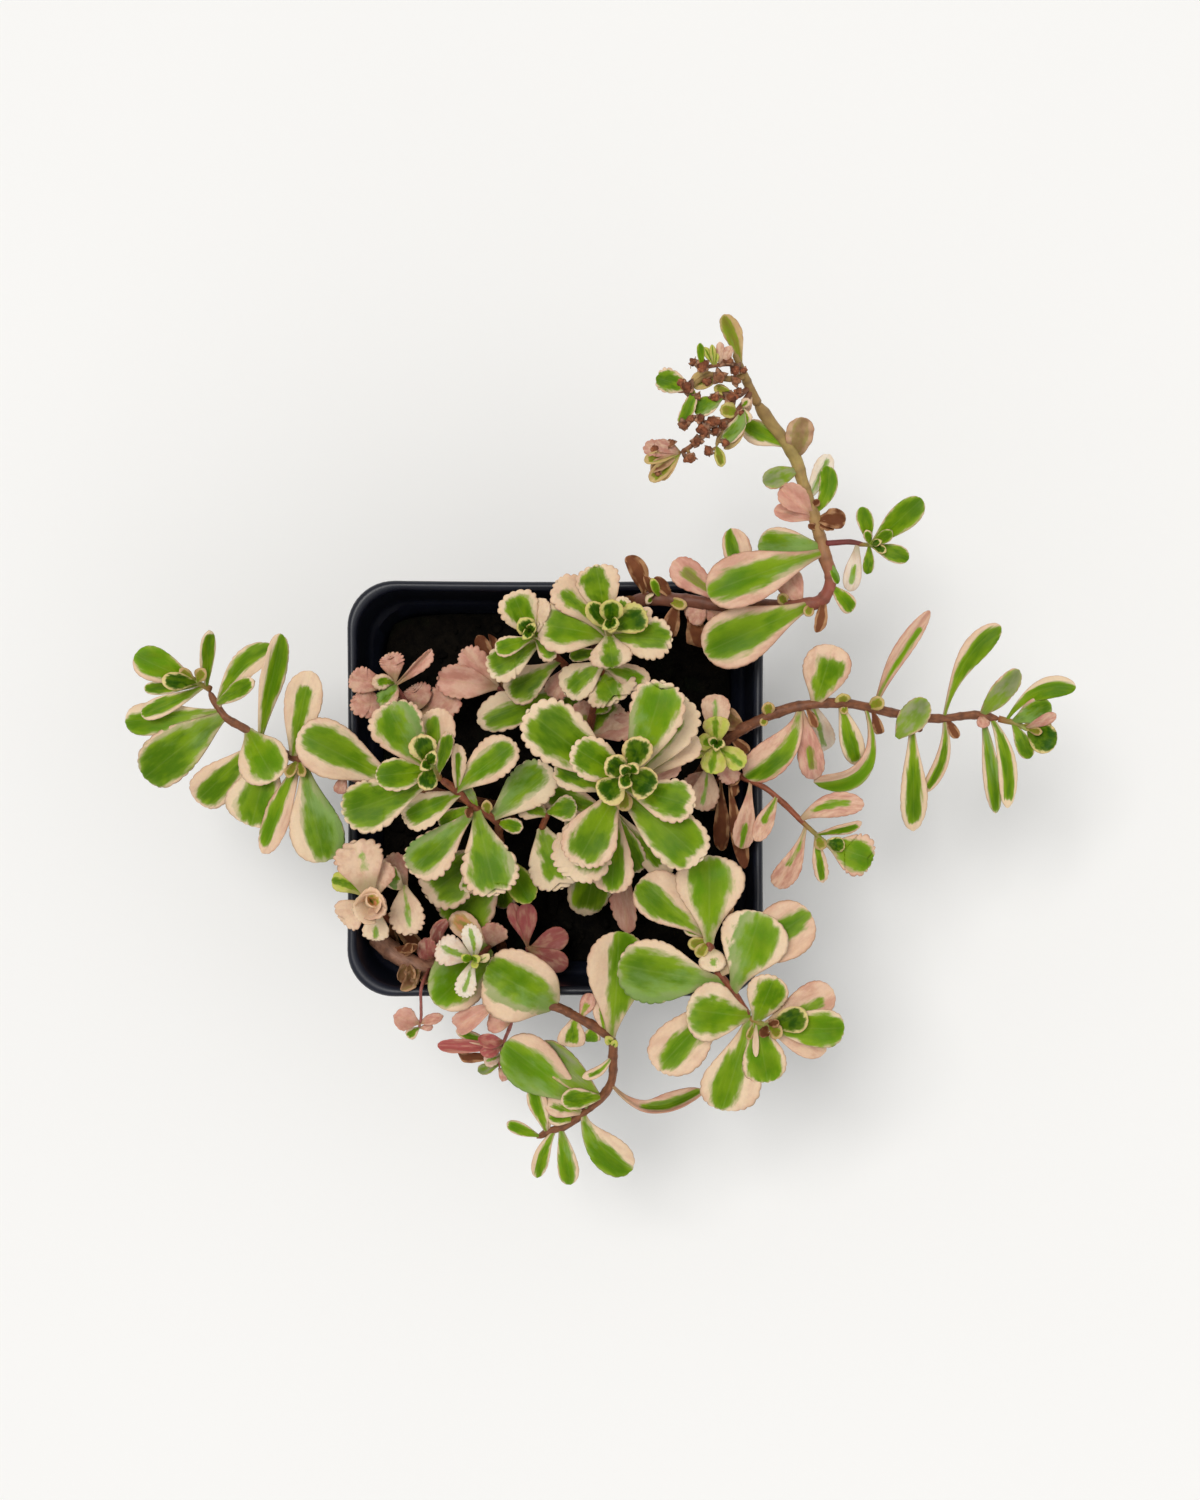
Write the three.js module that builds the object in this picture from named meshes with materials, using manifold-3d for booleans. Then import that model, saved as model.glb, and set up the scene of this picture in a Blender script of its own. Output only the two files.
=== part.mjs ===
// Potted variegated stonecrop in a square black nursery pot.
// Millimetres, +Z up. The origin is the middle of the pot's underside.
// The pot holds the potting mix, and the stems are rooted in the mix. Each stem, each
// rosette and each large leaf is a piece of its own; small leaves are one with their stem.
import * as THREE from 'three';
import { mergeVertices } from 'three/addons/utils/BufferGeometryUtils.js';
import Module from 'manifold-3d';

const wasm = await Module();
wasm.setup();

// ---- driving dimensions, mm ----
const POT_RIM = 100;          // outer width over the rim
const POT_HEIGHT = 90;
const POT_BASE = 72;          // outer width of the underside
const COLLAR_DROP = 16;       // height of the collar band under the rim
const COLLAR_STEP = 1.4;      // how far the wall steps in under the collar
const WALL = 1.5;
const FLOOR = 2.2;
const CORNER_R = 11.5;        // corner radius at the rim
const DRAIN_D = 8;            // drainage holes
const DRAIN_OFF = 21;         // drainage hole centres from the middle
const MIX_TOP = 67;           // level of the potting mix
const GAP = 0.3;              // play between neighbouring pieces
const LEAF_T = 1.25;          // thickness of a fleshy leaf
const STEM_SIDES = 6;
const LEAST_LEAF = 4.3;       // leaflets shorter than this are part of the shoot's tip

// ---- layout grid: x to the right, y down, seen from straight above ----
// 418 grid units span the 100 mm rim; the eye is 600 mm above the rim.
const UNIT = POT_RIM / 418;
const EYE = 600;
const MID = [555.3, 788.7];
const AXIS = [10.70, 9.25];   // where the line of sight meets the rim plane
const at = (gx, gy, z) => {
  const f = (POT_HEIGHT + EYE - z) / EYE;
  return new THREE.Vector3(
    AXIS[0] + ((gx - MID[0]) * UNIT - AXIS[0]) * f,
    AXIS[1] - ((gy - MID[1]) * UNIT + AXIS[1]) * f, z);
};
const scaleAt = (z) => UNIT * (POT_HEIGHT + EYE - z) / EYE;

// ---- stems: name, piece, radius at the foot and at the tip, kind, course [x, y, height] ----
const STEMS = [
  ["SA","left_rosette_stem",1.05,0.9,"r",[[505,876,64],[503,856,80],[499,836,91.3],[496,820,100.4],[475,808,104.3],[458,792,108.85],[441,779,114.05]]],
  ["Ac","left_rosette_leaves",0.9,0.6,"g",[[437.5,776,116],[432,768,120.55],[429,763,123.8]]],
  ["SL","left_branch_stem",1.2,0.9,"b",[[512,816,64],[498,806,80],[470,800,89.5],[430,791,95.2],[395,784,97.8],[378,780,99.1],[357,778,99.75],[335,772,99.1],[312,765,97.15],[300,761,96.24],[270,745,93.25],[242,727,91.3],[225,717,90],[215,702,89.7],[209,691,90]]],
  ["LTc","left_branch_tip",0.8,0.5,"g",[[207,687.5,90.39],[200,684,92.34],[193,680,94.68]]],
  ["SR","centre_stem",1.2,1,"r",[[598,834,64],[604,820,84],[611,804,101.7]]],
  ["Rc","centre_rosette",1.1,0.7,"g",[[612.5,801.5,104.3],[620,787,118.6],[626,776,130.3],[629,771,134.85]]],
  ["ST1","top_rosette_stem",1,0.85,"r",[[588,752,64],[591,722,84],[600,680,97.8],[606,648,104.3]]],
  ["T1c","top_rosette",0.85,0.6,"g",[[607,645,105.99],[610,630,114.7],[611,622,119.25]]],
  ["ST2","top_left_rosette_stem",0.95,0.8,"r",[[588,704,64],[578,686,80],[562,662,92.6],[545,647,101.05]]],
  ["T2c","top_left_rosette",0.8,0.6,"g",[[542,644.5,102.48],[534,635,110.8],[530,630,116]]],
  ["SB","middle_shoot_stem",0.9,0.7,"r",[[532,862,64],[536,848,80],[542,828,93.9],[548,812,99.1]]],
  ["SY","yellow_shoot_stem",0.8,0.7,"r",[[690,802,64],[703,779,80],[711,759,92.6]]],
  ["Yc","yellow_rosette",0.7,0.5,"g",[[711.6,757,93.9],[715,748,101.7],[717,743,106.9]]],
  ["SF","flowering_stem",1.7,1.35,"f",[[596,650,64],[612,628,82],[640,600,94.55],[680,600,97.8],[705,603,99.1],[760,606,100.4],[800,605,100.4],[822,600,101.7],[831,580,103],[825,556,104.3],[821,540,104.3],[815,520,105.6],[805,490,106.9],[795,458,108.85],[780,435,111.45],[765,415,114.7],[756,401,117.3]]],
  ["SS","side_shoot",0.7,0.55,"m",[[826,543.5,104.95],[850,542,105.6],[866,545,106.9]]],
  ["SSc","side_shoot",0.6,0.4,"g",[[862,544.5,106.64],[868,545,107.94],[873,545,110.8]]],
  ["SH","right_branch_stem",1.45,0.95,"b",[[690,792,64],[704,768,80],[724,743,91.95],[734,734,95.2],[771,715,99.1],[795,707,100.4],[827,703,100.4],[851,704,97.8],[889,712,94.68],[921,718,91.95],[948,718,90],[975,715,88.6],[1000,719,88]]],
  ["SHc","right_branch_tip",0.8,0.55,"g",[[1003,720,88],[1015,723,88.6],[1030,731,90]]],
  ["S8","lower_right_side_shoot",0.8,0.65,"r",[[700,806,64],[716,782,80],[732,774,91.3],[747,779,95.2],[768,790,97.8],[806,825,97.8]]],
  ["S8c","lower_right_side_shoot",0.65,0.4,"g",[[803,822.5,97.8],[818,836,99.1],[832,846,101.7]]],
  ["S9","lower_right_branch_stem",1.15,0.85,"r",[[655,884,64],[672,896,84],[688,912,97.8],[698,925,101.7],[708,942,104.3],[716,970,104.95],[726,983,104.3],[739,1001,103.65],[750,1017,103]]],
  ["S9c","lower_right_branch_tip",0.85,0.6,"g",[[752,1019.5,103],[762,1024,104.3],[772,1026,106.25]]],
  ["S10","bottom_branch_stem",1.3,0.95,"b",[[500,942,64],[512,978,88],[527,998,95.85],[555,1006,94.55],[575,1016,92.6],[595,1027,91.3],[611,1039,89],[613,1057,87],[611,1083,84.5],[601,1098,82.5],[583,1113,80],[565,1126,78],[550,1131,77],[537,1138,76]]],
  ["S11","pink_shoot_stem",0.45,0.35,"p",[[440,950,64],[430,968,82],[424,980,92.6],[421,990,94.29],[421,1003,91.3],[421,1018,85],[419,1028,81]]],
  ["S12","lower_pink_shoot_stem",0.6,0.45,"p",[[478,938,64],[484,980,86],[492,996,93.64],[505,1010,92.6],[511,1021,89],[504,1042,83],[499,1068,76]]],
  ["S14","old_woody_stem",2.3,1.9,"w",[[375,938,79],[384,944,80],[397,955,81.5],[412,963,82],[425,970,82],[438,964,77],[448,950,64]]],
  ["SC","corner_rosette_stem",0.9,0.75,"r",[[404,934,64],[390,920,80],[377,908,90]]],
  ["Cc","corner_rosette",0.75,0.5,"g",[[376,907,91.3],[372,903,96.5],[371,901,100.4]]],
  ["SC2","corner_side_shoot",0.75,0.6,"r",[[420,910,64],[410,897,80],[404,886,90]]],
  ["SLP","upper_left_pink_stem",0.75,0.6,"p",[[432,738,64],[414,714,78],[401,695,85.5],[394,684,89]]],
  ["SPK","pink_shoot_middle_stem",0.75,0.6,"p",[[520,712,64],[508,698,76],[496,686,82.5]]],
  ["SD","white_rosette_stem",0.75,0.6,"r",[[498,934,64],[488,948,84],[478,958,96.5]]],
  ["Dc","white_rosette",0.6,0.45,"g",[[476.5,959.3,97.8],[473,959,103]]],
  ["SP","deep_pink_shoot_stem",0.6,0.5,"p",[[532,946,64],[529,955,72],[527,946,76]]],
  ["J0","flower_head",1.15,0.7,"t",[[755.4,399,117.82],[749,387,119.9],[745,376,121.85],[740,366,123.8],[734,352,125.75]]],
  ["J1","flower_head",0.85,0.5,"t",[[745,376,121.85],[730,379,123.54],[712,375,125.36],[698,381,126.4],[689,389,126.92]]],
  ["J2","flower_head",0.65,0.45,"d",[[749,387,119.9],[738,396,122.24],[724,398,123.8],[710,394,125.1]]],
  ["J3","flower_head",0.75,0.5,"d",[[751,391,119.12],[740,408,121.98],[728,420,123.28],[712,425,124.32],[700,438,124.06],[690,447,123.28],[680,453,122.5]]],
  ["J4","flower_head",0.5,0.35,"d",[[712,425,124.32],[700,420,125.36],[690,419,125.88],[682,427,125.88]]],
  ["J5","flower_head",0.5,0.4,"t",[[728,420,123.28],[720,434,124.06],[716,448,124.32]]],
  ["J6","flower_head",0.6,0.4,"d",[[740,366,123.8],[727,364,126.4],[712,366,127.7],[701,368,128.48]]]
];

// ---- leaves: name, stem, [foot x, y, tip x, y], width, form, own piece ----
// form: z height of the foot, d rise of the tip, m bend, a arch, r roll, tw twist,
// v height of the foot over the stem of a leaf that lies across it,
// c cup, f fold, s outline, k kind, the other letters are the markings
const LEAVES = [
  ["LT1","LTc",[207,686,208,629],18,{"k":"G","r":38,"d":12.7,"z":90.52,"a":1},""],
  ["LT2","LTc",[190,683,135,655],34,{"k":"G","g":[0.9,0.15,0,1],"d":3.9,"z":93.12,"r":6},""],
  ["LT3","LTc",[200,684,162,680],19,{"k":"K","d":7.5,"z":93.77,"c":0.4,"r":-4},""],
  ["LT3b","LTc",[197,682,205,669],14,{"k":"O","d":5.1,"z":93.12,"c":0.3,"r":2},""],
  ["LT3c","LTc",[194,680,180,669],12,{"k":"O","d":5.2,"z":93.77,"c":0.3},""],
  ["LT5","LTc",[190,690,143,688],14,{"k":"G","d":-1.2,"z":90.52,"r":4},""],
  ["LT6","LTc",[200,696,141,715],20,{"k":"N","g":[0.72,0.1,0,0.96],"d":2.4,"z":91.17,"c":0.25,"r":5},""],
  ["LT7","SL",[214,714,123,722],34,{"k":"N","g":[0.72,-0.22,0,1],"d":-1.3,"s":"s"},""],
  ["LT8","SL",[222,717,143,779],52,{"k":"G","g":[0.86,0,0,1],"d":-3.6,"b":0.5,"r":-6},"left_branch_leaf_1"],
  ["LT9","SL",[216,704,255,681],19,{"k":"G","g":[0.85,0,0,0.92],"d":9.9,"r":-11},""],
  ["LT10","SL",[221,705,275,649],34,{"k":"N","m":[236,665],"d":5.8,"g":[0.55,-0.22,0,1],"r":-28,"c":0.3,"p":0.2},""],
  ["LT11","SL",[260,738,282,634],27,{"k":"G","g":[0.75,0.15,0,1],"m":[272,680],"d":6.6,"r":32},""],
  ["LM1","SL",[293,757,311,671],38,{"k":"N","g":[0.42,0,0,0.8],"d":6.1,"p":0.3,"r":-2},""],
  ["LM2","SL",[250,732,276,780],52,{"k":"N","g":[0.72,-0.1,0,0.9],"d":7.7,"a":2,"r":3},"left_branch_leaf_2"],
  ["LM3","SL",[262,741,195,803],42,{"k":"N","g":[0.62,-0.15,0,0.93],"d":-5.1,"p":0.35,"s":"s","r":-9},""],
  ["LM4","SL",[272,748,252,826],64,{"k":"N","g":[0.6,0,0,0.95],"d":-1.6,"p":0.2,"s":"s","r":2},"left_branch_leaf_3"],
  ["LM5","SL",[299,762,266,852],32,{"k":"N","g":[0.55,0.25,0,0.9],"r":28,"d":-3.7,"p":0.5},""],
  ["LM6","SL",[303,763,325,862],54,{"k":"N","g":[0.6,-0.12,0,0.96],"d":1.4,"b":0.9,"s":"s","r":-4},"left_branch_leaf_4"],
  ["LM7","SL",[402,783,298,733],56,{"k":"N","g":[0.62,0.12,0,0.92],"d":5.5,"s":"s"},"left_branch_leaf_5"],
  ["LM8","SL",[296,762,288,778],12,{"k":"O","d":5.5,"c":0.4,"r":7},""],
  ["LM9","SL",[298,762,304,776],10,{"k":"O","d":5.4,"c":0.4,"r":-1},""],
  ["LM10","SL",[345,776,353,768],12,{"k":"P","d":-3.5,"r":8},""],
  ["LM11","SL",[345,775,338,794],14,{"k":"P","o":0.4,"d":-0.7,"r":-8},""],
  ["LP1","SLP",[378,688,350,676],27,{"k":"P","n":6,"ta":1.3,"d":5.8,"z":88.5,"r":-6},""],
  ["LP2","SLP",[382,718,354,697],30,{"k":"P","n":6,"ta":1.3,"d":8.4,"z":84.5,"r":5},""],
  ["LP3","SLP",[400,676,372,684],17,{"k":"N","d":4.5,"z":89,"g":[0.5,0,0,0.8],"p":0.3,"r":-9},""],
  ["LP4","SLP",[398,674,389,653],25,{"k":"P","n":6,"ta":1.5,"d":4.4,"z":88.5,"r":-4},""],
  ["LP5","SLP",[405,678,432,650],15,{"k":"P","r":31,"f":0.8,"d":4.8,"z":88.5,"p":0.8},""],
  ["LP6","SLP",[405,678,380,706],20,{"k":"N","g":[0.6,0.2,0,0.95],"b":1,"p":0.7,"d":3.5,"z":88.5,"r":9},""],
  ["LP7","SLP",[425,706,412,686],34,{"k":"P","n":6,"ta":1.3,"o":0.25,"d":4.4,"z":80,"r":-2},""],
  ["LP8","SLP",[433,720,456,690],34,{"k":"P","n":6,"ta":1.2,"o":0.15,"d":7.2,"z":78,"r":-9},""],
  ["PK1","SPK",[500,688,437,678],35,{"k":"P","d":2.9,"f":0.25,"z":82.5,"r":-7},""],
  ["PK2","SPK",[497,685,462,650],30,{"k":"P","d":3.8,"z":82,"r":-8},""],
  ["PK3","SPK",[500,682,478,636],20,{"k":"D","d":-1.2,"z":78,"c":0.5,"r":4},""],
  ["PK4","SPK",[498,684,492,632],14,{"k":"D","d":-1.1,"z":77,"c":0.5,"r":4},""],
  ["A1","Ac",[412,760,388,703],54,{"k":"N","g":[0.66,-0.14,0,0.9],"d":6.9,"z":118.6,"b":0.8,"ps":1,"r":1},""],
  ["A2","Ac",[440,770,438,708],38,{"k":"N","g":[0.42,-0.25,0,0.85],"d":3.9,"z":116.65,"r":-4},""],
  ["A3","Ac",[443,775,446,732],22,{"k":"G","r":42,"d":7.7,"z":116.65,"o":0.1},""],
  ["A3b","SA",[458,789,456,744],18,{"k":"N","r":36,"d":7.4,"f":0.4,"g":[0.4,0,0,0.8]},""],
  ["A4","Ac",[427,764,421,735],28,{"k":"K","d":7.1,"z":121.85,"g":[0.72,0.05,0,0.93],"r":2},""],
  ["A5","Ac",[430,764,434,752],13,{"k":"K","d":4.2,"z":123.54,"c":0.5,"r":-1},""],
  ["A5b","Ac",[429,764,421,769],13,{"k":"K","d":4.1,"z":123.54,"c":0.5,"r":-1},""],
  ["A6","Ac",[430,772,376,776],33,{"k":"G","g":[0.88,0,0,0.97],"d":6.6,"z":119.25,"c":0.3,"r":4},""],
  ["A7","Ac",[430,768,425,790],22,{"k":"K","d":3.9,"z":120.55,"g":[0.85,0,0,0.9],"r":-5},""],
  ["A8","Ac",[430,790,343,812],52,{"k":"G","g":[0.84,0,0,0.95],"d":1.9,"z":116.26,"s":"s","r":-5},""],
  ["A9","SA",[458,797,402,818],36,{"k":"G","g":[0.6,-0.05,0,0.88],"f":0.2,"d":0.3,"z":108.85},""],
  ["A10","SA",[466,812,440,824],22,{"k":"G","o":0.1,"d":-3,"r":1},""],
  ["B1","SA",[459,785,516,743],40,{"k":"N","g":[0.6,0,0,0.9],"d":4.4,"b":0.4,"r":-9},""],
  ["B2","SA",[494,816,552,768],46,{"k":"N","g":[0.55,-0.25,0,0.85],"d":3.2,"b":0.8,"n":7,"r":7},""],
  ["B3","SA",[480,808,462,785],14,{"k":"U","d":4.5,"r":-3},""],
  ["B4","SA",[490,812,486,800],12,{"k":"O","d":4.1,"c":0.5,"r":-8},""],
  ["B5","SA",[472,806,466,818],12,{"k":"D","d":4.1,"c":0.5},""],
  ["B6","SA",[472,814,411,872],46,{"k":"N","g":[0.7,0.1,0,0.9],"d":-0.3,"b":0.8,"s":"s","r":-4},"left_rosette_lower_leaf_1"],
  ["B7","SA",[476,811,497,895],60,{"k":"N","g":[0.68,0.03,0,0.9],"d":3.5,"b":0.5,"s":"s","r":2},"left_rosette_lower_leaf_2"],
  ["B8","SA",[497,822,523,828],16,{"k":"G","d":3.2,"r":2},""],
  ["B9","SA",[499,842,425,898],56,{"k":"G","o":0.35,"d":-0.1,"s":"s","g":[0.8,0,0,0.85],"r":4},""],
  ["B10","SA",[503,856,450,925],62,{"k":"G","o":0.45,"d":-1.5,"s":"s","g":[0.85,0,0,0.95],"r":2},""],
  ["B11","SA",[497,836,462,892],18,{"k":"N","d":-0.8,"f":0.5,"o":0.1,"r":-7},""],
  ["B12","SA",[503,853,530,902],30,{"k":"Y","g":[0.9,0,0,1],"d":9,"s":"s","z":84,"r":-9},""],
  ["B13","SA",[504,864,503,909],27,{"k":"G","o":0.5,"d":-1.3,"r":3},""],
  ["B14","SB",[541,828,562,889],52,{"k":"N","g":[0.68,-0.15,0,0.8],"d":0.5,"s":"o","r":2},""],
  ["B15","SB",[546,815,520,800],28,{"k":"N","g":[0.55,0,0,0.8],"d":2,"r":-7},""],
  ["B16","SB",[548,812,577,806],26,{"k":"G","d":2,"r":-6},""],
  ["C1","Cc",[368,884,353,841],48,{"k":"C","z":97.8,"d":4.7,"g":[0.15,0.2,0.3,0.7],"p":0.5,"r":4},""],
  ["C1b","Cc",[372,890,385,860],30,{"k":"C","z":95.2,"d":2.8,"p":0.7,"g":[0,0,0,0],"r":-3},""],
  ["C2","Cc",[357,882,332,880],20,{"k":"Y","z":95.2,"d":2.5,"g":[0.4,0,0,1],"r":-2},""],
  ["C3","Cc",[362,905,341,921],34,{"k":"C","z":95.2,"d":1,"g":[0,0,0,0],"p":0.4,"r":-9},""],
  ["C4a","Cc",[376,905,353,910],36,{"k":"C","z":99.1,"d":6.9,"c":0.5,"p":0.2,"g":[0,0,0,0],"r":-4},""],
  ["C4b","Cc",[374,908,371,889],32,{"k":"H","g":[0.6,0,0,0.5],"z":99.1,"d":8.2,"c":0.6,"p":0.3,"r":3},""],
  ["C4c","Cc",[368,900,385,914],30,{"k":"C","z":99.1,"d":6.8,"c":0.6,"p":0.5,"g":[0,0,0,0],"r":-4},""],
  ["C4d","Cc",[368,905,379,896],23,{"k":"H","z":100.4,"d":6.5,"c":0.7,"r":7},""],
  ["C4e","Cc",[374,900,366,904],18,{"k":"H","z":100.4,"d":7.1,"c":0.7,"r":8},""],
  ["C5","Cc",[377,914,376,941],27,{"k":"C","z":95.2,"d":-0.5,"g":[0.25,0,0.4,0.9],"r":4},""],
  ["C6","SC2",[404,900,382,866],20,{"k":"N","b":1,"r":23,"f":0.3,"d":4.8,"z":90,"g":[0.6,0.2,0.3,1]},""],
  ["C7","SC2",[404,886,411,935],36,{"k":"C","d":3.8,"z":90,"g":[0.16,0,0,0.85],"p":0.4,"r":-3},""],
  ["C8","SC2",[406,884,388,856],28,{"k":"P","o":0.2,"d":-1.6,"z":86,"r":-8},""],
  ["C9","SC2",[410,897,398,900],16,{"k":"P","d":1.6,"z":82,"r":7},""],
  ["C10","SC",[384,914,425,950],20,{"k":"D","d":-6.1,"z":80,"r":-1},""],
  ["C11","SC",[388,918,395,952],16,{"k":"D","d":-4.1,"z":78,"r":-2},""],
  ["C12","S14",[420,968,430,938],22,{"k":"P","p":1,"d":8.3,"z":75,"s":"r","r":-2},""],
  ["C13","S14",[425,970,446,918],16,{"k":"P","p":1,"d":11.5,"z":75,"m":[430,935],"r":34},""],
  ["C14","SD",[488,948,452,914],26,{"k":"H","o":0.15,"z":82,"d":1.3,"r":7},""],
  ["C15","S14",[412,965,396,979],22,{"k":"D","t":0.35,"d":4.3,"z":82,"c":0.5,"r":-8},""],
  ["C16","S14",[420,968,404,989],20,{"k":"D","t":0.5,"d":9.4,"z":82,"c":0.5,"r":4},""],
  ["C17","S14",[425,969,432,986],18,{"k":"D","t":0.3,"d":10.5,"z":82,"c":0.5,"r":-7},""],
  ["C17c","S14",[408,963,412,979],14,{"k":"D","t":0.2,"d":6.7,"z":82,"c":0.5,"r":9},""],
  ["C17b","S14",[415,966,419,986],15,{"k":"D","t":0.6,"d":8,"z":82,"c":0.5},""],
  ["C18","S14",[405,960,412,942],14,{"k":"D","d":4.3,"z":75,"r":4},""],
  ["C19","S14",[395,955,420,946],12,{"k":"D","d":5.7,"z":75,"r":3},""],
  ["P1","SP",[527,947,511,903],16,{"k":"R","d":5,"z":76,"s":"s","r":-4},""],
  ["P2","SP",[528,948,527,903],21,{"k":"R","d":6.2,"z":76,"s":"s","r":-7},""],
  ["P3","SP",[530,950,568,934],24,{"k":"R","o":0.4,"d":2.3,"z":74,"r":3},""],
  ["P4","SP",[531,950,568,966],22,{"k":"R","o":0.5,"d":4.8,"z":76},""],
  ["P5","SD",[490,947,498,923],28,{"k":"P","o":0.25,"d":4.4,"z":82,"r":-1},""],
  ["D1","Dc",[480,952,468,924],21,{"k":"W","d":4.2,"z":101.05,"n":5,"s":"e","r":-4},""],
  ["D2","Dc",[465,957,437,945],31,{"k":"W","p":0.4,"d":2.7,"z":100.4,"n":5,"r":-4},""],
  ["D3","Dc",[478,966,489,954],9,{"k":"C","d":5.1,"z":101.05,"c":0.3,"y":0.4,"r":7},""],
  ["D4","Dc",[470,966,463,997],22,{"k":"W","d":2.7,"z":100.4,"n":5,"r":-5},""],
  ["D5","Dc",[472,959,462,956],10,{"k":"Y","d":4.2,"z":102.48,"c":0.5,"g":[0.9,0,0,0.9],"r":-8},""],
  ["D6","Dc",[473,960,480,957],10,{"k":"Y","d":4,"z":102.48,"c":0.5,"g":[0.8,0,0,0.7],"r":1},""],
  ["D7","Dc",[473,960,477,968],9,{"k":"Y","d":3.3,"z":102.22,"c":0.4,"g":[0.2,0,0,0.5],"r":-2},""],
  ["F1","S10",[557,1000,486,967],74,{"k":"N","g":[0.62,-0.03,0,1],"ta":0.3,"z":95.2,"d":5.8,"a":3.2,"b":0.7,"s":"r","r":-8},"bottom_leaf_1"],
  ["F2","SD",[488,948,436,1003],62,{"k":"N","g":[0.75,0.12,0,1],"ta":0.2,"z":84,"d":13.2,"b":0.6,"s":"r","r":-7},"bottom_leaf_2"],
  ["F3","S12",[497,1001,456,1027],22,{"k":"P","f":0.4,"d":-5,"z":92.6,"r":5},""],
  ["F4","S12",[511,1021,489,1016],27,{"k":"P","f":0.3,"p":0.2,"d":-0.7,"z":90,"s":"r","r":-7},""],
  ["F5","S12",[502,1050,456,1030],12,{"k":"N","b":0.5,"p":0.5,"d":3.8,"z":82,"r":-2},""],
  ["F5b","S12",[502,1046,438,1045],15,{"k":"R","d":1.7,"z":82,"r":4},""],
  ["F5c","S12",[503,1044,478,1038],14,{"k":"R","d":3.2,"z":83,"c":0.5,"r":4},""],
  ["F5d","S12",[503,1046,480,1052],14,{"k":"R","d":3.1,"z":82,"c":0.5,"r":-6},""],
  ["F5e","S12",[501,1056,484,1062],14,{"k":"W","p":0.6,"d":1.7,"z":80,"c":0.4,"r":4},""],
  ["F5f","S12",[500,1064,478,1071],12,{"k":"U","d":-0.6,"z":77,"r":-8},""],
  ["F5g","S12",[501,1058,455,1056],14,{"k":"D","d":0,"z":79,"r":3},""],
  ["F5h","S12",[499,1067,508,1080],12,{"k":"P","d":-2.1,"z":76,"r":-4},""],
  ["F6","S10",[590,1106,505,1043],54,{"k":"N","g":[0.68,-0.22,0,1],"b":0.8,"d":5.3,"p":0.4,"z":81,"s":"s","r":4},"bottom_leaf_3"],
  ["F6b","S10",[601,1098,539,1044],32,{"k":"U","p":0.4,"d":0.9,"z":82,"r":9},""],
  ["F7","S10",[546,1132,534,1083],20,{"k":"N","g":[0.6,-0.2,0,1],"d":7.6,"z":77,"r":-5},""],
  ["F7b","S10",[548,1131,547,1090],12,{"k":"C","g":[0,0,0,0],"d":4.8,"z":77,"p":0.3,"r":5},""],
  ["F8","S10",[540,1136,507,1123],14,{"k":"G","d":3.4,"z":76,"b":0.4,"r":-6},""],
  ["F9","S10",[556,1130,537,1178],17,{"k":"N","g":[0.6,-0.15,0,1],"m":[540,1150],"d":-2.4,"z":77,"o":0.1,"r":-4},""],
  ["F10","S10",[562,1127,571,1186],22,{"k":"N","g":[0.7,0.2,0,1],"d":-2.2,"z":77,"b":0.6,"r":-9},""],
  ["F11","S10",[583,1113,546,1100],24,{"k":"N","p":0.5,"d":2.3,"z":80,"g":[0.3,-0.2,0,0.8],"r":3},""],
  ["F11b","S10",[573,1120,548,1114],18,{"k":"N","g":[0.7,0,0,0.9],"d":0.7,"z":79,"r":8},""],
  ["F12","S10",[601,1096,561,1100],22,{"k":"G","d":4.8,"z":83,"r":7},""],
  ["F13","S10",[610,1052,583,1077],11,{"k":"N","m":[604,1073],"b":0.5,"d":-1.5,"z":87,"g":[0.4,0,0,0.8],"r":2},""],
  ["F14","S10",[576,1016,570,1047],28,{"k":"N","p":0.4,"g":[0.5,0,0,0.8],"o":0.1,"d":-4.2,"z":92.6,"r":-4},""],
  ["F14b","S10",[592,1025,591,1042],18,{"k":"G","d":-3.3,"z":91.3,"r":-3},""],
  ["F14c","S10",[580,1018,592,994],16,{"k":"P","g":[0.4,0,0,0.6],"d":-0.5,"z":91.3,"r":-2},""],
  ["F14d","S10",[604,1033,601,1000],18,{"k":"N","p":0.5,"d":2.1,"z":90,"g":[0.4,0.1,0,0.8]},""],
  ["F15","S10",[612,1044,606,1037],10,{"k":"Y","g":[0.3,0,0,0.7],"d":2.7,"z":89,"c":0.5,"r":4},""],
  ["F16","S10",[613,1048,616,1040],8,{"k":"Y","g":[0.3,0,0,0.7],"d":2.7,"z":88,"c":0.5,"r":-8},""],
  ["F17","S10",[583,1113,633,1170],38,{"k":"N","m":[586,1140],"g":[0.65,0.35,0,1],"b":0.5,"p":0.3,"d":-3,"z":80,"s":"s","r":-6},""],
  ["Q16","S10",[611,1085,702,1088],24,{"k":"N","g":[0.5,0,0.35,1],"p":0.9,"m":[648,1130],"o":0.25,"r":-43,"c":0.3,"f":0.3,"d":3.7,"z":85,"s":"s"},""],
  ["S11a","S11",[420,1022,394,1016],24,{"k":"P","p":0.4,"d":4.5,"z":83,"r":6},""],
  ["S11b","S11",[420,1026,407,1037],12,{"k":"N","d":-0.8,"z":81,"r":-4},""],
  ["S11c","S11",[420,1022,443,1016],11,{"k":"P","d":3.1,"z":83,"r":-7},""],
  ["S11d","S11",[420,1027,433,1027],8,{"k":"P","d":0.3,"z":81},""],
  ["T2a","T2c",[528,632,512,592],42,{"k":"G","g":[0.66,0,0,0.86],"d":4.7,"z":110.8,"r":7},""],
  ["T2b","T2c",[532,630,545,599],21,{"k":"C","d":4.3,"z":109.5,"g":[0.15,-0.2,0,0.5],"r":-9},""],
  ["T2c","T2c",[531,637,521,619],20,{"k":"K","d":5.3,"z":114.7,"y":0.5,"r":5},""],
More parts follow.
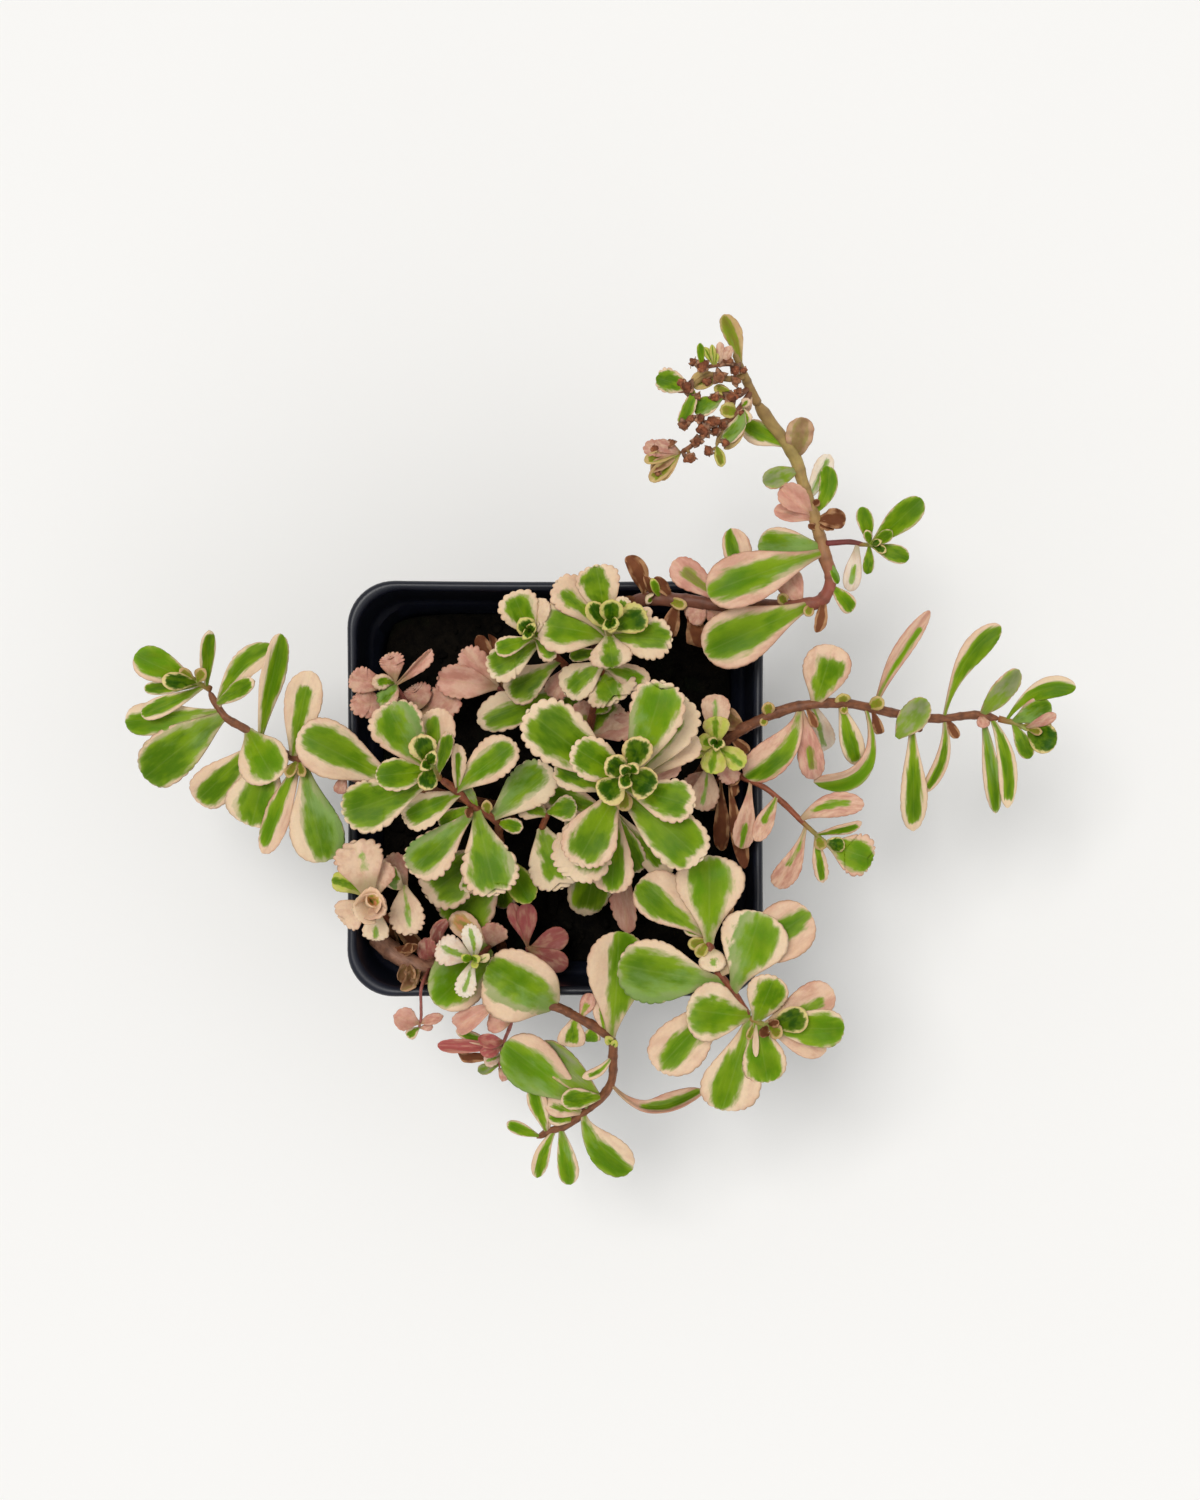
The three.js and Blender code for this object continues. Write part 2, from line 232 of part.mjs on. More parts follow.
  ["T2d","T2c",[530,632,534,624],11,{"k":"K","d":4.1,"z":116.26,"c":0.5,"y":0.5,"r":3},""],
  ["T2d2","T2c",[530,632,524,638],11,{"k":"K","d":4.1,"z":116.26,"c":0.5,"y":0.5,"r":-4},""],
  ["T2e","T2c",[527,643,495,650],20,{"k":"G","d":2.8,"z":109.5,"c":0.2,"r":4},""],
  ["T2f","T2c",[533,652,488,671],37,{"k":"N","g":[0.7,0.15,0,0.9],"d":1.9,"z":105.6,"r":-2},""],
  ["T2g","T2c",[534,646,556,657],19,{"k":"N","d":2.4,"z":108.2,"b":0.6,"r":5},""],
  ["T2g2","T2c",[533,640,549,630],18,{"k":"N","d":2.2,"z":110.8,"r":-4},""],
  ["T2h","ST2",[560,666,505,693],40,{"k":"N","g":[0.62,-0.2,0,0.9],"o":0.15,"d":0.4,"z":93.9,"s":"s","r":-5},""],
  ["T2i","ST2",[566,668,552,699],25,{"k":"P","o":0.1,"d":-2.9,"z":90,"r":1},""],
  ["M1","ST2",[577,688,477,722],38,{"k":"N","g":[0.62,-0.25,0,0.9],"o":0.25,"z":82,"d":6.5,"s":"s","r":8},""],
  ["M2","ST2",[580,690,560,722],26,{"k":"G","o":0.5,"z":78,"d":-1.5,"r":-2},""],
  ["T1a","T1c",[604,607,596,565],44,{"k":"G","g":[0.62,-0.2,0,0.93],"d":4.6,"z":110.8,"r":-7},""],
  ["T1b","T1c",[592,614,557,581],38,{"k":"N","g":[0.4,-0.2,0,0.75],"d":3.3,"z":109.5,"r":-9},""],
  ["T1d","T1c",[600,632,538,625],52,{"k":"N","g":[0.64,0,0,0.85],"d":2.4,"z":109.5,"r":9},""],
  ["T1e","T1c",[605,632,589,602],20,{"k":"K","d":5.8,"z":116,"y":0.5,"g":[0.7,0.1,0,0.9],"r":4},""],
  ["T1f","T1c",[611,624,612,599],25,{"k":"K","d":5.5,"z":117.95,"y":0.5,"g":[0.66,0,0,0.9],"r":1},""],
  ["T1g","T1c",[611,624,604,628],13,{"k":"K","d":4.1,"z":119.38,"c":0.5,"y":0.5,"r":-4},""],
  ["T1g2","T1c",[611,623,618,624],13,{"k":"K","d":4,"z":119.38,"c":0.5,"y":0.5,"r":2},""],
  ["T1g3","T1c",[611,624,611,632],14,{"k":"K","d":4.1,"z":118.6,"c":0.4,"y":0.5,"r":-6},""],
  ["T1h","T1c",[617,628,646,612],33,{"k":"K","g":[0.7,0.1,0,0.88],"d":4.3,"z":114.7,"y":0.5,"r":4},""],
  ["T1i","T1c",[615,617,627,598],18,{"k":"N","g":[0.5,0,0,0.8],"d":3.9,"z":112.1,"r":-3},""],
  ["T1j","T1c",[640,630,649,607],13,{"k":"C","d":2.4,"z":108.2,"r":-4},""],
  ["T1k","T1c",[615,637,672,640],43,{"k":"N","g":[0.6,-0.15,0,0.93],"d":2.2,"z":110.8,"r":3},""],
  ["T1l","T1c",[608,636,613,668],44,{"k":"N","g":[0.45,0.05,0,1],"d":1.2,"z":112.1,"b":0.3,"c":0.05,"r":-4},""],
  ["T1m","ST1",[601,672,617,703],50,{"k":"N","g":[0.6,0.1,0,0.85],"d":2.2,"z":99.1,"r":-4},""],
  ["T1n","ST1",[604,662,649,684],26,{"k":"N","g":[0.5,0,0,0.85],"d":0.1,"z":100.4,"o":0.1,"r":6},""],
  ["T1o","ST1",[601,660,565,694],37,{"k":"N","g":[0.5,0,0,0.85],"d":-1.2,"z":100.4,"r":7},""],
  ["T1p","ST1",[603,650,569,657],14,{"k":"G","o":0.3,"d":-0.3,"z":103,"r":-2},""],
  ["N1","ST1",[590,735,579,702],34,{"k":"P","o":0.2,"g":[0.2,0,0,0.6],"d":7.2,"z":80,"r":6},""],
  ["N2","ST1",[594,716,606,698],22,{"k":"G","o":0.3,"d":4.3,"z":88,"r":6},""],
  ["N3","ST1",[592,740,620,704],36,{"k":"N","p":0.7,"o":0.15,"g":[0.4,-0.4,0,0.9],"d":8.7,"z":78,"r":8},""],
  ["N4","ST1",[590,742,560,735],30,{"k":"N","o":0.3,"d":5.8,"z":76,"r":-8},""],
  ["N5","ST1",[590,740,640,720],28,{"k":"P","o":0.3,"d":8.9,"z":78,"r":8},""],
  ["R1","Rc",[600,767,527,711],60,{"k":"G","g":[0.78,0,0,0.88],"z":119.9,"d":6.5,"r":7},""],
  ["R2","Rc",[612,768,572,747],42,{"k":"G","g":[0.8,0,0,0.88],"z":126.4,"d":6.2,"s":"r","r":1},""],
  ["R3","Rc",[598,788,555,768],31,{"k":"N","g":[0.6,0,0,0.9],"z":114.7,"d":1.8,"r":4},""],
  ["R4","Rc",[648,752,663,681],56,{"k":"N","g":[0.76,0.05,0,0.9],"z":121.2,"d":7.3,"b":0.6},""],
  ["R5","Rc",[650,760,686,699],52,{"k":"N","g":[0.5,0,0,0.7],"z":114.7,"d":2.7,"r":-1},""],
  ["R6","Rc",[652,762,699,738],36,{"k":"C","z":112.1,"d":0.5,"g":[0.3,0,0,0.4],"r":-8},""],
  ["R7","Rc",[635,767,640,736],32,{"k":"K","z":129,"d":7.2,"g":[0.72,0,0,0.9],"r":3},""],
  ["R8","Rc",[627,777,608,759],25,{"k":"K","z":130.3,"d":5.5,"r":-3},""],
  ["R9a","Rc",[627,777,621,787],15,{"k":"K","z":133.55,"d":4.2,"c":0.5,"r":-9},""],
  ["R9b","Rc",[629,772,637,764],14,{"k":"K","z":133.94,"d":4.2,"c":0.5,"r":4},""],
  ["R9c","Rc",[629,773,621,766],13,{"k":"K","z":134.2,"d":3.4,"c":0.5,"r":-9},""],
  ["R10","Rc",[629,772,656,788],33,{"k":"K","z":129.65,"d":4.2,"g":[0.84,0,0,0.94],"r":8},""],
  ["R11","Rc",[625,781,600,799],33,{"k":"K","z":127.05,"d":4.2,"g":[0.7,0.1,0,0.88],"r":8},""],
  ["R12","Rc",[628,788,622,811],18,{"k":"O","z":121.2,"d":2.4,"r":-8},""],
  ["R13","Rc",[635,790,695,806],45,{"k":"G","g":[0.78,0,0,0.85],"z":121.2,"d":5.4,"r":-7},""],
  ["R14","Rc",[635,797,702,860],58,{"k":"G","g":[0.82,0,0,0.88],"z":116,"d":5,"r":4},""],
  ["R15","Rc",[612,798,576,865],54,{"k":"G","g":[0.72,0,0,0.88],"z":117.3,"d":4.4,"r":-6},""],
  ["R16","Rc",[605,805,569,878],60,{"k":"N","g":[0.5,-0.3,0,0.8],"z":112.1,"d":1.6,"r":-2},""],
  ["R17","Rc",[617,810,612,893],43,{"k":"N","g":[0.58,0,0,0.95],"z":108.2,"d":-1.3,"s":"s","p":0.4,"r":7},""],
  ["R18","SR",[612,804,640,873],25,{"k":"G","o":0.25,"z":100.4,"d":-5.5,"s":"s","r":-3},""],
  ["R19","SR",[611,806,669,877],27,{"k":"N","o":0.15,"z":99.1,"d":-5.1,"s":"s","g":[0.4,0,0,0.8],"r":9},""],
  ["R20","Rc",[632,785,681,764],20,{"k":"P","z":108.2,"d":0.5,"r":-6},""],
  ["R21","SR",[608,812,584,916],46,{"k":"G","o":0.55,"z":92.6,"d":-12.2,"s":"s","g":[0.85,0,0,0.9],"r":-9},""],
  ["R22","SR",[606,815,630,930],30,{"k":"P","o":0.35,"z":90,"d":-9.4,"s":"s","r":28},""],
  ["R23","SR",[606,816,540,790],34,{"k":"N","o":0.15,"z":92.6,"d":-0.6,"r":8},""],
  ["R24","SR",[606,816,566,830],30,{"k":"N","o":0.3,"z":90,"d":-1.4,"r":4},""],
  ["Y1","Yc",[716,730,715,694],30,{"k":"C","g":[0.2,0,0.2,0.8],"z":99.1,"d":1.4,"o":0.1,"p":0.6,"r":3},""],
  ["Y2","Yc",[717,740,715,716],27,{"k":"Y","g":[0.25,0,0,1],"z":104.3,"d":3.9,"r":1},""],
  ["Y3","Yc",[714,744,698,740],17,{"k":"Y","g":[0.5,0,0,0.7],"z":104.3,"d":3.6,"r":-1},""],
  ["Y3b","Yc",[712,748,689,752],16,{"k":"Y","g":[0.1,0,0,0.6],"z":100.4,"d":2.4,"r":-7},""],
  ["Y4","Yc",[716,746,711,774],26,{"k":"Y","g":[0.32,0,0,1],"z":104.3,"d":2.6,"r":8},""],
  ["Y5","Yc",[720,745,744,767],24,{"k":"Y","g":[0.3,0,0,0.9],"z":101.7,"d":2.8,"r":4},""],
  ["Y6","Yc",[717,743,709,740],10,{"k":"K","z":106.38,"d":3.3,"c":0.5,"r":-8},""],
  ["Y6b","Yc",[717,743,724,745],10,{"k":"K","z":106.38,"d":3.3,"c":0.5,"r":-6},""],
  ["Y6c","Yc",[717,743,716,750],9,{"k":"K","z":106.12,"d":3.3,"c":0.5,"r":4},""],
  ["Y7","Yc",[720,752,734,784],22,{"k":"P","z":97.8,"d":-1.7,"r":5},""],
  ["U1","SY",[709,766,702,811],28,{"k":"C","g":[0.18,0,0,0.9],"z":88,"d":1.2,"o":0.12,"p":0.6,"r":3},""],
  ["U2","SY",[706,772,690,790],24,{"k":"P","o":0.3,"z":84,"d":-1.9,"r":-3},""],
  ["U3","SY",[704,776,720,812],20,{"k":"D","z":82,"d":-2.7,"r":-6},""],
  ["K1","SF",[822,552,707,593],56,{"k":"N","g":[0.56,0,0,1],"b":0.4,"z":104.3,"d":5.7,"s":"s","p":0.7,"r":9},"flowering_branch_leaf_1"],
  ["K2","SF",[812,603,704,653],58,{"k":"G","g":[0.7,0.05,0,0.97],"z":101.05,"d":1.9,"s":"s","p":0.6,"r":-6},"flowering_branch_leaf_2"],
  ["K3","SF",[822,548,757,546],36,{"k":"N","g":[0.8,0,0,0.95],"z":104.3,"d":-2,"b":0.8,"p":0.3,"r":-3},""],
  ["K4","SF",[752,606,731,528],28,{"k":"N","g":[0.5,-0.35,0.3,1],"z":100.4,"d":0.9,"p":0.6,"s":"s","r":5},""],
  ["K5","SF",[724,604,673,562],31,{"k":"P","g":[0.35,0,0,0.8],"z":99.75,"d":0.5,"s":"s","r":-4},""],
  ["K6","SF",[801,604,784,571],27,{"k":"P","z":100.4,"d":-0.3,"r":-8},""],
  ["K7","SS",[860,546,849,592],18,{"k":"W","g":[0.3,0,0.4,0.8],"p":0.3,"z":104.95,"d":-2.5,"r":8},""],
  ["K8","SF",[832,586,853,611],18,{"k":"G","z":103,"d":-2.9,"r":-7},""],
  ["K7b","SF",[827,556,838,584],9,{"k":"N","b":1,"g":[0.8,0,0,1],"z":104.3,"d":-0.5,"r":-2},""],
  ["K9","SF",[826,596,817,633],16,{"k":"D","z":101.7,"d":-0.2,"c":0.5,"r":-3},""],
  ["K10","SF",[812,604,806,616],12,{"k":"O","z":100.4,"d":1.6,"c":0.5,"r":-6},""],
  ["K11","SF",[786,606,779,594],12,{"k":"O","z":100.4,"d":2.9,"r":2},""],
  ["K12","SF",[705,603,690,622],24,{"k":"P","o":0.2,"z":99.1,"d":-1.9,"r":9},""],
  ["K13","SF",[690,601,700,650],26,{"k":"D","z":97.8,"d":-6.2,"c":0.3},""],
  ["K14","SF",[680,600,665,640],24,{"k":"D","z":97.8,"d":-6.4,"c":0.4,"r":-1},""],
  ["K15","SF",[672,600,655,577],16,{"k":"D","z":97.8,"d":2,"c":0.5,"r":3},""],
  ["K16","SF",[660,600,652,579],9,{"k":"Y","g":[0.8,0,0,0.9],"z":96.5,"d":5.6,"r":1},""],
  ["K17","SF",[655,600,645,576],12,{"k":"D","z":96.5,"d":3.2,"c":0.5,"r":-2},""],
  ["K18","SF",[645,600,628,556],20,{"k":"D","z":95.2,"d":5,"c":0.6,"m":[645,580],"r":4},""],
  ["K19","SF",[642,600,622,604],16,{"k":"D","z":95.2,"d":0.5,"c":0.5,"r":4},""],
  ["K20","SF",[664,600,687,606],12,{"k":"O","z":97.8,"d":3.1,"c":0.5,"r":9},""],
  ["K21","SF",[650,601,648,597],14,{"k":"N","z":96.5,"d":3.9,"r":3},""],
  ["K22","SF",[700,603,721,617],22,{"k":"P","o":0.15,"z":99.1,"d":-3.1,"r":2},""],
  ["I12","SF",[799,470,763,482],20,{"k":"U","p":0.8,"z":108.2,"d":2.3,"r":-1},""],
  ["I13","SF",[814,516,780,488],27,{"k":"P","o":0.3,"z":105.6,"d":3.7,"c":0.4,"f":0.35,"r":-4},""],
  ["I13b","SF",[815,520,774,510],19,{"k":"P","o":0.35,"z":104.95,"d":2.4,"c":0.4,"f":0.3},""],
  ["I14","SF",[808,500,829,456],20,{"k":"W","p":0.2,"b":0.8,"z":106.9,"d":-2.5,"r":7},""],
  ["I15","SF",[813,513,825,467],20,{"k":"G","g":[0.95,0,0,1],"z":105.6,"d":0,"m":[834,492],"r":9},""],
  ["I16","SF",[812,506,820,500],10,{"k":"D","z":106.25,"d":2.8,"c":0.5,"r":8},""],
  ["I17","SF",[815,520,846,519],26,{"k":"D","z":105.6,"d":2.1,"c":0.5,"r":-7},""],
  ["I18","SF",[816,522,834,530],16,{"k":"D","z":105.6,"d":1.8,"c":0.5,"r":-9},""],
  ["I19","SF",[818,530,808,524],10,{"k":"D","z":105.6,"d":2.8,"c":0.5,"r":-3},""],
  ["I20","J0",[752,396,742,414],12,{"k":"C","p":0.6,"d":0,"z":119.38,"g":[0,0,0,0],"c":0.5,"r":9},""],
  ["I3","SF",[799,456,801,417],29,{"k":"D","t":1,"c":0.12,"z":109.5,"d":4.8,"s":"r","r":6},""],
  ["I2","SF",[789,450,743,426],24,{"k":"G","g":[0.7,0.15,0,1],"b":0.4,"z":110.15,"d":1.4,"s":"s","r":-5},""],
  ["SS1","SSc",[872,546,861,507],17,{"k":"G","g":[0.9,0,0,1],"z":108.2,"d":3.1,"r":3},""],
  ["SS2","SSc",[873,545,922,499],28,{"k":"G","g":[0.95,0,0,1],"z":109.5,"d":7.1,"r":-1},""],
  ["SS3","SSc",[873,545,892,531],13,{"k":"G","o":0.25,"g":[0.95,0,0,1],"z":110.15,"d":5.4,"r":8},""],
  ["SS4","SSc",[872,546,909,559],18,{"k":"G","g":[0.92,0,0,1],"z":108.85,"d":1.5,"r":2},""],
  ["SS5","SSc",[872,545,881,541],8,{"k":"K","z":110.54,"d":3.4,"c":0.5,"r":-5},""],
  ["SS6","SSc",[871,546,867,574],12,{"k":"G","g":[0.9,0,0,1],"z":108.2,"d":-0.4,"r":2},""],
  ["SS7","SSc",[870,545,866,530],9,{"k":"G","z":108.85,"d":3.6,"r":-4},""],
  ["SS8","SSc",[872,545,886,552],9,{"k":"K","z":110.15,"d":2.9,"r":6},""],
  ["L1","SH",[816,705,833,645],47,{"k":"N","g":[0.62,0.12,0.04,0.76],"p":0.55,"d":5.4,"s":"o","r":-1},"right_branch_leaf_1"],
  ["L2","SH",[873,708,930,611],18,{"k":"N","tw":60,"p":0.8,"g":[0.35,0.3,0,0.8],"o":0.12,"d":10.5,"a":2,"m":[892,655],"r":-3},""],
  ["L3","SH",[897,738,926,699],29,{"k":"U","d":0.7,"z":94.55,"a":0.1,"s":"e","p":0.5,"c":0.05,"v":1.1,"r":-2},""],
  ["L4","SH",[943,718,1001,626],25,{"k":"G","g":[0.8,0.28,0,1],"m":[956,652],"d":9.1,"s":"s","p":0.5,"r":1},"right_branch_leaf_2"],
  ["L5","SH",[980,715,1020,670],23,{"k":"U","d":4.1,"p":0.7,"s":"e","r":9},""],
  ["L5b","SH",[980,715,984,728],14,{"k":"P","d":2.9,"r":-9},""],
  ["L6","SHc",[1005,720,1076,688],22,{"k":"G","g":[0.85,0.3,0,1],"m":[1030,680],"z":89.6,"d":7.5,"s":"s","r":-3},"right_branch_leaf_3"],
  ["L7","SHc",[1013,720,1051,704],24,{"k":"N","g":[0.85,0,0,1],"b":1,"p":0.6,"z":88.6,"d":4.6,"r":2},""],
  ["L7b","SHc",[1022,728,1052,728],20,{"k":"O","z":88.6,"d":2.7,"c":0.3,"r":5},""],
  ["L7c","SHc",[1030,735,1056,744],30,{"k":"K","g":[0.9,-0.05,0,1],"z":88.6,"d":4.1,"s":"r","c":0.3,"r":4},""],
  ["L7d","SHc",[1012,722,1030,759],17,{"k":"G","g":[0.9,0,0,1],"z":88.6,"d":0.1,"r":4},""],
  ["L7e","SHc",[1026,730,1056,714],12,{"k":"P","z":88.6,"d":5.8,"o":0.2,"r":8},""],
  ["L7f","SHc",[1030,731,1042,732],9,{"k":"O","z":88.6,"d":5,"c":0.5,"r":4},""],
  ["L8a","SH",[911,717,913,829],28,{"k":"N","g":[0.6,0,0,0.9],"d":-12,"s":"s","p":0.2,"r":3},"right_branch_leaf_4"],
  ["L8b","SH",[943,718,924,792],16,{"k":"N","m":[950,758],"d":-5.5,"p":0.4,"g":[0.5,0,0,0.9],"o":0.15,"r":1},""],
  ["L9a","SH",[983,716,996,811],17,{"k":"N","g":[0.7,-0.1,0,0.95],"d":-7.5,"b":0.9,"r":18},""],
  ["L9b","SH",[990,717,1007,806],19,{"k":"N","g":[0.65,0,0,0.9],"d":-5.1,"m":[1010,750],"r":2},""],
  ["L10a","SH",[840,704,858,766],24,{"k":"N","g":[0.6,0.1,0,0.9],"d":-5.8,"o":0.1,"r":4},""],
  ["L10b","SH",[866,707,813,784],28,{"k":"N","m":[888,782],"d":-7.5,"r":-40,"p":0.6,"g":[0.6,-0.4,0,1],"s":"s"},"right_branch_leaf_5"],
  ["L11","SH",[800,707,743,776],38,{"k":"N","m":[798,745],"g":[0.5,-0.35,0,1],"p":0.85,"d":-3.9,"s":"s","r":-1},""],
  ["L12","SH",[801,708,815,782],26,{"k":"P","p":0.9,"g":[0.3,0,0.5,0.8],"d":-9.3,"r":4},""],
  ["L13","SH",[812,706,825,752],27,{"k":"W","d":-18.7,"o":0.1,"r":2},""],
  ["L14","SH",[768,716,768,702],14,{"k":"O","d":2.9,"c":0.5,"r":-1},""],
  ["L15","SH",[766,717,762,726],9,{"k":"O","d":1.5,"r":4},""],
  ["L16","SH",[843,704,842,694],16,{"k":"O","d":2.8,"c":0.5,"y":0.5,"r":-4},""],
  ["L17","SH",[868,708,884,700],15,{"k":"O","d":3,"c":0.5,"y":0.3,"r":-3},""],
  ["L18","SH",[806,708,817,727],12,{"k":"D","d":-0.7,"c":0.5,"r":-7},""],
  ["L19","SH",[872,711,881,736],14,{"k":"D","d":-1.8,"c":0.5,"r":-7},""],
  ["L20","SH",[905,716,921,731],14,{"k":"D","d":-0.7,"c":0.5,"r":-4},""],
  ["L21","SH",[945,719,958,738],14,{"k":"D","d":-0.6,"c":0.5,"r":6},""],
  ["L22","SH",[846,706,842,714],9,{"k":"O","d":1.5,"r":7},""],
  ["L23","SH",[730,737,748,752],16,{"k":"D","d":-1.9,"r":8},""],
  ["L24","SH",[744,729,722,716],34,{"k":"D","t":0.4,"d":-3.1,"o":0.1,"r":-4},""],
  ["S8a","S8",[776,797,755,841],19,{"k":"N","z":97.8,"d":3.8,"g":[0.35,0.1,0,0.6],"p":0.8,"f":0.5},""],
  ["S8b","S8",[753,782,741,849],21,{"k":"N","p":0.9,"z":95.2,"d":-0.7,"g":[0.3,0,0.6,1],"s":"s","f":0.5,"r":5},""],
  ["S8c","S8",[802,821,864,805],24,{"k":"N","p":0.9,"m":[822,800],"z":97.8,"d":4.2,"g":[0.35,-0.1,0.2,0.8],"r":-3},""],
  ["S8d","S8c",[816,834,862,824],14,{"k":"N","p":0.5,"z":99.1,"d":4.8,"r":36},""],
  ["S8e","S8c",[830,845,873,860],42,{"k":"G","g":[0.75,0.05,0,1],"p":0.6,"z":100.4,"d":1.7,"r":-1},""],
  ["S8f","S8c",[829,850,842,839],19,{"k":"K","z":101.7,"d":3.7,"c":0.35,"s":"r","g":[0.82,0,0,1],"r":6},""],
  ["S8g","S8c",[814,834,823,883],15,{"k":"N","p":0.5,"z":99.1,"d":-2.6,"g":[0.5,0,0,0.9],"r":2},""],
  ["S8h","S8",[805,824,776,884],24,{"k":"N","p":0.95,"g":[0.25,0.2,0,0.6],"m":[796,862],"z":97.8,"d":-5.7,"s":"s","f":0.4,"r":-1},""],
  ["S8i","S8c",[818,836,822,850],14,{"k":"O","o":0.3,"z":99.1,"d":2.1,"r":-4},""],
  ["S8j","S8",[735,776,734,797],12,{"k":"D","z":91.3,"d":-0.7,"c":0.5,"r":-4},""],
  ["S8k","S8",[742,778,728,784],12,{"k":"D","z":93.9,"d":0.4,"c":0.4,"r":5},""],
  ["S8l","S8",[722,778,745,865],20,{"k":"D","z":90,"d":-1.4,"s":"s","r":-4},""],
  ["S8m","S8",[720,780,722,850],22,{"k":"D","z":84,"d":-3.2,"s":"s","r":-1},""],
  ["Q1","S9",[703,938,641,878],52,{"k":"N","g":[0.55,-0.3,0,0.97],"p":0.4,"z":103,"d":2.3,"s":"s","r":4},"lower_right_branch_leaf_1"],
  ["Q2","S9",[709,945,709,855],67,{"k":"G","g":[0.66,0,0,0.97],"z":104.3,"d":3.6,"s":"s","r":2},"lower_right_branch_leaf_2"],
  ["Q3","S9",[736,990,761,912],68,{"k":"N","g":[0.58,0.2,0,0.95],"b":0.8,"ps":-1,"z":104.3,"d":4.7,"s":"s","r":-7},"lower_right_branch_leaf_3"],
  ["Q4","S9",[718,972,809,913],58,{"k":"N","g":[0.42,0,0.4,1],"p":0.5,"z":103,"d":0.4,"s":"s","r":-4},""],
  ["Q5","S9",[722,985,618,964],66,{"k":"N","g":[0.72,-0.05,0,0.95],"z":104.3,"d":4.1,"b":0.9,"s":"s"},"lower_right_branch_leaf_4"],
  ["Q6","S10",[612,1040,618,931],62,{"k":"N","m":[618,990],"g":[0.62,0.3,0,1],"z":90,"d":10.4,"s":"s","r":9},"bottom_leaf_4"],
  ["Q7","S9",[728,990,658,1068],56,{"k":"N","g":[0.45,-0.05,0.15,0.95],"p":0.4,"z":103,"d":-1,"s":"s","r":-4},"lower_right_branch_leaf_5"],
  ["Q8","S9",[748,1018,687,1008],58,{"k":"N","g":[0.68,-0.12,0,0.93],"z":104.3,"d":5.4,"s":"o","r":2},""],
  ["Q9","S9",[748,1018,722,1110],58,{"k":"N","g":[0.52,0.14,0,0.97],"z":102.35,"d":-2.5,"s":"s","p":0.3,"r":-7},"lower_right_branch_leaf_6"],
  ["Q10","S9c",[757,1026,768,1081],43,{"k":"G","g":[0.88,0,0,0.97],"z":103,"d":-0.8,"r":8},""],
  ["Q11","S9c",[756,1018,775,976],42,{"k":"G","g":[0.72,0.1,0,0.93],"z":103.65,"d":6.3,"r":-5},""],
  ["Q12a","S9c",[770,1024,833,990],38,{"k":"N","g":[0.3,0.2,0,0.8],"p":0.7,"z":104.3,"d":1.2,"r":-7},""],
  ["Q12b","S9c",[775,1028,845,1028],42,{"k":"G","g":[0.85,0.05,0,1],"z":104.3,"d":4.2,"r":5},""],
  ["Q12c","S9c",[770,1028,826,1051],28,{"k":"C","p":0.6,"z":103.65,"d":-0.7,"g":[0,0,0,0],"r":4},""],
  ["Q13","S9c",[774,1030,805,1010],30,{"k":"K","y":0.1,"o":0.1,"z":105.6,"d":5.9,"c":0.4,"g":[0.82,0,0,0.9],"r":9},""],
  ["Q13b","S9c",[770,1026,782,1036],16,{"k":"O","z":105.6,"d":5.1,"c":0.5,"r":6},""],
  ["Q13c","S9c",[766,1025,762,1038],14,{"k":"D","z":105.6,"d":5,"c":0.5,"r":7},""],
  ["Q13d","S9c",[768,1025,779,1020],13,{"k":"D","z":105.6,"d":5,"c":0.5,"r":-5},""],
  ["Q14","S9",[712,948,714,972],28,{"k":"C","g":[0.35,0,0.4,0.75],"z":105.6,"d":3.1,"s":"r","r":1},""],
  ["Q15","S9",[707,941,688,945],14,{"k":"O","y":0.5,"z":104.3,"d":1.8,"c":0.5,"r":-1},""],
  ["Q15b","S9",[707,942,697,957],13,{"k":"O","y":0.5,"z":104.3,"d":1.7,"c":0.5,"r":1},""],
  ["Q17","S9",[706,938,684,926],12,{"k":"N","z":103,"d":-1.8,"g":[0.6,0,0,1],"r":-8},""],
  ["Q18","S9c",[754,1022,756,1057],7,{"k":"C","g":[0,0,0,0],"z":104.3,"d":2.8,"r":-3},""],
  ["Q19","S9c",[754,1022,748,1040],8,{"k":"O","z":103.65,"d":0.7,"r":4},""],
  ["Q20","S9",[690,915,738,905],18,{"k":"D","z":99.1,"d":-3.7,"r":-2},""],
  ["Q21","S9",[688,912,735,862],24,{"k":"D","z":97.8,"d":-5.7,"r":1},""],
  ["I1","J0",[741,372,723,315],20,{"k":"O","c":0.2,"y":0.1,"p":0.6,"g":[0.62,-0.1,0,1],"d":4,"z":123.8,"s":"s","m":[738,344],"r":8},""],
  ["I4","J3",[744,410,748,398],10,{"k":"N","d":2,"g":[0.4,0,0,0.8]},""],
  ["I4b","J3",[742,408,746,424],16,{"k":"N","d":-1,"g":[0.5,0,0,0.9]},""],
  ["I5","J3",[736,412,720,410],17,{"k":"O","y":0.6,"d":2,"s":"r"},""],
  ["I6","J3",[742,407,721,441],18,{"k":"N","d":1,"g":[0.55,0,0,0.8],"o":0.2,"m":[744,428],"r":6},""],
  ["I6b","J3",[742,408,724,449],10,{"k":"O","y":0.1,"d":0,"m":[746,436],"g":[0,0,0,0],"r":-2},""],
  ["I7","J2",[722,398,695,413],20,{"k":"N","d":1,"g":[0.7,0.2,0,1],"b":0.4,"r":8},""],
  ["I8","J1",[692,387,679,425],14,{"k":"G","d":-1,"m":[696,400],"r":3},""],
  ["I9","J1",[690,388,656,378],25,{"k":"G","d":1,"g":[0.8,0,0,1],"r":-3},""],
  ["I10","J6",[702,368,700,343],8,{"k":"Y","d":3,"g":[0.9,0,0,1],"r":4},""],
  ["I11a","J6",[714,366,704,347],8,{"k":"Y","d":3,"g":[0.2,0,0,1],"r":-8},""],
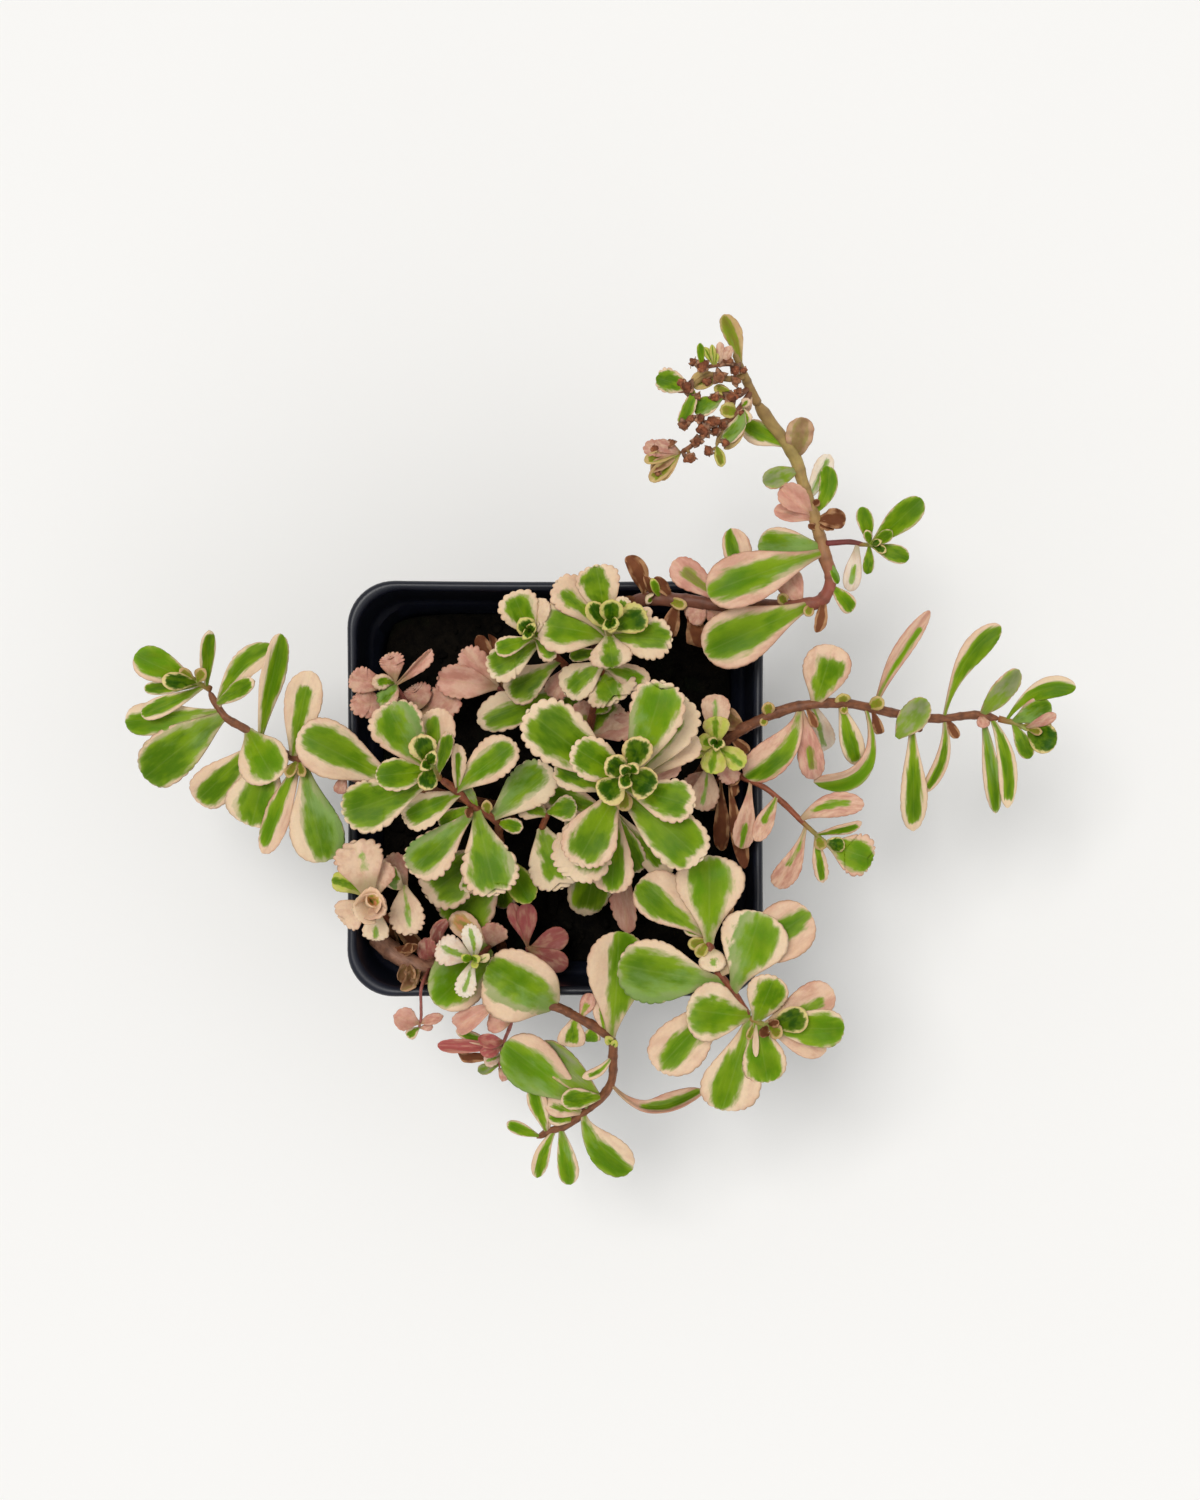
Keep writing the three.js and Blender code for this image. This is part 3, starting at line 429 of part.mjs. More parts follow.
  ["I11b","J6",[714,366,712,345],7,{"k":"Y","d":4,"g":[0.2,0,0,1],"r":-1},""],
  ["I11c","J6",[720,365,720,342],9,{"k":"C","d":3,"p":0.8,"g":[0,0,0,0],"r":4},""],
  ["I11d","J6",[722,365,731,346],10,{"k":"C","d":3,"p":0.8,"g":[0,0,0,0],"r":3},""],
  ["I11e","J6",[716,366,716,352],7,{"k":"Y","d":2,"g":[0.2,0,0,1]},""],
  ["I12a","J1",[716,376,692,385],10,{"k":"O","y":0.1,"d":1,"m":[700,370],"g":[0,0,0,0],"r":-4},""],
  ["I12b","J1",[716,386,692,382],13,{"k":"O","y":0.8,"d":0,"r":4},""],
  ["I12c","J2",[736,397,714,387],11,{"k":"O","y":0.6,"d":1,"r":7},""],
  ["I13a","J5",[717,447,722,467],12,{"k":"O","y":0.9,"d":0,"s":"e","r":-3},""],
  ["I14a","J3",[680,453,643,448],17,{"k":"P","o":0.4,"d":1,"c":0.5,"r":4},""],
  ["I14b","J3",[680,453,644,461],13,{"k":"O","y":0.1,"d":1,"c":0.5},""],
  ["I14c","J3",[680,453,650,471],16,{"k":"D","t":0.6,"d":1,"c":0.5,"r":-5},""],
  ["I14d","J3",[680,453,650,481],16,{"k":"O","y":0.1,"d":0,"c":0.5,"r":-8},""],
  ["I14e","J3",[680,453,660,480],12,{"k":"O","d":0,"c":0.4,"r":-1},""],
  ["I14f","J3",[680,453,655,443],14,{"k":"P","o":0.5,"d":2,"c":0.5,"r":-6},""]
];

// ---- dry florets of the flower head: stem, x, y, height, radius ----
const FLORETS = [
  ["J6",702,367,128.74,7.8],
  ["J6",694,363,128.48,5.6],
  ["J6",727,361,127.18,7.8],
  ["J6",735,368,125.62,6.7],
  ["J0",743,370,123.8,4.5],
  ["J1",718,377,126.14,7.8],
  ["J1",707,380,126.14,6.7],
  ["J1",735,381,124.06,5.6],
  ["J1",688,388,127.44,9],
  ["J1",681,383,127.57,6.7],
  ["J1",696,395,126.92,5.6],
  ["J2",730,398,124.32,7.8],
  ["J2",715,397,125.36,5.6],
  ["J2",738,392,123.28,4.5],
  ["J3",740,413,122.5,4.5],
  ["J3",704,431,125.36,7.8],
  ["J3",713,422,125.62,7.8],
  ["J3",698,441,124.84,6.7],
  ["J4",684,425,126.4,6.7],
  ["J4",690,419,126.4,5.6],
  ["J4",700,419,126.14,5.6],
  ["J5",724,443,125.1,5.6],
  ["J5",710,451,124.58,6.7],
  ["J3",690,456,123.54,7.8],
  ["J3",672,444,123.8,5.6],
  ["J3",655,450,123.8,6.7],
  ["J3",659,471,123.02,6.7],
  ["J5",716,432,125.1,5.6],
  ["J3",723,425,124.58,5.6]
];

// ================= solids =================
const solidOf = (positions, index) => {
  const g = new THREE.BufferGeometry();
  g.setAttribute('position', new THREE.BufferAttribute(new Float32Array(positions), 3));
  g.setIndex(index);
  const m = mergeVertices(g, 1e-4);
  return new wasm.Manifold(new wasm.Mesh({
    numProp: 3,
    vertProperties: new Float32Array(m.attributes.position.array),
    triVerts: new Uint32Array(m.index.array),
  }));
};

// skin over a row of rings with equal numbers of points, closed at both ends
const loft = (rings) => {
  const n = rings[0].length;
  const pos = [];
  const idx = [];
  for (const r of rings) for (const p of r) pos.push(p.x, p.y, p.z);
  for (let i = 0; i + 1 < rings.length; i++) {
    for (let j = 0; j < n; j++) {
      const a = i * n + j;
      const b = i * n + (j + 1) % n;
      idx.push(a, b, b + n, a, b + n, a + n);
    }
  }
  for (let j = 1; j + 1 < n; j++) {
    idx.push(0, j + 1, j);
    const o = (rings.length - 1) * n;
    idx.push(o, o + j, o + j + 1);
  }
  return solidOf(pos, idx);
};

const tidy = (m) => {
  const parts = m.decompose();
  let best = null;
  for (const p of parts) if (!best || p.volume() > best.volume()) best = p;
  return best;
};

// ---- stems ----
const stemTable = {};
for (const [name, piece, r0, r1, kind, pts] of STEMS) {
  const v = pts.map((p) => at(...p));
  const curve = new THREE.CatmullRomCurve3(v, false, 'centripetal');
  const dense = [];
  const N = v.length * 12;
  for (let i = 0; i <= N; i++) dense.push(curve.getPoint(i / N));
  stemTable[name] = { name, piece, r0, r1, kind, pts, v, curve, dense };
}

const tube = (s, grow) => {
  // rings follow the bends: more where the course turns
  const len = s.curve.getLength();
  const steps = Math.max(2, Math.min(14, Math.round(len / 9)));
  const rings = [];
  let n = null;
  for (let i = 0; i <= steps; i++) {
    const u = i / steps;
    const t = s.curve.getTangentAt(u).normalize();
    const c = s.curve.getPointAt(u);
    if (!n) n = Math.abs(t.z) < 0.9 ? new THREE.Vector3(0, 0, 1) : new THREE.Vector3(1, 0, 0);
    n = n.clone().addScaledVector(t, -n.dot(t)).normalize();
    const b = new THREE.Vector3().crossVectors(t, n);
    const r = s.r0 + (s.r1 - s.r0) * u + grow;
    if (i === 0) c.addScaledVector(t, -grow);
    if (i === steps) c.addScaledVector(t, grow);
    const ring = [];
    for (let j = 0; j < STEM_SIDES; j++) {
      const a = j / STEM_SIDES * Math.PI * 2;
      ring.push(c.clone().addScaledVector(n, Math.cos(a) * r).addScaledVector(b, Math.sin(a) * r));
    }
    rings.push(ring);
  }
  return loft(rings);
};

// ---- leaves ----
const OUTLINE = {
  o: { b: 0.20, tm: 0.66, q: 1.25 },
  s: { b: 0.15, tm: 0.70, q: 1.70 },
  r: { b: 0.24, tm: 0.55, q: 0.90 },
  e: { b: 0.18, tm: 0.52, q: 1.10 },
};
const halfWidth = (o, e, t) => {
  const tm = e + (1 - e) * o.tm;
  if (t <= tm) return o.b + (1 - o.b) * Math.sin(Math.PI / 2 * Math.pow(t / tm, o.q * (1 + e)));
  return Math.sqrt(Math.max(0, 1 - Math.pow((t - tm) / (1 - tm), 2.3)));
};

// the point of the stem that carries a leaf's foot
const footOn = (s, gx, gy, z) => {
  let best = null;
  let cost = Infinity;
  for (const p of s.dense) {
    const q = at(gx, gy, p.z);
    let c = (q.x - p.x) ** 2 + (q.y - p.y) ** 2;
    if (z !== undefined) c += (1.2 * (p.z - z)) ** 2;
    if (c < cost) { cost = c; best = p; }
  }
  return best.clone();
};

const midrib = (leaf) => {
  const [, stemName, [bx, by, tx, ty], , o] = leaf;
  const foot = footOn(stemTable[stemName], bx, by, o.z);
  // a leaf that lies over its stem starts beside it
  if (o.v) foot.copy(at(bx, by, foot.z + o.v));
  const zb = foot.z;
  const zt = zb + (o.d === undefined ? 1 : o.d);
  const b0 = at(bx, by, zb);
  const tip = at(tx, ty, zt);
  const e0 = foot.distanceTo(b0);
  const e = e0 / (e0 + b0.distanceTo(tip));
  const len = foot.distanceTo(tip);
  const arch = o.a === undefined ? 0.07 * len : o.a;
  const bend = o.m ? at(o.m[0], o.m[1], (zb + zt) / 2)
    : b0.clone().lerp(tip, Math.max(0, 0.5 - e) / (1 - e));
  bend.z = (zb + zt) / 2 + arch * 2;
  return { foot, tip, bend, e: Math.min(0.6, e), len };
};

const leafSolid = (leaf, grow) => {
  const o = leaf[4];
  const { foot, tip, bend, e, len } = midrib(leaf);
  const curve = new THREE.QuadraticBezierCurve3(foot, bend, tip);
  const shape = OUTLINE[o.s || 'o'];
  const w = leaf[3] * scaleAt((foot.z + tip.z) / 2) / 2;
  const cup = o.c === undefined ? 0.12 : o.c;
  const fold = o.f || 0;
  const at5 = len < 13 ? [0, 0.6, 1] : [0, 0.4, 0.78, 1];
  const rings = [];
  for (const t of at5) {
    const u = t === 1 && grow ? 1 : t;
    const p = curve.getPoint(u);
    const d = curve.getTangent(Math.min(u, 0.999)).normalize();
    let n = new THREE.Vector3(0, 0, 1).addScaledVector(d, -d.z);
    if (n.length() < 0.05) n = new THREE.Vector3(1, 0, 0);
    n.normalize();
    const roll = ((o.r || 0) + (o.tw || 0) * (t - 0.5)) * Math.PI / 180;
    n.applyAxisAngle(d, roll);
    const side = new THREE.Vector3().crossVectors(d, n);
    const hw = w * (t === 1 ? 0.42 : Math.max(halfWidth(shape, e, t), 0.0)) + grow;
    const th = LEAF_T / 2 * (t === 1 ? 0.8 : 1) + grow;
    const lift = (cup + fold) * hw;
    if (t === 1) p.addScaledVector(d, grow);
    if (t === 0) p.addScaledVector(d, -grow);
    if (len < 13) {
      rings.push([
        p.clone().addScaledVector(side, hw).addScaledVector(n, th * 0.8 + lift),
        p.clone().addScaledVector(n, -th * 1.2),
        p.clone().addScaledVector(side, -hw).addScaledVector(n, th * 0.8 + lift),
      ]);
      continue;
    }
    rings.push([
      p.clone().addScaledVector(n, th + Math.max(0, lift * 0.15)),
      p.clone().addScaledVector(side, hw).addScaledVector(n, lift),
      p.clone().addScaledVector(n, -th),
      p.clone().addScaledVector(side, -hw).addScaledVector(n, lift),
    ]);
  }
  return loft(rings);
};

// ---- florets: a faceted boss on a short stalk ----
const floret = ([stemName, gx, gy, z, r], grow) => {
  const c = at(gx, gy, z);
  const f = footOn(stemTable[stemName], gx, gy, z);
  const R = r * scaleAt(z) + grow;
  const up = c.clone().sub(f);
  const L = Math.max(up.length(), 0.2);
  const d = up.length() > 0.15 ? up.clone().normalize() : new THREE.Vector3(0, 0, 1);
  const n = Math.abs(d.z) < 0.9 ? new THREE.Vector3(0, 0, 1).addScaledVector(d, -d.z).normalize() : new THREE.Vector3(1, 0, 0).addScaledVector(d, -d.x).normalize();
  const b = new THREE.Vector3().crossVectors(d, n);
  const ring = (s, rr) => [0, 1, 2, 3].map((j) => f.clone().addScaledVector(d, s)
    .addScaledVector(n, Math.cos(j * Math.PI / 2) * rr).addScaledVector(b, Math.sin(j * Math.PI / 2) * rr));
  return loft([ring(-0.1 - grow, 0.35 + grow), ring(L + 0.1, R), ring(L + R * 0.7 + 0.2, R * 0.5)]);
};

// ================= pot =================
const squareRing = (half, r, z, k = 4) => {
  const pts = [];
  for (let q = 0; q < 4; q++) {
    const cx = (q === 0 || q === 3 ? 1 : -1) * (half - r);
    const cy = (q < 2 ? 1 : -1) * (half - r);
    for (let i = 0; i <= k; i++) {
      const a = (q + i / k) * Math.PI / 2;
      pts.push(new THREE.Vector3(cx + r * Math.cos(a), cy + r * Math.sin(a), z));
    }
  }
  return pts;
};
const rim = POT_RIM / 2;
const base = POT_BASE / 2;
const zc = POT_HEIGHT - COLLAR_DROP;
const collarIn = rim - 2.2;
const rad = (half) => Math.max(3, CORNER_R - (rim - half) * 0.25);
const R = (half, z) => squareRing(half, rad(half), z);
const outerRings = (g) => [
  R(base - 1 + g, 0 - g), R(base + g, 1.0), R(collarIn - COLLAR_STEP + g, zc - 1), R(collarIn + g, zc),
  R(rim - 0.9 + g, POT_HEIGHT - 3), R(rim + g, POT_HEIGHT - 2.3), R(rim + g, POT_HEIGHT - 0.8),
  R(rim - 0.6 + g, POT_HEIGHT + g),
];
const innerAt = (g) => [
  R(base - WALL - 0.6 - g, FLOOR + g), R(collarIn - COLLAR_STEP - WALL - g, zc - 1 + (g ? g : 0)), R(collarIn - WALL - g, zc + g),
  R(rim - 0.9 - WALL - g, POT_HEIGHT - 2.4), R(rim - 1.9 - g, POT_HEIGHT - 0.5), R(rim - 1.5 - g, POT_HEIGHT + 1),
];
const drains = [];
for (const [sx, sy] of [[1, 1], [-1, 1], [-1, -1], [1, -1]]) {
  const c = new THREE.CylinderGeometry(DRAIN_D / 2, DRAIN_D / 2, FLOOR + 4, 12);
  c.rotateX(Math.PI / 2);
  c.translate(sx * DRAIN_OFF, sy * DRAIN_OFF, FLOOR / 2);
  c.deleteAttribute('normal');
  c.deleteAttribute('uv');
  const m = mergeVertices(c, 1e-4);
  drains.push(solidOf([...m.attributes.position.array], [...m.index.array]));
}
let potSolid = loft(outerRings(0)).subtract(loft(innerAt(0)));
for (const d of drains) potSolid = potSolid.subtract(d);
const potGrown = loft(outerRings(GAP)).subtract(loft(innerAt(GAP)));

// ================= pieces =================
const pieces = new Map();     // name -> { parts: [{ solid, grown }], colour, rough }
const put = (name, make, colour, rough) => {
  if (!pieces.has(name)) pieces.set(name, { parts: [], colour, rough });
  pieces.get(name).parts.push({ solid: make(0), grown: make(GAP) });
};
const BARK = { b: 0x6b3d27, r: 0x8a4427, p: 0xa4605a, w: 0x75523f, g: 0x7d8a4a, t: 0xa58f4c, d: 0x6f4026, m: 0x7c3836, f: 0x8d6a44 };
for (const s of Object.values(stemTable)) put(s.piece, (g) => tube(s, g), BARK[s.kind], 0.75);
const LEAFC = { N: 0x86a548, G: 0x5f8f1f, C: 0xe2cba6, P: 0xc99a88, R: 0x96504a, W: 0xdcdcc0, Y: 0xb5c45a, K: 0x4f7f22, U: 0x8b9465, O: 0x94703f, D: 0x8d5a3a, H: 0xe0a27c };
for (const leaf of LEAVES) {
  const least = 'ODKH'.includes(leaf[4].k || 'N') ? LEAST_LEAF * 1.35 : LEAST_LEAF;
  if (midrib(leaf).len < (leaf[1][0] === 'J' ? 6 : least)) continue;
  const name = leaf[5] || stemTable[leaf[1]].piece;
  put(name, (g) => leafSolid(leaf, g), LEAFC[leaf[4].k || 'N'], 0.55);
}
for (const f of FLORETS) if (f[4] > 6) put('flower_head', (g) => floret(f, g), BARK.d, 0.85);

// join the parts of a piece, keep it clear of the pieces made before it
const boxOf = (m) => { const b = m.boundingBox(); return b; };
const apart = (a, b) => a.max[0] < b.min[0] || b.max[0] < a.min[0] || a.max[1] < b.min[1]
  || b.max[1] < a.min[1] || a.max[2] < b.min[2] || b.max[2] < a.min[2];
const made = [];
const finish = (name, solid) => {
  let m = solid;
  let box = boxOf(m);
  for (const other of made) {
    for (const part of other.grown) {
      if (apart(box, part.box)) continue;
      m = m.subtract(part.grown);
    }
  }
  return tidy(m);
};

const group = new THREE.Group();
const show = (name, solid, colour, rough) => {
  const mesh = solid.getMesh();
  const g = new THREE.BufferGeometry();
  const np = mesh.numProp;
  const count = mesh.vertProperties.length / np;
  const pos = new Float32Array(count * 3);
  for (let i = 0; i < count; i++) {
    pos[3 * i] = mesh.vertProperties[np * i];
    pos[3 * i + 1] = mesh.vertProperties[np * i + 1];
    pos[3 * i + 2] = mesh.vertProperties[np * i + 2];
  }
  g.setAttribute('position', new THREE.BufferAttribute(pos, 3));
  g.setIndex(new THREE.BufferAttribute(new Uint32Array(mesh.triVerts), 1));
  g.computeVertexNormals();
  const out = new THREE.Mesh(g, new THREE.MeshStandardMaterial({ color: colour, roughness: rough, metalness: 0 }));
  out.name = name;
  group.add(out);
};

show('pot', potSolid, 0x14161c, 0.45);
made.push({ name: 'pot', grown: [{ grown: potGrown, box: boxOf(potGrown) }] });

const order = [...pieces.keys()];
for (const name of order) {
  const p = pieces.get(name);
  let solid = p.parts[0].solid;
  for (let i = 1; i < p.parts.length; i++) solid = solid.add(p.parts[i].solid);
  solid = finish(name, solid);
  show(name, solid, p.colour, p.rough);
  made.push({ name, grown: p.parts.map((q) => ({ grown: q.grown, box: boxOf(q.grown) })) });
}

// the potting mix fills the pot's inside up to a low mound, round the stems' feet
const mixIn = (half, z) => squareRing(half, rad(half), z);
const wallIn = (z) => (base - WALL - 0.6) + (collarIn - COLLAR_STEP - base + 0.6) * (z - FLOOR) / (zc - 1 - FLOOR) - GAP - 0.05;
let mix = loft([mixIn(wallIn(FLOOR + GAP), FLOOR + GAP), mixIn(wallIn(MIX_TOP - 1.5), MIX_TOP - 1.5),
  mixIn(wallIn(MIX_TOP) - 3, MIX_TOP - 0.4), mixIn(wallIn(MIX_TOP) - 16, MIX_TOP + 0.6)]);
const mixBox = boxOf(mix);
for (const other of made.slice(1)) {
  for (const part of other.grown) if (!apart(mixBox, part.box)) mix = mix.subtract(part.grown);
}
show('potting_mix', tidy(mix), 0x1c1410, 0.95);

export default group;
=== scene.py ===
# Potted variegated stonecrop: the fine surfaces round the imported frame.
# Metres in Blender; the tables and the helpers below work in millimetres.
import math
import random

import bmesh
import bpy
import numpy as np
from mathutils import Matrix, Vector, noise


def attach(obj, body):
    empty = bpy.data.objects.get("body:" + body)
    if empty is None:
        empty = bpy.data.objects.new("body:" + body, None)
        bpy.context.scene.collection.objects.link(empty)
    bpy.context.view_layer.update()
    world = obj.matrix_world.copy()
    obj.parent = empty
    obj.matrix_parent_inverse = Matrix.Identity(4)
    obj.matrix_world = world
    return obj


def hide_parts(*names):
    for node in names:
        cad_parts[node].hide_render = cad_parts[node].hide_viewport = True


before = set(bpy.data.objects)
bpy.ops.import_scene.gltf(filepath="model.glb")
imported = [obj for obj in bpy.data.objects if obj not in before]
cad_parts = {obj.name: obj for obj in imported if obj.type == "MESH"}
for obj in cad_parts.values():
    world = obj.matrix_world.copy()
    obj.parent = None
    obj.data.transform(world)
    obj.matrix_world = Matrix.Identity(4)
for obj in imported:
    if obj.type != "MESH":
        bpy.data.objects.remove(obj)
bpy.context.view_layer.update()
random.seed(7)
MM = 0.001

# ---------------------------------------------------------------- layout grid
POT_RIM = 100.0
POT_HEIGHT = 90.0
POT_BASE = 72.0
UNIT = POT_RIM / 418
EYE = 600.0
MIDX, MIDY = 555.3, 788.7
AX, AY = 10.70, 9.25


def at(gx, gy, z):
    f = (POT_HEIGHT + EYE - z) / EYE
    return np.array([AX + ((gx - MIDX) * UNIT - AX) * f, AY - ((gy - MIDY) * UNIT + AY) * f, z])


def scale_at(z):
    return UNIT * (POT_HEIGHT + EYE - z) / EYE


# stems: name, piece, radius at the foot and at the tip, kind, course [x, y, height]
STEMS = [
  ["SA","left_rosette_stem",1.05,0.9,"r",[[505,876,64],[503,856,80],[499,836,91.3],[496,820,100.4],[475,808,104.3],[458,792,108.85],[441,779,114.05]]],
  ["Ac","left_rosette_leaves",0.9,0.6,"g",[[437.5,776,116],[432,768,120.55],[429,763,123.8]]],
  ["SL","left_branch_stem",1.2,0.9,"b",[[512,816,64],[498,806,80],[470,800,89.5],[430,791,95.2],[395,784,97.8],[378,780,99.1],[357,778,99.75],[335,772,99.1],[312,765,97.15],[300,761,96.24],[270,745,93.25],[242,727,91.3],[225,717,90],[215,702,89.7],[209,691,90]]],
  ["LTc","left_branch_tip",0.8,0.5,"g",[[207,687.5,90.39],[200,684,92.34],[193,680,94.68]]],
  ["SR","centre_stem",1.2,1,"r",[[598,834,64],[604,820,84],[611,804,101.7]]],
  ["Rc","centre_rosette",1.1,0.7,"g",[[612.5,801.5,104.3],[620,787,118.6],[626,776,130.3],[629,771,134.85]]],
  ["ST1","top_rosette_stem",1,0.85,"r",[[588,752,64],[591,722,84],[600,680,97.8],[606,648,104.3]]],
  ["T1c","top_rosette",0.85,0.6,"g",[[607,645,105.99],[610,630,114.7],[611,622,119.25]]],
  ["ST2","top_left_rosette_stem",0.95,0.8,"r",[[588,704,64],[578,686,80],[562,662,92.6],[545,647,101.05]]],
  ["T2c","top_left_rosette",0.8,0.6,"g",[[542,644.5,102.48],[534,635,110.8],[530,630,116]]],
  ["SB","middle_shoot_stem",0.9,0.7,"r",[[532,862,64],[536,848,80],[542,828,93.9],[548,812,99.1]]],
  ["SY","yellow_shoot_stem",0.8,0.7,"r",[[690,802,64],[703,779,80],[711,759,92.6]]],
  ["Yc","yellow_rosette",0.7,0.5,"g",[[711.6,757,93.9],[715,748,101.7],[717,743,106.9]]],
  ["SF","flowering_stem",1.7,1.35,"f",[[596,650,64],[612,628,82],[640,600,94.55],[680,600,97.8],[705,603,99.1],[760,606,100.4],[800,605,100.4],[822,600,101.7],[831,580,103],[825,556,104.3],[821,540,104.3],[815,520,105.6],[805,490,106.9],[795,458,108.85],[780,435,111.45],[765,415,114.7],[756,401,117.3]]],
  ["SS","side_shoot",0.7,0.55,"m",[[826,543.5,104.95],[850,542,105.6],[866,545,106.9]]],
  ["SSc","side_shoot",0.6,0.4,"g",[[862,544.5,106.64],[868,545,107.94],[873,545,110.8]]],
  ["SH","right_branch_stem",1.45,0.95,"b",[[690,792,64],[704,768,80],[724,743,91.95],[734,734,95.2],[771,715,99.1],[795,707,100.4],[827,703,100.4],[851,704,97.8],[889,712,94.68],[921,718,91.95],[948,718,90],[975,715,88.6],[1000,719,88]]],
  ["SHc","right_branch_tip",0.8,0.55,"g",[[1003,720,88],[1015,723,88.6],[1030,731,90]]],
  ["S8","lower_right_side_shoot",0.8,0.65,"r",[[700,806,64],[716,782,80],[732,774,91.3],[747,779,95.2],[768,790,97.8],[806,825,97.8]]],
  ["S8c","lower_right_side_shoot",0.65,0.4,"g",[[803,822.5,97.8],[818,836,99.1],[832,846,101.7]]],
  ["S9","lower_right_branch_stem",1.15,0.85,"r",[[655,884,64],[672,896,84],[688,912,97.8],[698,925,101.7],[708,942,104.3],[716,970,104.95],[726,983,104.3],[739,1001,103.65],[750,1017,103]]],
  ["S9c","lower_right_branch_tip",0.85,0.6,"g",[[752,1019.5,103],[762,1024,104.3],[772,1026,106.25]]],
  ["S10","bottom_branch_stem",1.3,0.95,"b",[[500,942,64],[512,978,88],[527,998,95.85],[555,1006,94.55],[575,1016,92.6],[595,1027,91.3],[611,1039,89],[613,1057,87],[611,1083,84.5],[601,1098,82.5],[583,1113,80],[565,1126,78],[550,1131,77],[537,1138,76]]],
  ["S11","pink_shoot_stem",0.45,0.35,"p",[[440,950,64],[430,968,82],[424,980,92.6],[421,990,94.29],[421,1003,91.3],[421,1018,85],[419,1028,81]]],
  ["S12","lower_pink_shoot_stem",0.6,0.45,"p",[[478,938,64],[484,980,86],[492,996,93.64],[505,1010,92.6],[511,1021,89],[504,1042,83],[499,1068,76]]],
  ["S14","old_woody_stem",2.3,1.9,"w",[[375,938,79],[384,944,80],[397,955,81.5],[412,963,82],[425,970,82],[438,964,77],[448,950,64]]],
  ["SC","corner_rosette_stem",0.9,0.75,"r",[[404,934,64],[390,920,80],[377,908,90]]],
  ["Cc","corner_rosette",0.75,0.5,"g",[[376,907,91.3],[372,903,96.5],[371,901,100.4]]],
  ["SC2","corner_side_shoot",0.75,0.6,"r",[[420,910,64],[410,897,80],[404,886,90]]],
  ["SLP","upper_left_pink_stem",0.75,0.6,"p",[[432,738,64],[414,714,78],[401,695,85.5],[394,684,89]]],
  ["SPK","pink_shoot_middle_stem",0.75,0.6,"p",[[520,712,64],[508,698,76],[496,686,82.5]]],
  ["SD","white_rosette_stem",0.75,0.6,"r",[[498,934,64],[488,948,84],[478,958,96.5]]],
  ["Dc","white_rosette",0.6,0.45,"g",[[476.5,959.3,97.8],[473,959,103]]],
  ["SP","deep_pink_shoot_stem",0.6,0.5,"p",[[532,946,64],[529,955,72],[527,946,76]]],
  ["J0","flower_head",1.15,0.7,"t",[[755.4,399,117.82],[749,387,119.9],[745,376,121.85],[740,366,123.8],[734,352,125.75]]],
  ["J1","flower_head",0.85,0.5,"t",[[745,376,121.85],[730,379,123.54],[712,375,125.36],[698,381,126.4],[689,389,126.92]]],
  ["J2","flower_head",0.65,0.45,"d",[[749,387,119.9],[738,396,122.24],[724,398,123.8],[710,394,125.1]]],
  ["J3","flower_head",0.75,0.5,"d",[[751,391,119.12],[740,408,121.98],[728,420,123.28],[712,425,124.32],[700,438,124.06],[690,447,123.28],[680,453,122.5]]],
  ["J4","flower_head",0.5,0.35,"d",[[712,425,124.32],[700,420,125.36],[690,419,125.88],[682,427,125.88]]],
  ["J5","flower_head",0.5,0.4,"t",[[728,420,123.28],[720,434,124.06],[716,448,124.32]]],
  ["J6","flower_head",0.6,0.4,"d",[[740,366,123.8],[727,364,126.4],[712,366,127.7],[701,368,128.48]]]
]

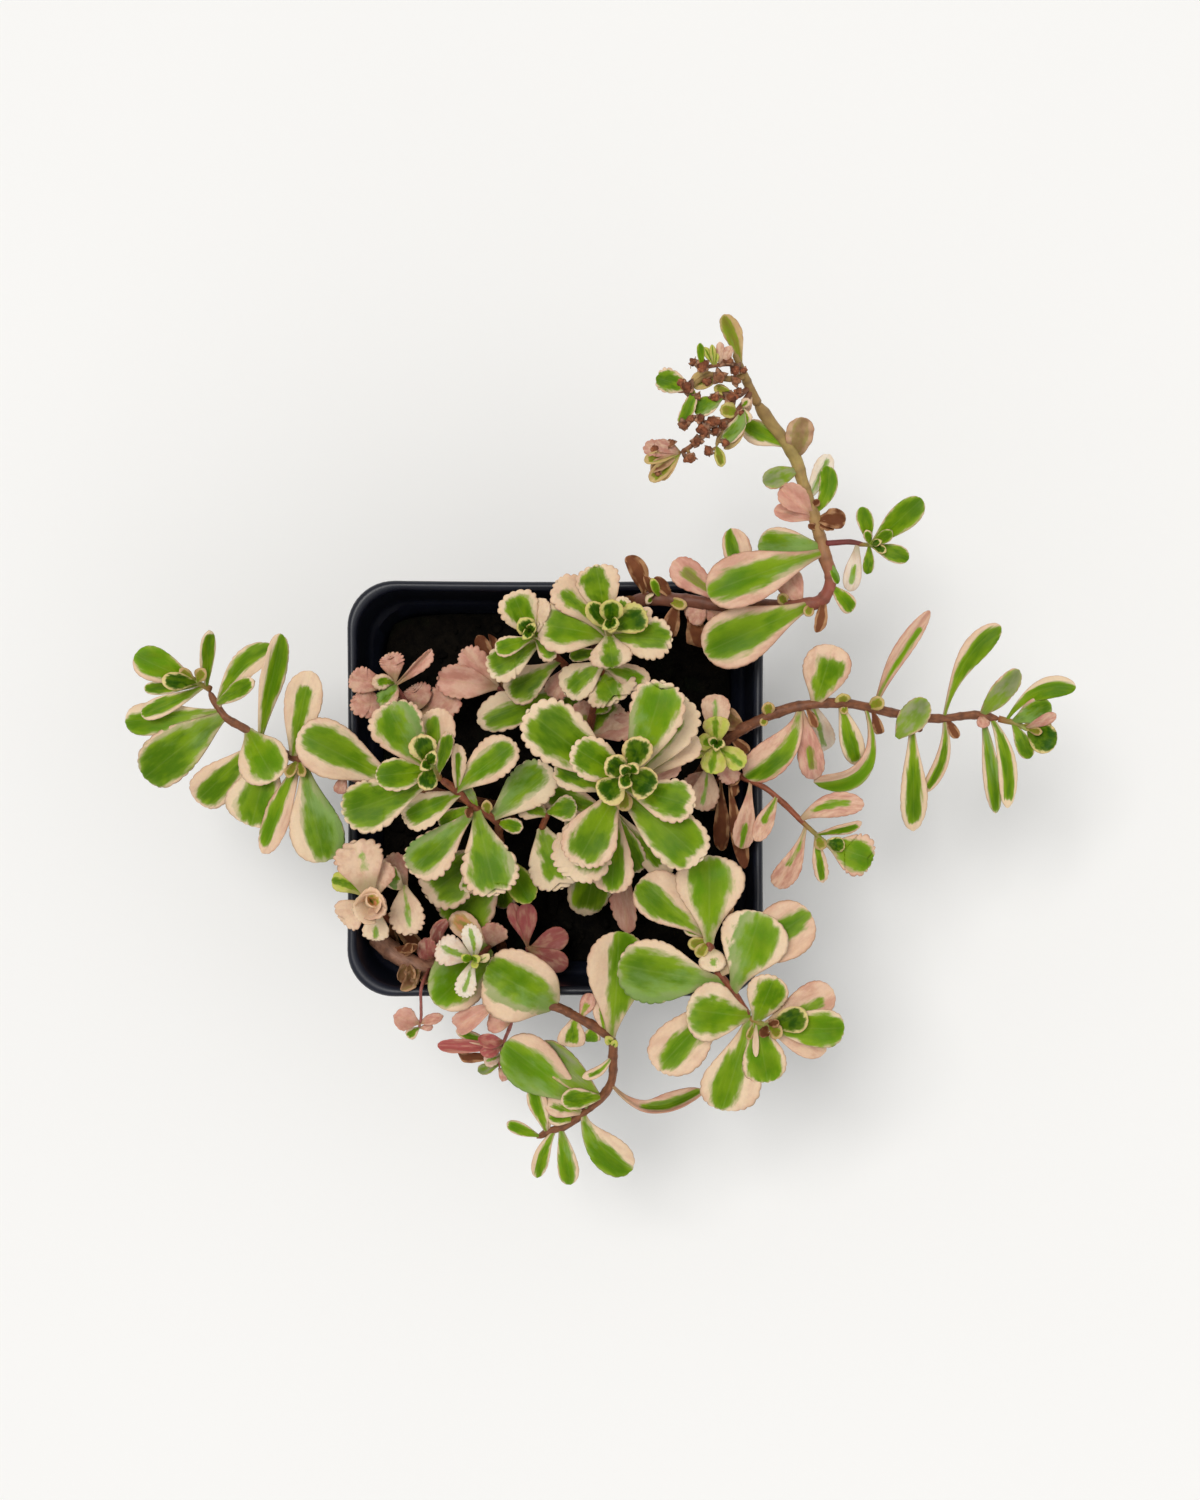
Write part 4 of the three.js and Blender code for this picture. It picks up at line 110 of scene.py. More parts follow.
# leaves: name, stem, [foot x, y, tip x, y], width, form, own piece
LEAVES = [
  ["LT1","LTc",[207,686,208,629],18,{"k":"G","r":38,"d":12.7,"z":90.52,"a":1},""],
  ["LT2","LTc",[190,683,135,655],34,{"k":"G","g":[0.9,0.15,0,1],"d":3.9,"z":93.12,"r":6},""],
  ["LT3","LTc",[200,684,162,680],19,{"k":"K","d":7.5,"z":93.77,"c":0.4,"r":-4},""],
  ["LT3b","LTc",[197,682,205,669],14,{"k":"O","d":5.1,"z":93.12,"c":0.3,"r":2},""],
  ["LT3c","LTc",[194,680,180,669],12,{"k":"O","d":5.2,"z":93.77,"c":0.3},""],
  ["LT5","LTc",[190,690,143,688],14,{"k":"G","d":-1.2,"z":90.52,"r":4},""],
  ["LT6","LTc",[200,696,141,715],20,{"k":"N","g":[0.72,0.1,0,0.96],"d":2.4,"z":91.17,"c":0.25,"r":5},""],
  ["LT7","SL",[214,714,123,722],34,{"k":"N","g":[0.72,-0.22,0,1],"d":-1.3,"s":"s"},""],
  ["LT8","SL",[222,717,143,779],52,{"k":"G","g":[0.86,0,0,1],"d":-3.6,"b":0.5,"r":-6},"left_branch_leaf_1"],
  ["LT9","SL",[216,704,255,681],19,{"k":"G","g":[0.85,0,0,0.92],"d":9.9,"r":-11},""],
  ["LT10","SL",[221,705,275,649],34,{"k":"N","m":[236,665],"d":5.8,"g":[0.55,-0.22,0,1],"r":-28,"c":0.3,"p":0.2},""],
  ["LT11","SL",[260,738,282,634],27,{"k":"G","g":[0.75,0.15,0,1],"m":[272,680],"d":6.6,"r":32},""],
  ["LM1","SL",[293,757,311,671],38,{"k":"N","g":[0.42,0,0,0.8],"d":6.1,"p":0.3,"r":-2},""],
  ["LM2","SL",[250,732,276,780],52,{"k":"N","g":[0.72,-0.1,0,0.9],"d":7.7,"a":2,"r":3},"left_branch_leaf_2"],
  ["LM3","SL",[262,741,195,803],42,{"k":"N","g":[0.62,-0.15,0,0.93],"d":-5.1,"p":0.35,"s":"s","r":-9},""],
  ["LM4","SL",[272,748,252,826],64,{"k":"N","g":[0.6,0,0,0.95],"d":-1.6,"p":0.2,"s":"s","r":2},"left_branch_leaf_3"],
  ["LM5","SL",[299,762,266,852],32,{"k":"N","g":[0.55,0.25,0,0.9],"r":28,"d":-3.7,"p":0.5},""],
  ["LM6","SL",[303,763,325,862],54,{"k":"N","g":[0.6,-0.12,0,0.96],"d":1.4,"b":0.9,"s":"s","r":-4},"left_branch_leaf_4"],
  ["LM7","SL",[402,783,298,733],56,{"k":"N","g":[0.62,0.12,0,0.92],"d":5.5,"s":"s"},"left_branch_leaf_5"],
  ["LM8","SL",[296,762,288,778],12,{"k":"O","d":5.5,"c":0.4,"r":7},""],
  ["LM9","SL",[298,762,304,776],10,{"k":"O","d":5.4,"c":0.4,"r":-1},""],
  ["LM10","SL",[345,776,353,768],12,{"k":"P","d":-3.5,"r":8},""],
  ["LM11","SL",[345,775,338,794],14,{"k":"P","o":0.4,"d":-0.7,"r":-8},""],
  ["LP1","SLP",[378,688,350,676],27,{"k":"P","n":6,"ta":1.3,"d":5.8,"z":88.5,"r":-6},""],
  ["LP2","SLP",[382,718,354,697],30,{"k":"P","n":6,"ta":1.3,"d":8.4,"z":84.5,"r":5},""],
  ["LP3","SLP",[400,676,372,684],17,{"k":"N","d":4.5,"z":89,"g":[0.5,0,0,0.8],"p":0.3,"r":-9},""],
  ["LP4","SLP",[398,674,389,653],25,{"k":"P","n":6,"ta":1.5,"d":4.4,"z":88.5,"r":-4},""],
  ["LP5","SLP",[405,678,432,650],15,{"k":"P","r":31,"f":0.8,"d":4.8,"z":88.5,"p":0.8},""],
  ["LP6","SLP",[405,678,380,706],20,{"k":"N","g":[0.6,0.2,0,0.95],"b":1,"p":0.7,"d":3.5,"z":88.5,"r":9},""],
  ["LP7","SLP",[425,706,412,686],34,{"k":"P","n":6,"ta":1.3,"o":0.25,"d":4.4,"z":80,"r":-2},""],
  ["LP8","SLP",[433,720,456,690],34,{"k":"P","n":6,"ta":1.2,"o":0.15,"d":7.2,"z":78,"r":-9},""],
  ["PK1","SPK",[500,688,437,678],35,{"k":"P","d":2.9,"f":0.25,"z":82.5,"r":-7},""],
  ["PK2","SPK",[497,685,462,650],30,{"k":"P","d":3.8,"z":82,"r":-8},""],
  ["PK3","SPK",[500,682,478,636],20,{"k":"D","d":-1.2,"z":78,"c":0.5,"r":4},""],
  ["PK4","SPK",[498,684,492,632],14,{"k":"D","d":-1.1,"z":77,"c":0.5,"r":4},""],
  ["A1","Ac",[412,760,388,703],54,{"k":"N","g":[0.66,-0.14,0,0.9],"d":6.9,"z":118.6,"b":0.8,"ps":1,"r":1},""],
  ["A2","Ac",[440,770,438,708],38,{"k":"N","g":[0.42,-0.25,0,0.85],"d":3.9,"z":116.65,"r":-4},""],
  ["A3","Ac",[443,775,446,732],22,{"k":"G","r":42,"d":7.7,"z":116.65,"o":0.1},""],
  ["A3b","SA",[458,789,456,744],18,{"k":"N","r":36,"d":7.4,"f":0.4,"g":[0.4,0,0,0.8]},""],
  ["A4","Ac",[427,764,421,735],28,{"k":"K","d":7.1,"z":121.85,"g":[0.72,0.05,0,0.93],"r":2},""],
  ["A5","Ac",[430,764,434,752],13,{"k":"K","d":4.2,"z":123.54,"c":0.5,"r":-1},""],
  ["A5b","Ac",[429,764,421,769],13,{"k":"K","d":4.1,"z":123.54,"c":0.5,"r":-1},""],
  ["A6","Ac",[430,772,376,776],33,{"k":"G","g":[0.88,0,0,0.97],"d":6.6,"z":119.25,"c":0.3,"r":4},""],
  ["A7","Ac",[430,768,425,790],22,{"k":"K","d":3.9,"z":120.55,"g":[0.85,0,0,0.9],"r":-5},""],
  ["A8","Ac",[430,790,343,812],52,{"k":"G","g":[0.84,0,0,0.95],"d":1.9,"z":116.26,"s":"s","r":-5},""],
  ["A9","SA",[458,797,402,818],36,{"k":"G","g":[0.6,-0.05,0,0.88],"f":0.2,"d":0.3,"z":108.85},""],
  ["A10","SA",[466,812,440,824],22,{"k":"G","o":0.1,"d":-3,"r":1},""],
  ["B1","SA",[459,785,516,743],40,{"k":"N","g":[0.6,0,0,0.9],"d":4.4,"b":0.4,"r":-9},""],
  ["B2","SA",[494,816,552,768],46,{"k":"N","g":[0.55,-0.25,0,0.85],"d":3.2,"b":0.8,"n":7,"r":7},""],
  ["B3","SA",[480,808,462,785],14,{"k":"U","d":4.5,"r":-3},""],
  ["B4","SA",[490,812,486,800],12,{"k":"O","d":4.1,"c":0.5,"r":-8},""],
  ["B5","SA",[472,806,466,818],12,{"k":"D","d":4.1,"c":0.5},""],
  ["B6","SA",[472,814,411,872],46,{"k":"N","g":[0.62,0.02,0,0.9],"d":-0.3,"b":0.8,"s":"s","r":-4},"left_rosette_lower_leaf_1"],
  ["B7","SA",[476,811,497,895],60,{"k":"N","g":[0.68,0.03,0,0.9],"d":3.5,"b":0.5,"s":"s","r":2},"left_rosette_lower_leaf_2"],
  ["B8","SA",[497,822,523,828],16,{"k":"G","d":3.2,"r":2},""],
  ["B9","SA",[499,842,425,898],56,{"k":"G","o":0.35,"d":-0.1,"s":"s","g":[0.8,0,0,0.85],"r":4},""],
  ["B10","SA",[503,856,450,925],62,{"k":"G","o":0.45,"d":-1.5,"s":"s","g":[0.85,0,0,0.95],"r":2},""],
  ["B11","SA",[497,836,462,892],18,{"k":"N","d":-0.8,"f":0.5,"o":0.1,"r":-7},""],
  ["B12","SA",[503,853,530,902],30,{"k":"Y","g":[0.9,0,0,1],"d":9,"s":"s","z":84,"r":-9},""],
  ["B13","SA",[504,864,503,909],27,{"k":"G","o":0.5,"d":-1.3,"r":3},""],
  ["B14","SB",[541,828,562,889],52,{"k":"N","g":[0.68,-0.15,0,0.8],"d":0.5,"s":"o","r":2},""],
  ["B15","SB",[546,815,520,800],28,{"k":"N","g":[0.55,0,0,0.8],"d":2,"r":-7},""],
  ["B16","SB",[548,812,577,806],26,{"k":"G","d":2,"r":-6},""],
  ["C1","Cc",[368,884,353,841],48,{"k":"C","z":97.8,"d":4.7,"g":[0.15,0.2,0.3,0.7],"p":0.5,"r":4},""],
  ["C1b","Cc",[372,890,385,860],30,{"k":"C","z":95.2,"d":2.8,"p":0.7,"g":[0,0,0,0],"r":-3},""],
  ["C2","Cc",[357,882,332,880],20,{"k":"Y","z":95.2,"d":2.5,"g":[0.4,0,0,1],"r":-2},""],
  ["C3","Cc",[362,905,341,921],34,{"k":"C","z":95.2,"d":1,"g":[0,0,0,0],"p":0.4,"r":-9},""],
  ["C4a","Cc",[376,905,353,910],36,{"k":"C","z":99.1,"d":6.9,"c":0.5,"p":0.2,"g":[0,0,0,0],"r":-4},""],
  ["C4b","Cc",[374,908,371,889],32,{"k":"H","g":[0.6,0,0,0.5],"z":99.1,"d":8.2,"c":0.6,"p":0.3,"r":3},""],
  ["C4c","Cc",[368,900,385,914],30,{"k":"C","z":99.1,"d":6.8,"c":0.6,"p":0.5,"g":[0,0,0,0],"r":-4},""],
  ["C4d","Cc",[368,905,379,896],23,{"k":"H","z":100.4,"d":6.5,"c":0.7,"r":7},""],
  ["C4e","Cc",[374,900,366,904],18,{"k":"H","z":100.4,"d":7.1,"c":0.7,"r":8},""],
  ["C5","Cc",[377,914,376,941],27,{"k":"C","z":95.2,"d":-0.5,"g":[0.25,0,0.4,0.9],"r":4},""],
  ["C6","SC2",[404,900,382,866],20,{"k":"N","b":1,"r":23,"f":0.3,"d":4.8,"z":90,"g":[0.6,0.2,0.3,1]},""],
  ["C7","SC2",[404,886,411,935],36,{"k":"C","d":3.8,"z":90,"g":[0.16,0,0,0.85],"p":0.4,"r":-3},""],
  ["C8","SC2",[406,884,388,856],28,{"k":"P","o":0.2,"d":-1.6,"z":86,"r":-8},""],
  ["C9","SC2",[410,897,398,900],16,{"k":"P","d":1.6,"z":82,"r":7},""],
  ["C10","SC",[384,914,425,950],20,{"k":"D","d":-6.1,"z":80,"r":-1},""],
  ["C11","SC",[388,918,395,952],16,{"k":"D","d":-4.1,"z":78,"r":-2},""],
  ["C12","S14",[420,968,430,938],22,{"k":"R","p":1,"d":8.3,"z":75,"s":"r","r":-2},""],
  ["C13","S14",[425,970,446,918],16,{"k":"R","p":1,"d":11.5,"z":75,"m":[430,935],"r":34},""],
  ["C14","SD",[488,948,452,914],26,{"k":"H","o":0.15,"z":82,"d":1.3,"r":7},""],
  ["C15","S14",[412,965,396,979],22,{"k":"D","t":0.35,"d":4.3,"z":82,"c":0.5,"r":-8},""],
  ["C16","S14",[420,968,404,989],20,{"k":"D","t":0.5,"d":9.4,"z":82,"c":0.5,"r":4},""],
  ["C17","S14",[425,969,432,986],18,{"k":"D","t":0.3,"d":10.5,"z":82,"c":0.5,"r":-7},""],
  ["C17c","S14",[408,963,412,979],14,{"k":"D","t":0.2,"d":6.7,"z":82,"c":0.5,"r":9},""],
  ["C17b","S14",[415,966,419,986],15,{"k":"D","t":0.6,"d":8,"z":82,"c":0.5},""],
  ["C18","S14",[405,960,412,942],14,{"k":"D","d":4.3,"z":75,"r":4},""],
  ["C19","S14",[395,955,420,946],12,{"k":"D","d":5.7,"z":75,"r":3},""],
  ["P1","SP",[527,947,511,903],16,{"k":"R","d":5,"z":76,"s":"s","r":-4},""],
  ["P2","SP",[528,948,527,903],21,{"k":"R","d":6.2,"z":76,"s":"s","r":-7},""],
  ["P3","SP",[530,950,568,934],24,{"k":"R","o":0.4,"d":2.3,"z":74,"r":3},""],
  ["P4","SP",[531,950,568,966],22,{"k":"R","o":0.5,"d":4.8,"z":76},""],
  ["P5","SD",[490,947,498,923],28,{"k":"P","o":0.25,"d":4.4,"z":82,"r":-1},""],
  ["D1","Dc",[480,952,468,924],21,{"k":"W","d":4.2,"z":101.05,"n":5,"s":"e","r":-4},""],
  ["D2","Dc",[465,957,437,945],31,{"k":"W","p":0.4,"d":2.7,"z":100.4,"n":5,"r":-4},""],
  ["D3","Dc",[478,966,489,954],9,{"k":"C","d":5.1,"z":101.05,"c":0.3,"y":0.4,"r":7},""],
  ["D4","Dc",[470,966,463,997],22,{"k":"W","d":2.7,"z":100.4,"n":5,"r":-5},""],
  ["D5","Dc",[472,959,462,956],10,{"k":"Y","d":4.2,"z":102.48,"c":0.5,"g":[0.9,0,0,0.9],"r":-8},""],
  ["D6","Dc",[473,960,480,957],10,{"k":"Y","d":4,"z":102.48,"c":0.5,"g":[0.8,0,0,0.7],"r":1},""],
  ["D7","Dc",[473,960,477,968],9,{"k":"Y","d":3.3,"z":102.22,"c":0.4,"g":[0.2,0,0,0.5],"r":-2},""],
  ["F1","S10",[557,1000,486,967],74,{"k":"N","g":[0.52,0.06,0,1],"ta":0.3,"z":95.2,"d":5.8,"a":3.2,"b":0.7,"s":"r","r":-8},"bottom_leaf_1"],
  ["F2","SD",[488,948,436,1003],62,{"k":"N","g":[0.75,0.12,0,1],"ta":0.2,"z":84,"d":13.2,"b":0.6,"s":"r","r":-7},"bottom_leaf_2"],
  ["F3","S12",[497,1001,456,1027],22,{"k":"P","f":0.9,"p":0.6,"d":-5,"z":92.6,"r":5},""],
  ["F4","S12",[511,1021,489,1016],27,{"k":"P","f":0.8,"p":0.5,"d":-0.7,"z":90,"s":"r","r":-7},""],
  ["F5","S12",[502,1050,456,1030],12,{"k":"N","b":0.5,"p":0.5,"d":3.8,"z":82,"r":-2},""],
  ["F5b","S12",[502,1046,438,1045],15,{"k":"R","f":1,"d":1.7,"z":82,"r":4},""],
  ["F5c","S12",[503,1044,478,1038],14,{"k":"R","d":3.2,"z":83,"f":1,"r":4},""],
  ["F5d","S12",[503,1046,480,1052],14,{"k":"R","d":3.1,"z":82,"f":0.9,"r":-6},""],
  ["F5e","S12",[501,1056,484,1062],14,{"k":"W","p":0.6,"d":1.7,"z":80,"f":0.8,"r":4},""],
  ["F5f","S12",[500,1064,478,1071],12,{"k":"U","d":-0.6,"z":77,"r":-8},""],
  ["F5g","S12",[501,1058,455,1056],14,{"k":"D","d":0,"z":79,"r":3},""],
  ["F5h","S12",[499,1067,508,1080],12,{"k":"P","d":-2.1,"z":76,"r":-4},""],
  ["F6","S10",[590,1106,505,1043],54,{"k":"N","g":[0.68,-0.22,0,1],"b":0.8,"d":5.3,"p":0.4,"z":81,"s":"s","r":4},"bottom_leaf_3"],
  ["F6b","S10",[601,1098,539,1044],32,{"k":"U","p":0.4,"d":0.9,"z":82,"r":9},""],
  ["F7","S10",[546,1132,534,1083],20,{"k":"N","g":[0.6,-0.2,0,1],"d":7.6,"z":77,"r":-5},""],
  ["F7b","S10",[548,1131,547,1090],12,{"k":"C","g":[0,0,0,0],"d":4.8,"z":77,"p":0.3,"r":5},""],
  ["F8","S10",[540,1136,507,1123],14,{"k":"G","d":3.4,"z":76,"b":0.4,"r":-6},""],
  ["F9","S10",[556,1130,537,1178],17,{"k":"N","g":[0.6,-0.15,0,1],"m":[540,1150],"d":-2.4,"z":77,"o":0.1,"r":-4},""],
  ["F10","S10",[562,1127,571,1186],22,{"k":"N","g":[0.7,0.2,0,1],"d":-2.2,"z":77,"b":0.6,"r":-9},""],
  ["F11","S10",[583,1113,546,1100],24,{"k":"N","p":0.5,"d":2.3,"z":80,"g":[0.3,-0.2,0,0.8],"r":3},""],
  ["F11b","S10",[573,1120,548,1114],18,{"k":"N","g":[0.7,0,0,0.9],"d":0.7,"z":79,"r":8},""],
  ["F12","S10",[601,1096,561,1100],22,{"k":"G","d":4.8,"z":83,"r":7},""],
  ["F13","S10",[610,1052,583,1077],11,{"k":"N","m":[604,1073],"b":0.5,"d":-1.5,"z":87,"g":[0.4,0,0,0.8],"r":2},""],
  ["F14","S10",[576,1016,570,1047],28,{"k":"N","p":0.4,"g":[0.5,0,0,0.8],"o":0.1,"d":-4.2,"z":92.6,"r":-4},""],
  ["F14b","S10",[592,1025,591,1042],18,{"k":"G","d":-3.3,"z":91.3,"r":-3},""],
  ["F14c","S10",[580,1018,592,994],16,{"k":"P","g":[0.4,0,0,0.6],"d":-0.5,"z":91.3,"r":-2},""],
  ["F14d","S10",[604,1033,601,1000],18,{"k":"N","p":0.5,"d":2.1,"z":90,"g":[0.4,0.1,0,0.8]},""],
  ["F15","S10",[612,1044,606,1037],10,{"k":"Y","g":[0.3,0,0,0.7],"d":2.7,"z":89,"c":0.5,"r":4},""],
  ["F16","S10",[613,1048,616,1040],8,{"k":"Y","g":[0.3,0,0,0.7],"d":2.7,"z":88,"c":0.5,"r":-8},""],
  ["F17","S10",[583,1113,633,1170],38,{"k":"N","m":[586,1140],"g":[0.65,0.35,0,1],"b":0.5,"p":0.3,"d":-3,"z":80,"s":"s","r":-6},""],
  ["Q16","S10",[611,1085,702,1088],24,{"k":"N","g":[0.5,0,0.35,1],"p":0.9,"m":[648,1130],"o":0.25,"r":-43,"c":0.3,"f":0.3,"d":3.7,"z":85,"s":"s"},""],
  ["S11a","S11",[420,1022,394,1016],24,{"k":"P","p":0.5,"f":0.6,"s":"s","d":4.5,"z":83,"r":6},""],
  ["S11b","S11",[420,1026,407,1037],12,{"k":"N","d":-0.8,"z":81,"r":-4},""],
  ["S11c","S11",[420,1022,443,1016],11,{"k":"P","f":0.8,"d":3.1,"z":83,"r":-7},""],
  ["S11d","S11",[420,1027,433,1027],8,{"k":"P","d":0.3,"z":81},""],
  ["T2a","T2c",[528,632,512,592],42,{"k":"G","g":[0.66,0,0,0.86],"d":4.7,"z":110.8,"r":7},""],
  ["T2b","T2c",[532,630,545,599],21,{"k":"C","d":4.3,"z":109.5,"g":[0.15,-0.2,0,0.5],"r":-9},""],
  ["T2c","T2c",[531,637,521,619],20,{"k":"K","d":5.3,"z":114.7,"y":0.5,"r":5},""],
  ["T2d","T2c",[530,632,534,624],11,{"k":"K","d":4.1,"z":116.26,"c":0.5,"y":0.5,"r":3},""],
  ["T2d2","T2c",[530,632,524,638],11,{"k":"K","d":4.1,"z":116.26,"c":0.5,"y":0.5,"r":-4},""],
  ["T2e","T2c",[527,643,495,650],20,{"k":"G","d":2.8,"z":109.5,"c":0.2,"r":4},""],
  ["T2f","T2c",[533,652,488,671],37,{"k":"N","g":[0.7,0.15,0,0.9],"d":1.9,"z":105.6,"r":-2},""],
  ["T2g","T2c",[534,646,556,657],19,{"k":"N","d":2.4,"z":108.2,"b":0.6,"r":5},""],
  ["T2g2","T2c",[533,640,549,630],18,{"k":"N","d":2.2,"z":110.8,"r":-4},""],
  ["T2h","ST2",[560,666,505,693],40,{"k":"N","g":[0.62,-0.2,0,0.9],"o":0.15,"d":0.4,"z":93.9,"s":"s","r":-5},""],
  ["T2i","ST2",[566,668,552,699],25,{"k":"P","o":0.1,"d":-2.9,"z":90,"r":1},""],
  ["M1","ST2",[577,688,477,722],38,{"k":"N","g":[0.62,-0.25,0,0.9],"o":0.25,"z":82,"d":6.5,"s":"s","r":8},""],
  ["M2","ST2",[580,690,560,722],26,{"k":"G","o":0.5,"z":78,"d":-1.5,"r":-2},""],
  ["T1a","T1c",[604,607,596,565],44,{"k":"G","g":[0.62,-0.2,0,0.93],"d":4.6,"z":110.8,"r":-7},""],
  ["T1b","T1c",[592,614,557,581],38,{"k":"N","g":[0.4,-0.2,0,0.75],"d":3.3,"z":109.5,"r":-9},""],
  ["T1d","T1c",[600,632,538,625],52,{"k":"N","g":[0.64,0,0,0.85],"d":2.4,"z":109.5,"r":9},""],
  ["T1e","T1c",[605,632,589,602],20,{"k":"K","d":5.8,"z":116,"y":0.5,"g":[0.7,0.1,0,0.9],"r":4},""],
  ["T1f","T1c",[611,624,612,599],25,{"k":"K","d":5.5,"z":117.95,"y":0.5,"g":[0.66,0,0,0.9],"r":1},""],
  ["T1g","T1c",[611,624,604,628],13,{"k":"K","d":4.1,"z":119.38,"c":0.5,"y":0.5,"r":-4},""],
  ["T1g2","T1c",[611,623,618,624],13,{"k":"K","d":4,"z":119.38,"c":0.5,"y":0.5,"r":2},""],
  ["T1g3","T1c",[611,624,611,632],14,{"k":"K","d":4.1,"z":118.6,"c":0.4,"y":0.5,"r":-6},""],
  ["T1h","T1c",[617,628,646,612],33,{"k":"K","g":[0.7,0.1,0,0.88],"d":4.3,"z":114.7,"y":0.5,"r":4},""],
  ["T1i","T1c",[615,617,627,598],18,{"k":"N","g":[0.5,0,0,0.8],"d":3.9,"z":112.1,"r":-3},""],
  ["T1j","T1c",[640,630,649,607],13,{"k":"C","d":2.4,"z":108.2,"r":-4},""],
  ["T1k","T1c",[615,637,672,640],43,{"k":"N","g":[0.6,-0.15,0,0.93],"d":2.2,"z":110.8,"r":3},""],
  ["T1l","T1c",[608,636,613,668],44,{"k":"N","g":[0.45,0.05,0,1],"d":1.2,"z":112.1,"b":0.3,"c":0.05,"r":-4},""],
  ["T1m","ST1",[601,672,617,703],50,{"k":"N","g":[0.6,0.1,0,0.85],"d":2.2,"z":99.1,"r":-4},""],
  ["T1n","ST1",[604,662,649,684],26,{"k":"N","g":[0.5,0,0,0.85],"d":0.1,"z":100.4,"o":0.1,"r":6},""],
  ["T1o","ST1",[601,660,565,694],37,{"k":"N","g":[0.5,0,0,0.85],"d":-1.2,"z":100.4,"r":7},""],
  ["T1p","ST1",[603,650,569,657],14,{"k":"G","o":0.3,"d":-0.3,"z":103,"r":-2},""],
  ["N1","ST1",[590,735,579,702],34,{"k":"P","o":0.2,"g":[0.2,0,0,0.6],"d":7.2,"z":80,"r":6},""],
  ["N2","ST1",[594,716,606,698],22,{"k":"G","o":0.3,"d":4.3,"z":88,"r":6},""],
  ["N3","ST1",[592,740,620,704],36,{"k":"N","p":0.7,"o":0.15,"g":[0.4,-0.4,0,0.9],"d":8.7,"z":78,"r":8},""],
  ["N4","ST1",[590,742,560,735],30,{"k":"N","o":0.3,"d":5.8,"z":76,"r":-8},""],
  ["N5","ST1",[590,740,640,720],28,{"k":"P","o":0.3,"d":8.9,"z":78,"r":8},""],
  ["R1","Rc",[600,767,527,711],60,{"k":"G","g":[0.78,0,0,0.88],"z":119.9,"d":6.5,"r":7},""],
  ["R2","Rc",[612,768,572,747],42,{"k":"G","g":[0.8,0,0,0.88],"z":126.4,"d":6.2,"s":"r","r":1},""],
  ["R3","Rc",[598,788,555,768],31,{"k":"N","g":[0.6,0,0,0.9],"z":114.7,"d":1.8,"r":4},""],
  ["R4","Rc",[648,752,663,681],56,{"k":"N","g":[0.76,0.05,0,0.9],"z":121.2,"d":7.3,"b":0.6},""],
  ["R5","Rc",[650,760,686,699],52,{"k":"N","g":[0.5,0,0,0.7],"z":114.7,"d":2.7,"r":-1},""],
  ["R6","Rc",[652,762,699,738],36,{"k":"C","z":112.1,"d":0.5,"g":[0.3,0,0,0.4],"r":-8},""],
  ["R7","Rc",[635,767,640,736],32,{"k":"K","z":129,"d":7.2,"g":[0.72,0,0,0.9],"r":3},""],
  ["R8","Rc",[627,777,608,759],25,{"k":"K","z":130.3,"d":5.5,"r":-3},""],
  ["R9a","Rc",[627,777,621,787],15,{"k":"K","z":133.55,"d":4.2,"c":0.5,"r":-9},""],
  ["R9b","Rc",[629,772,637,764],14,{"k":"K","z":133.94,"d":4.2,"c":0.5,"r":4},""],
  ["R9c","Rc",[629,773,621,766],13,{"k":"K","z":134.2,"d":3.4,"c":0.5,"r":-9},""],
  ["R10","Rc",[629,772,656,788],33,{"k":"K","z":129.65,"d":4.2,"g":[0.84,0,0,0.94],"r":8},""],
  ["R11","Rc",[625,781,600,799],33,{"k":"K","z":127.05,"d":4.2,"g":[0.7,0.1,0,0.88],"r":8},""],
  ["R12","Rc",[628,788,622,811],18,{"k":"O","z":121.2,"d":2.4,"r":-8},""],
  ["R13","Rc",[635,790,695,806],45,{"k":"G","g":[0.78,0,0,0.85],"z":121.2,"d":5.4,"r":-7},""],
  ["R14","Rc",[635,797,702,860],58,{"k":"G","g":[0.82,0,0,0.88],"z":116,"d":5,"r":4},""],
  ["R15","Rc",[612,798,576,865],54,{"k":"G","g":[0.72,0,0,0.88],"z":117.3,"d":4.4,"r":-6},""],
  ["R16","Rc",[605,805,569,878],60,{"k":"N","g":[0.5,-0.3,0,0.8],"z":112.1,"d":1.6,"r":-2},""],
  ["R17","Rc",[617,810,612,893],43,{"k":"N","g":[0.58,0,0,0.95],"z":108.2,"d":-1.3,"s":"s","p":0.4,"r":7},""],
  ["R18","SR",[612,804,640,873],25,{"k":"G","o":0.25,"z":100.4,"d":-5.5,"s":"s","r":-3},""],
  ["R19","SR",[611,806,669,877],27,{"k":"N","o":0.15,"z":99.1,"d":-5.1,"s":"s","g":[0.4,0,0,0.8],"r":9},""],
  ["R20","Rc",[632,785,681,764],20,{"k":"P","z":108.2,"d":0.5,"r":-6},""],
  ["R21","SR",[608,812,584,916],46,{"k":"G","o":0.55,"z":92.6,"d":-12.2,"s":"s","g":[0.85,0,0,0.9],"r":-9},""],
  ["R22","SR",[606,815,630,930],30,{"k":"P","o":0.35,"z":90,"d":-9.4,"s":"s","r":28},""],
  ["R23","SR",[606,816,540,790],34,{"k":"N","o":0.15,"z":92.6,"d":-0.6,"r":8},""],
  ["R24","SR",[606,816,566,830],30,{"k":"N","o":0.3,"z":90,"d":-1.4,"r":4},""],
  ["Y1","Yc",[716,730,715,694],30,{"k":"C","g":[0.2,0,0.2,0.8],"z":99.1,"d":1.4,"o":0.1,"p":0.6,"r":3},""],
  ["Y2","Yc",[717,740,715,716],27,{"k":"Y","g":[0.25,0,0,1],"z":104.3,"d":3.9,"r":1},""],
  ["Y3","Yc",[714,744,698,740],17,{"k":"Y","g":[0.5,0,0,0.7],"z":104.3,"d":3.6,"r":-1},""],
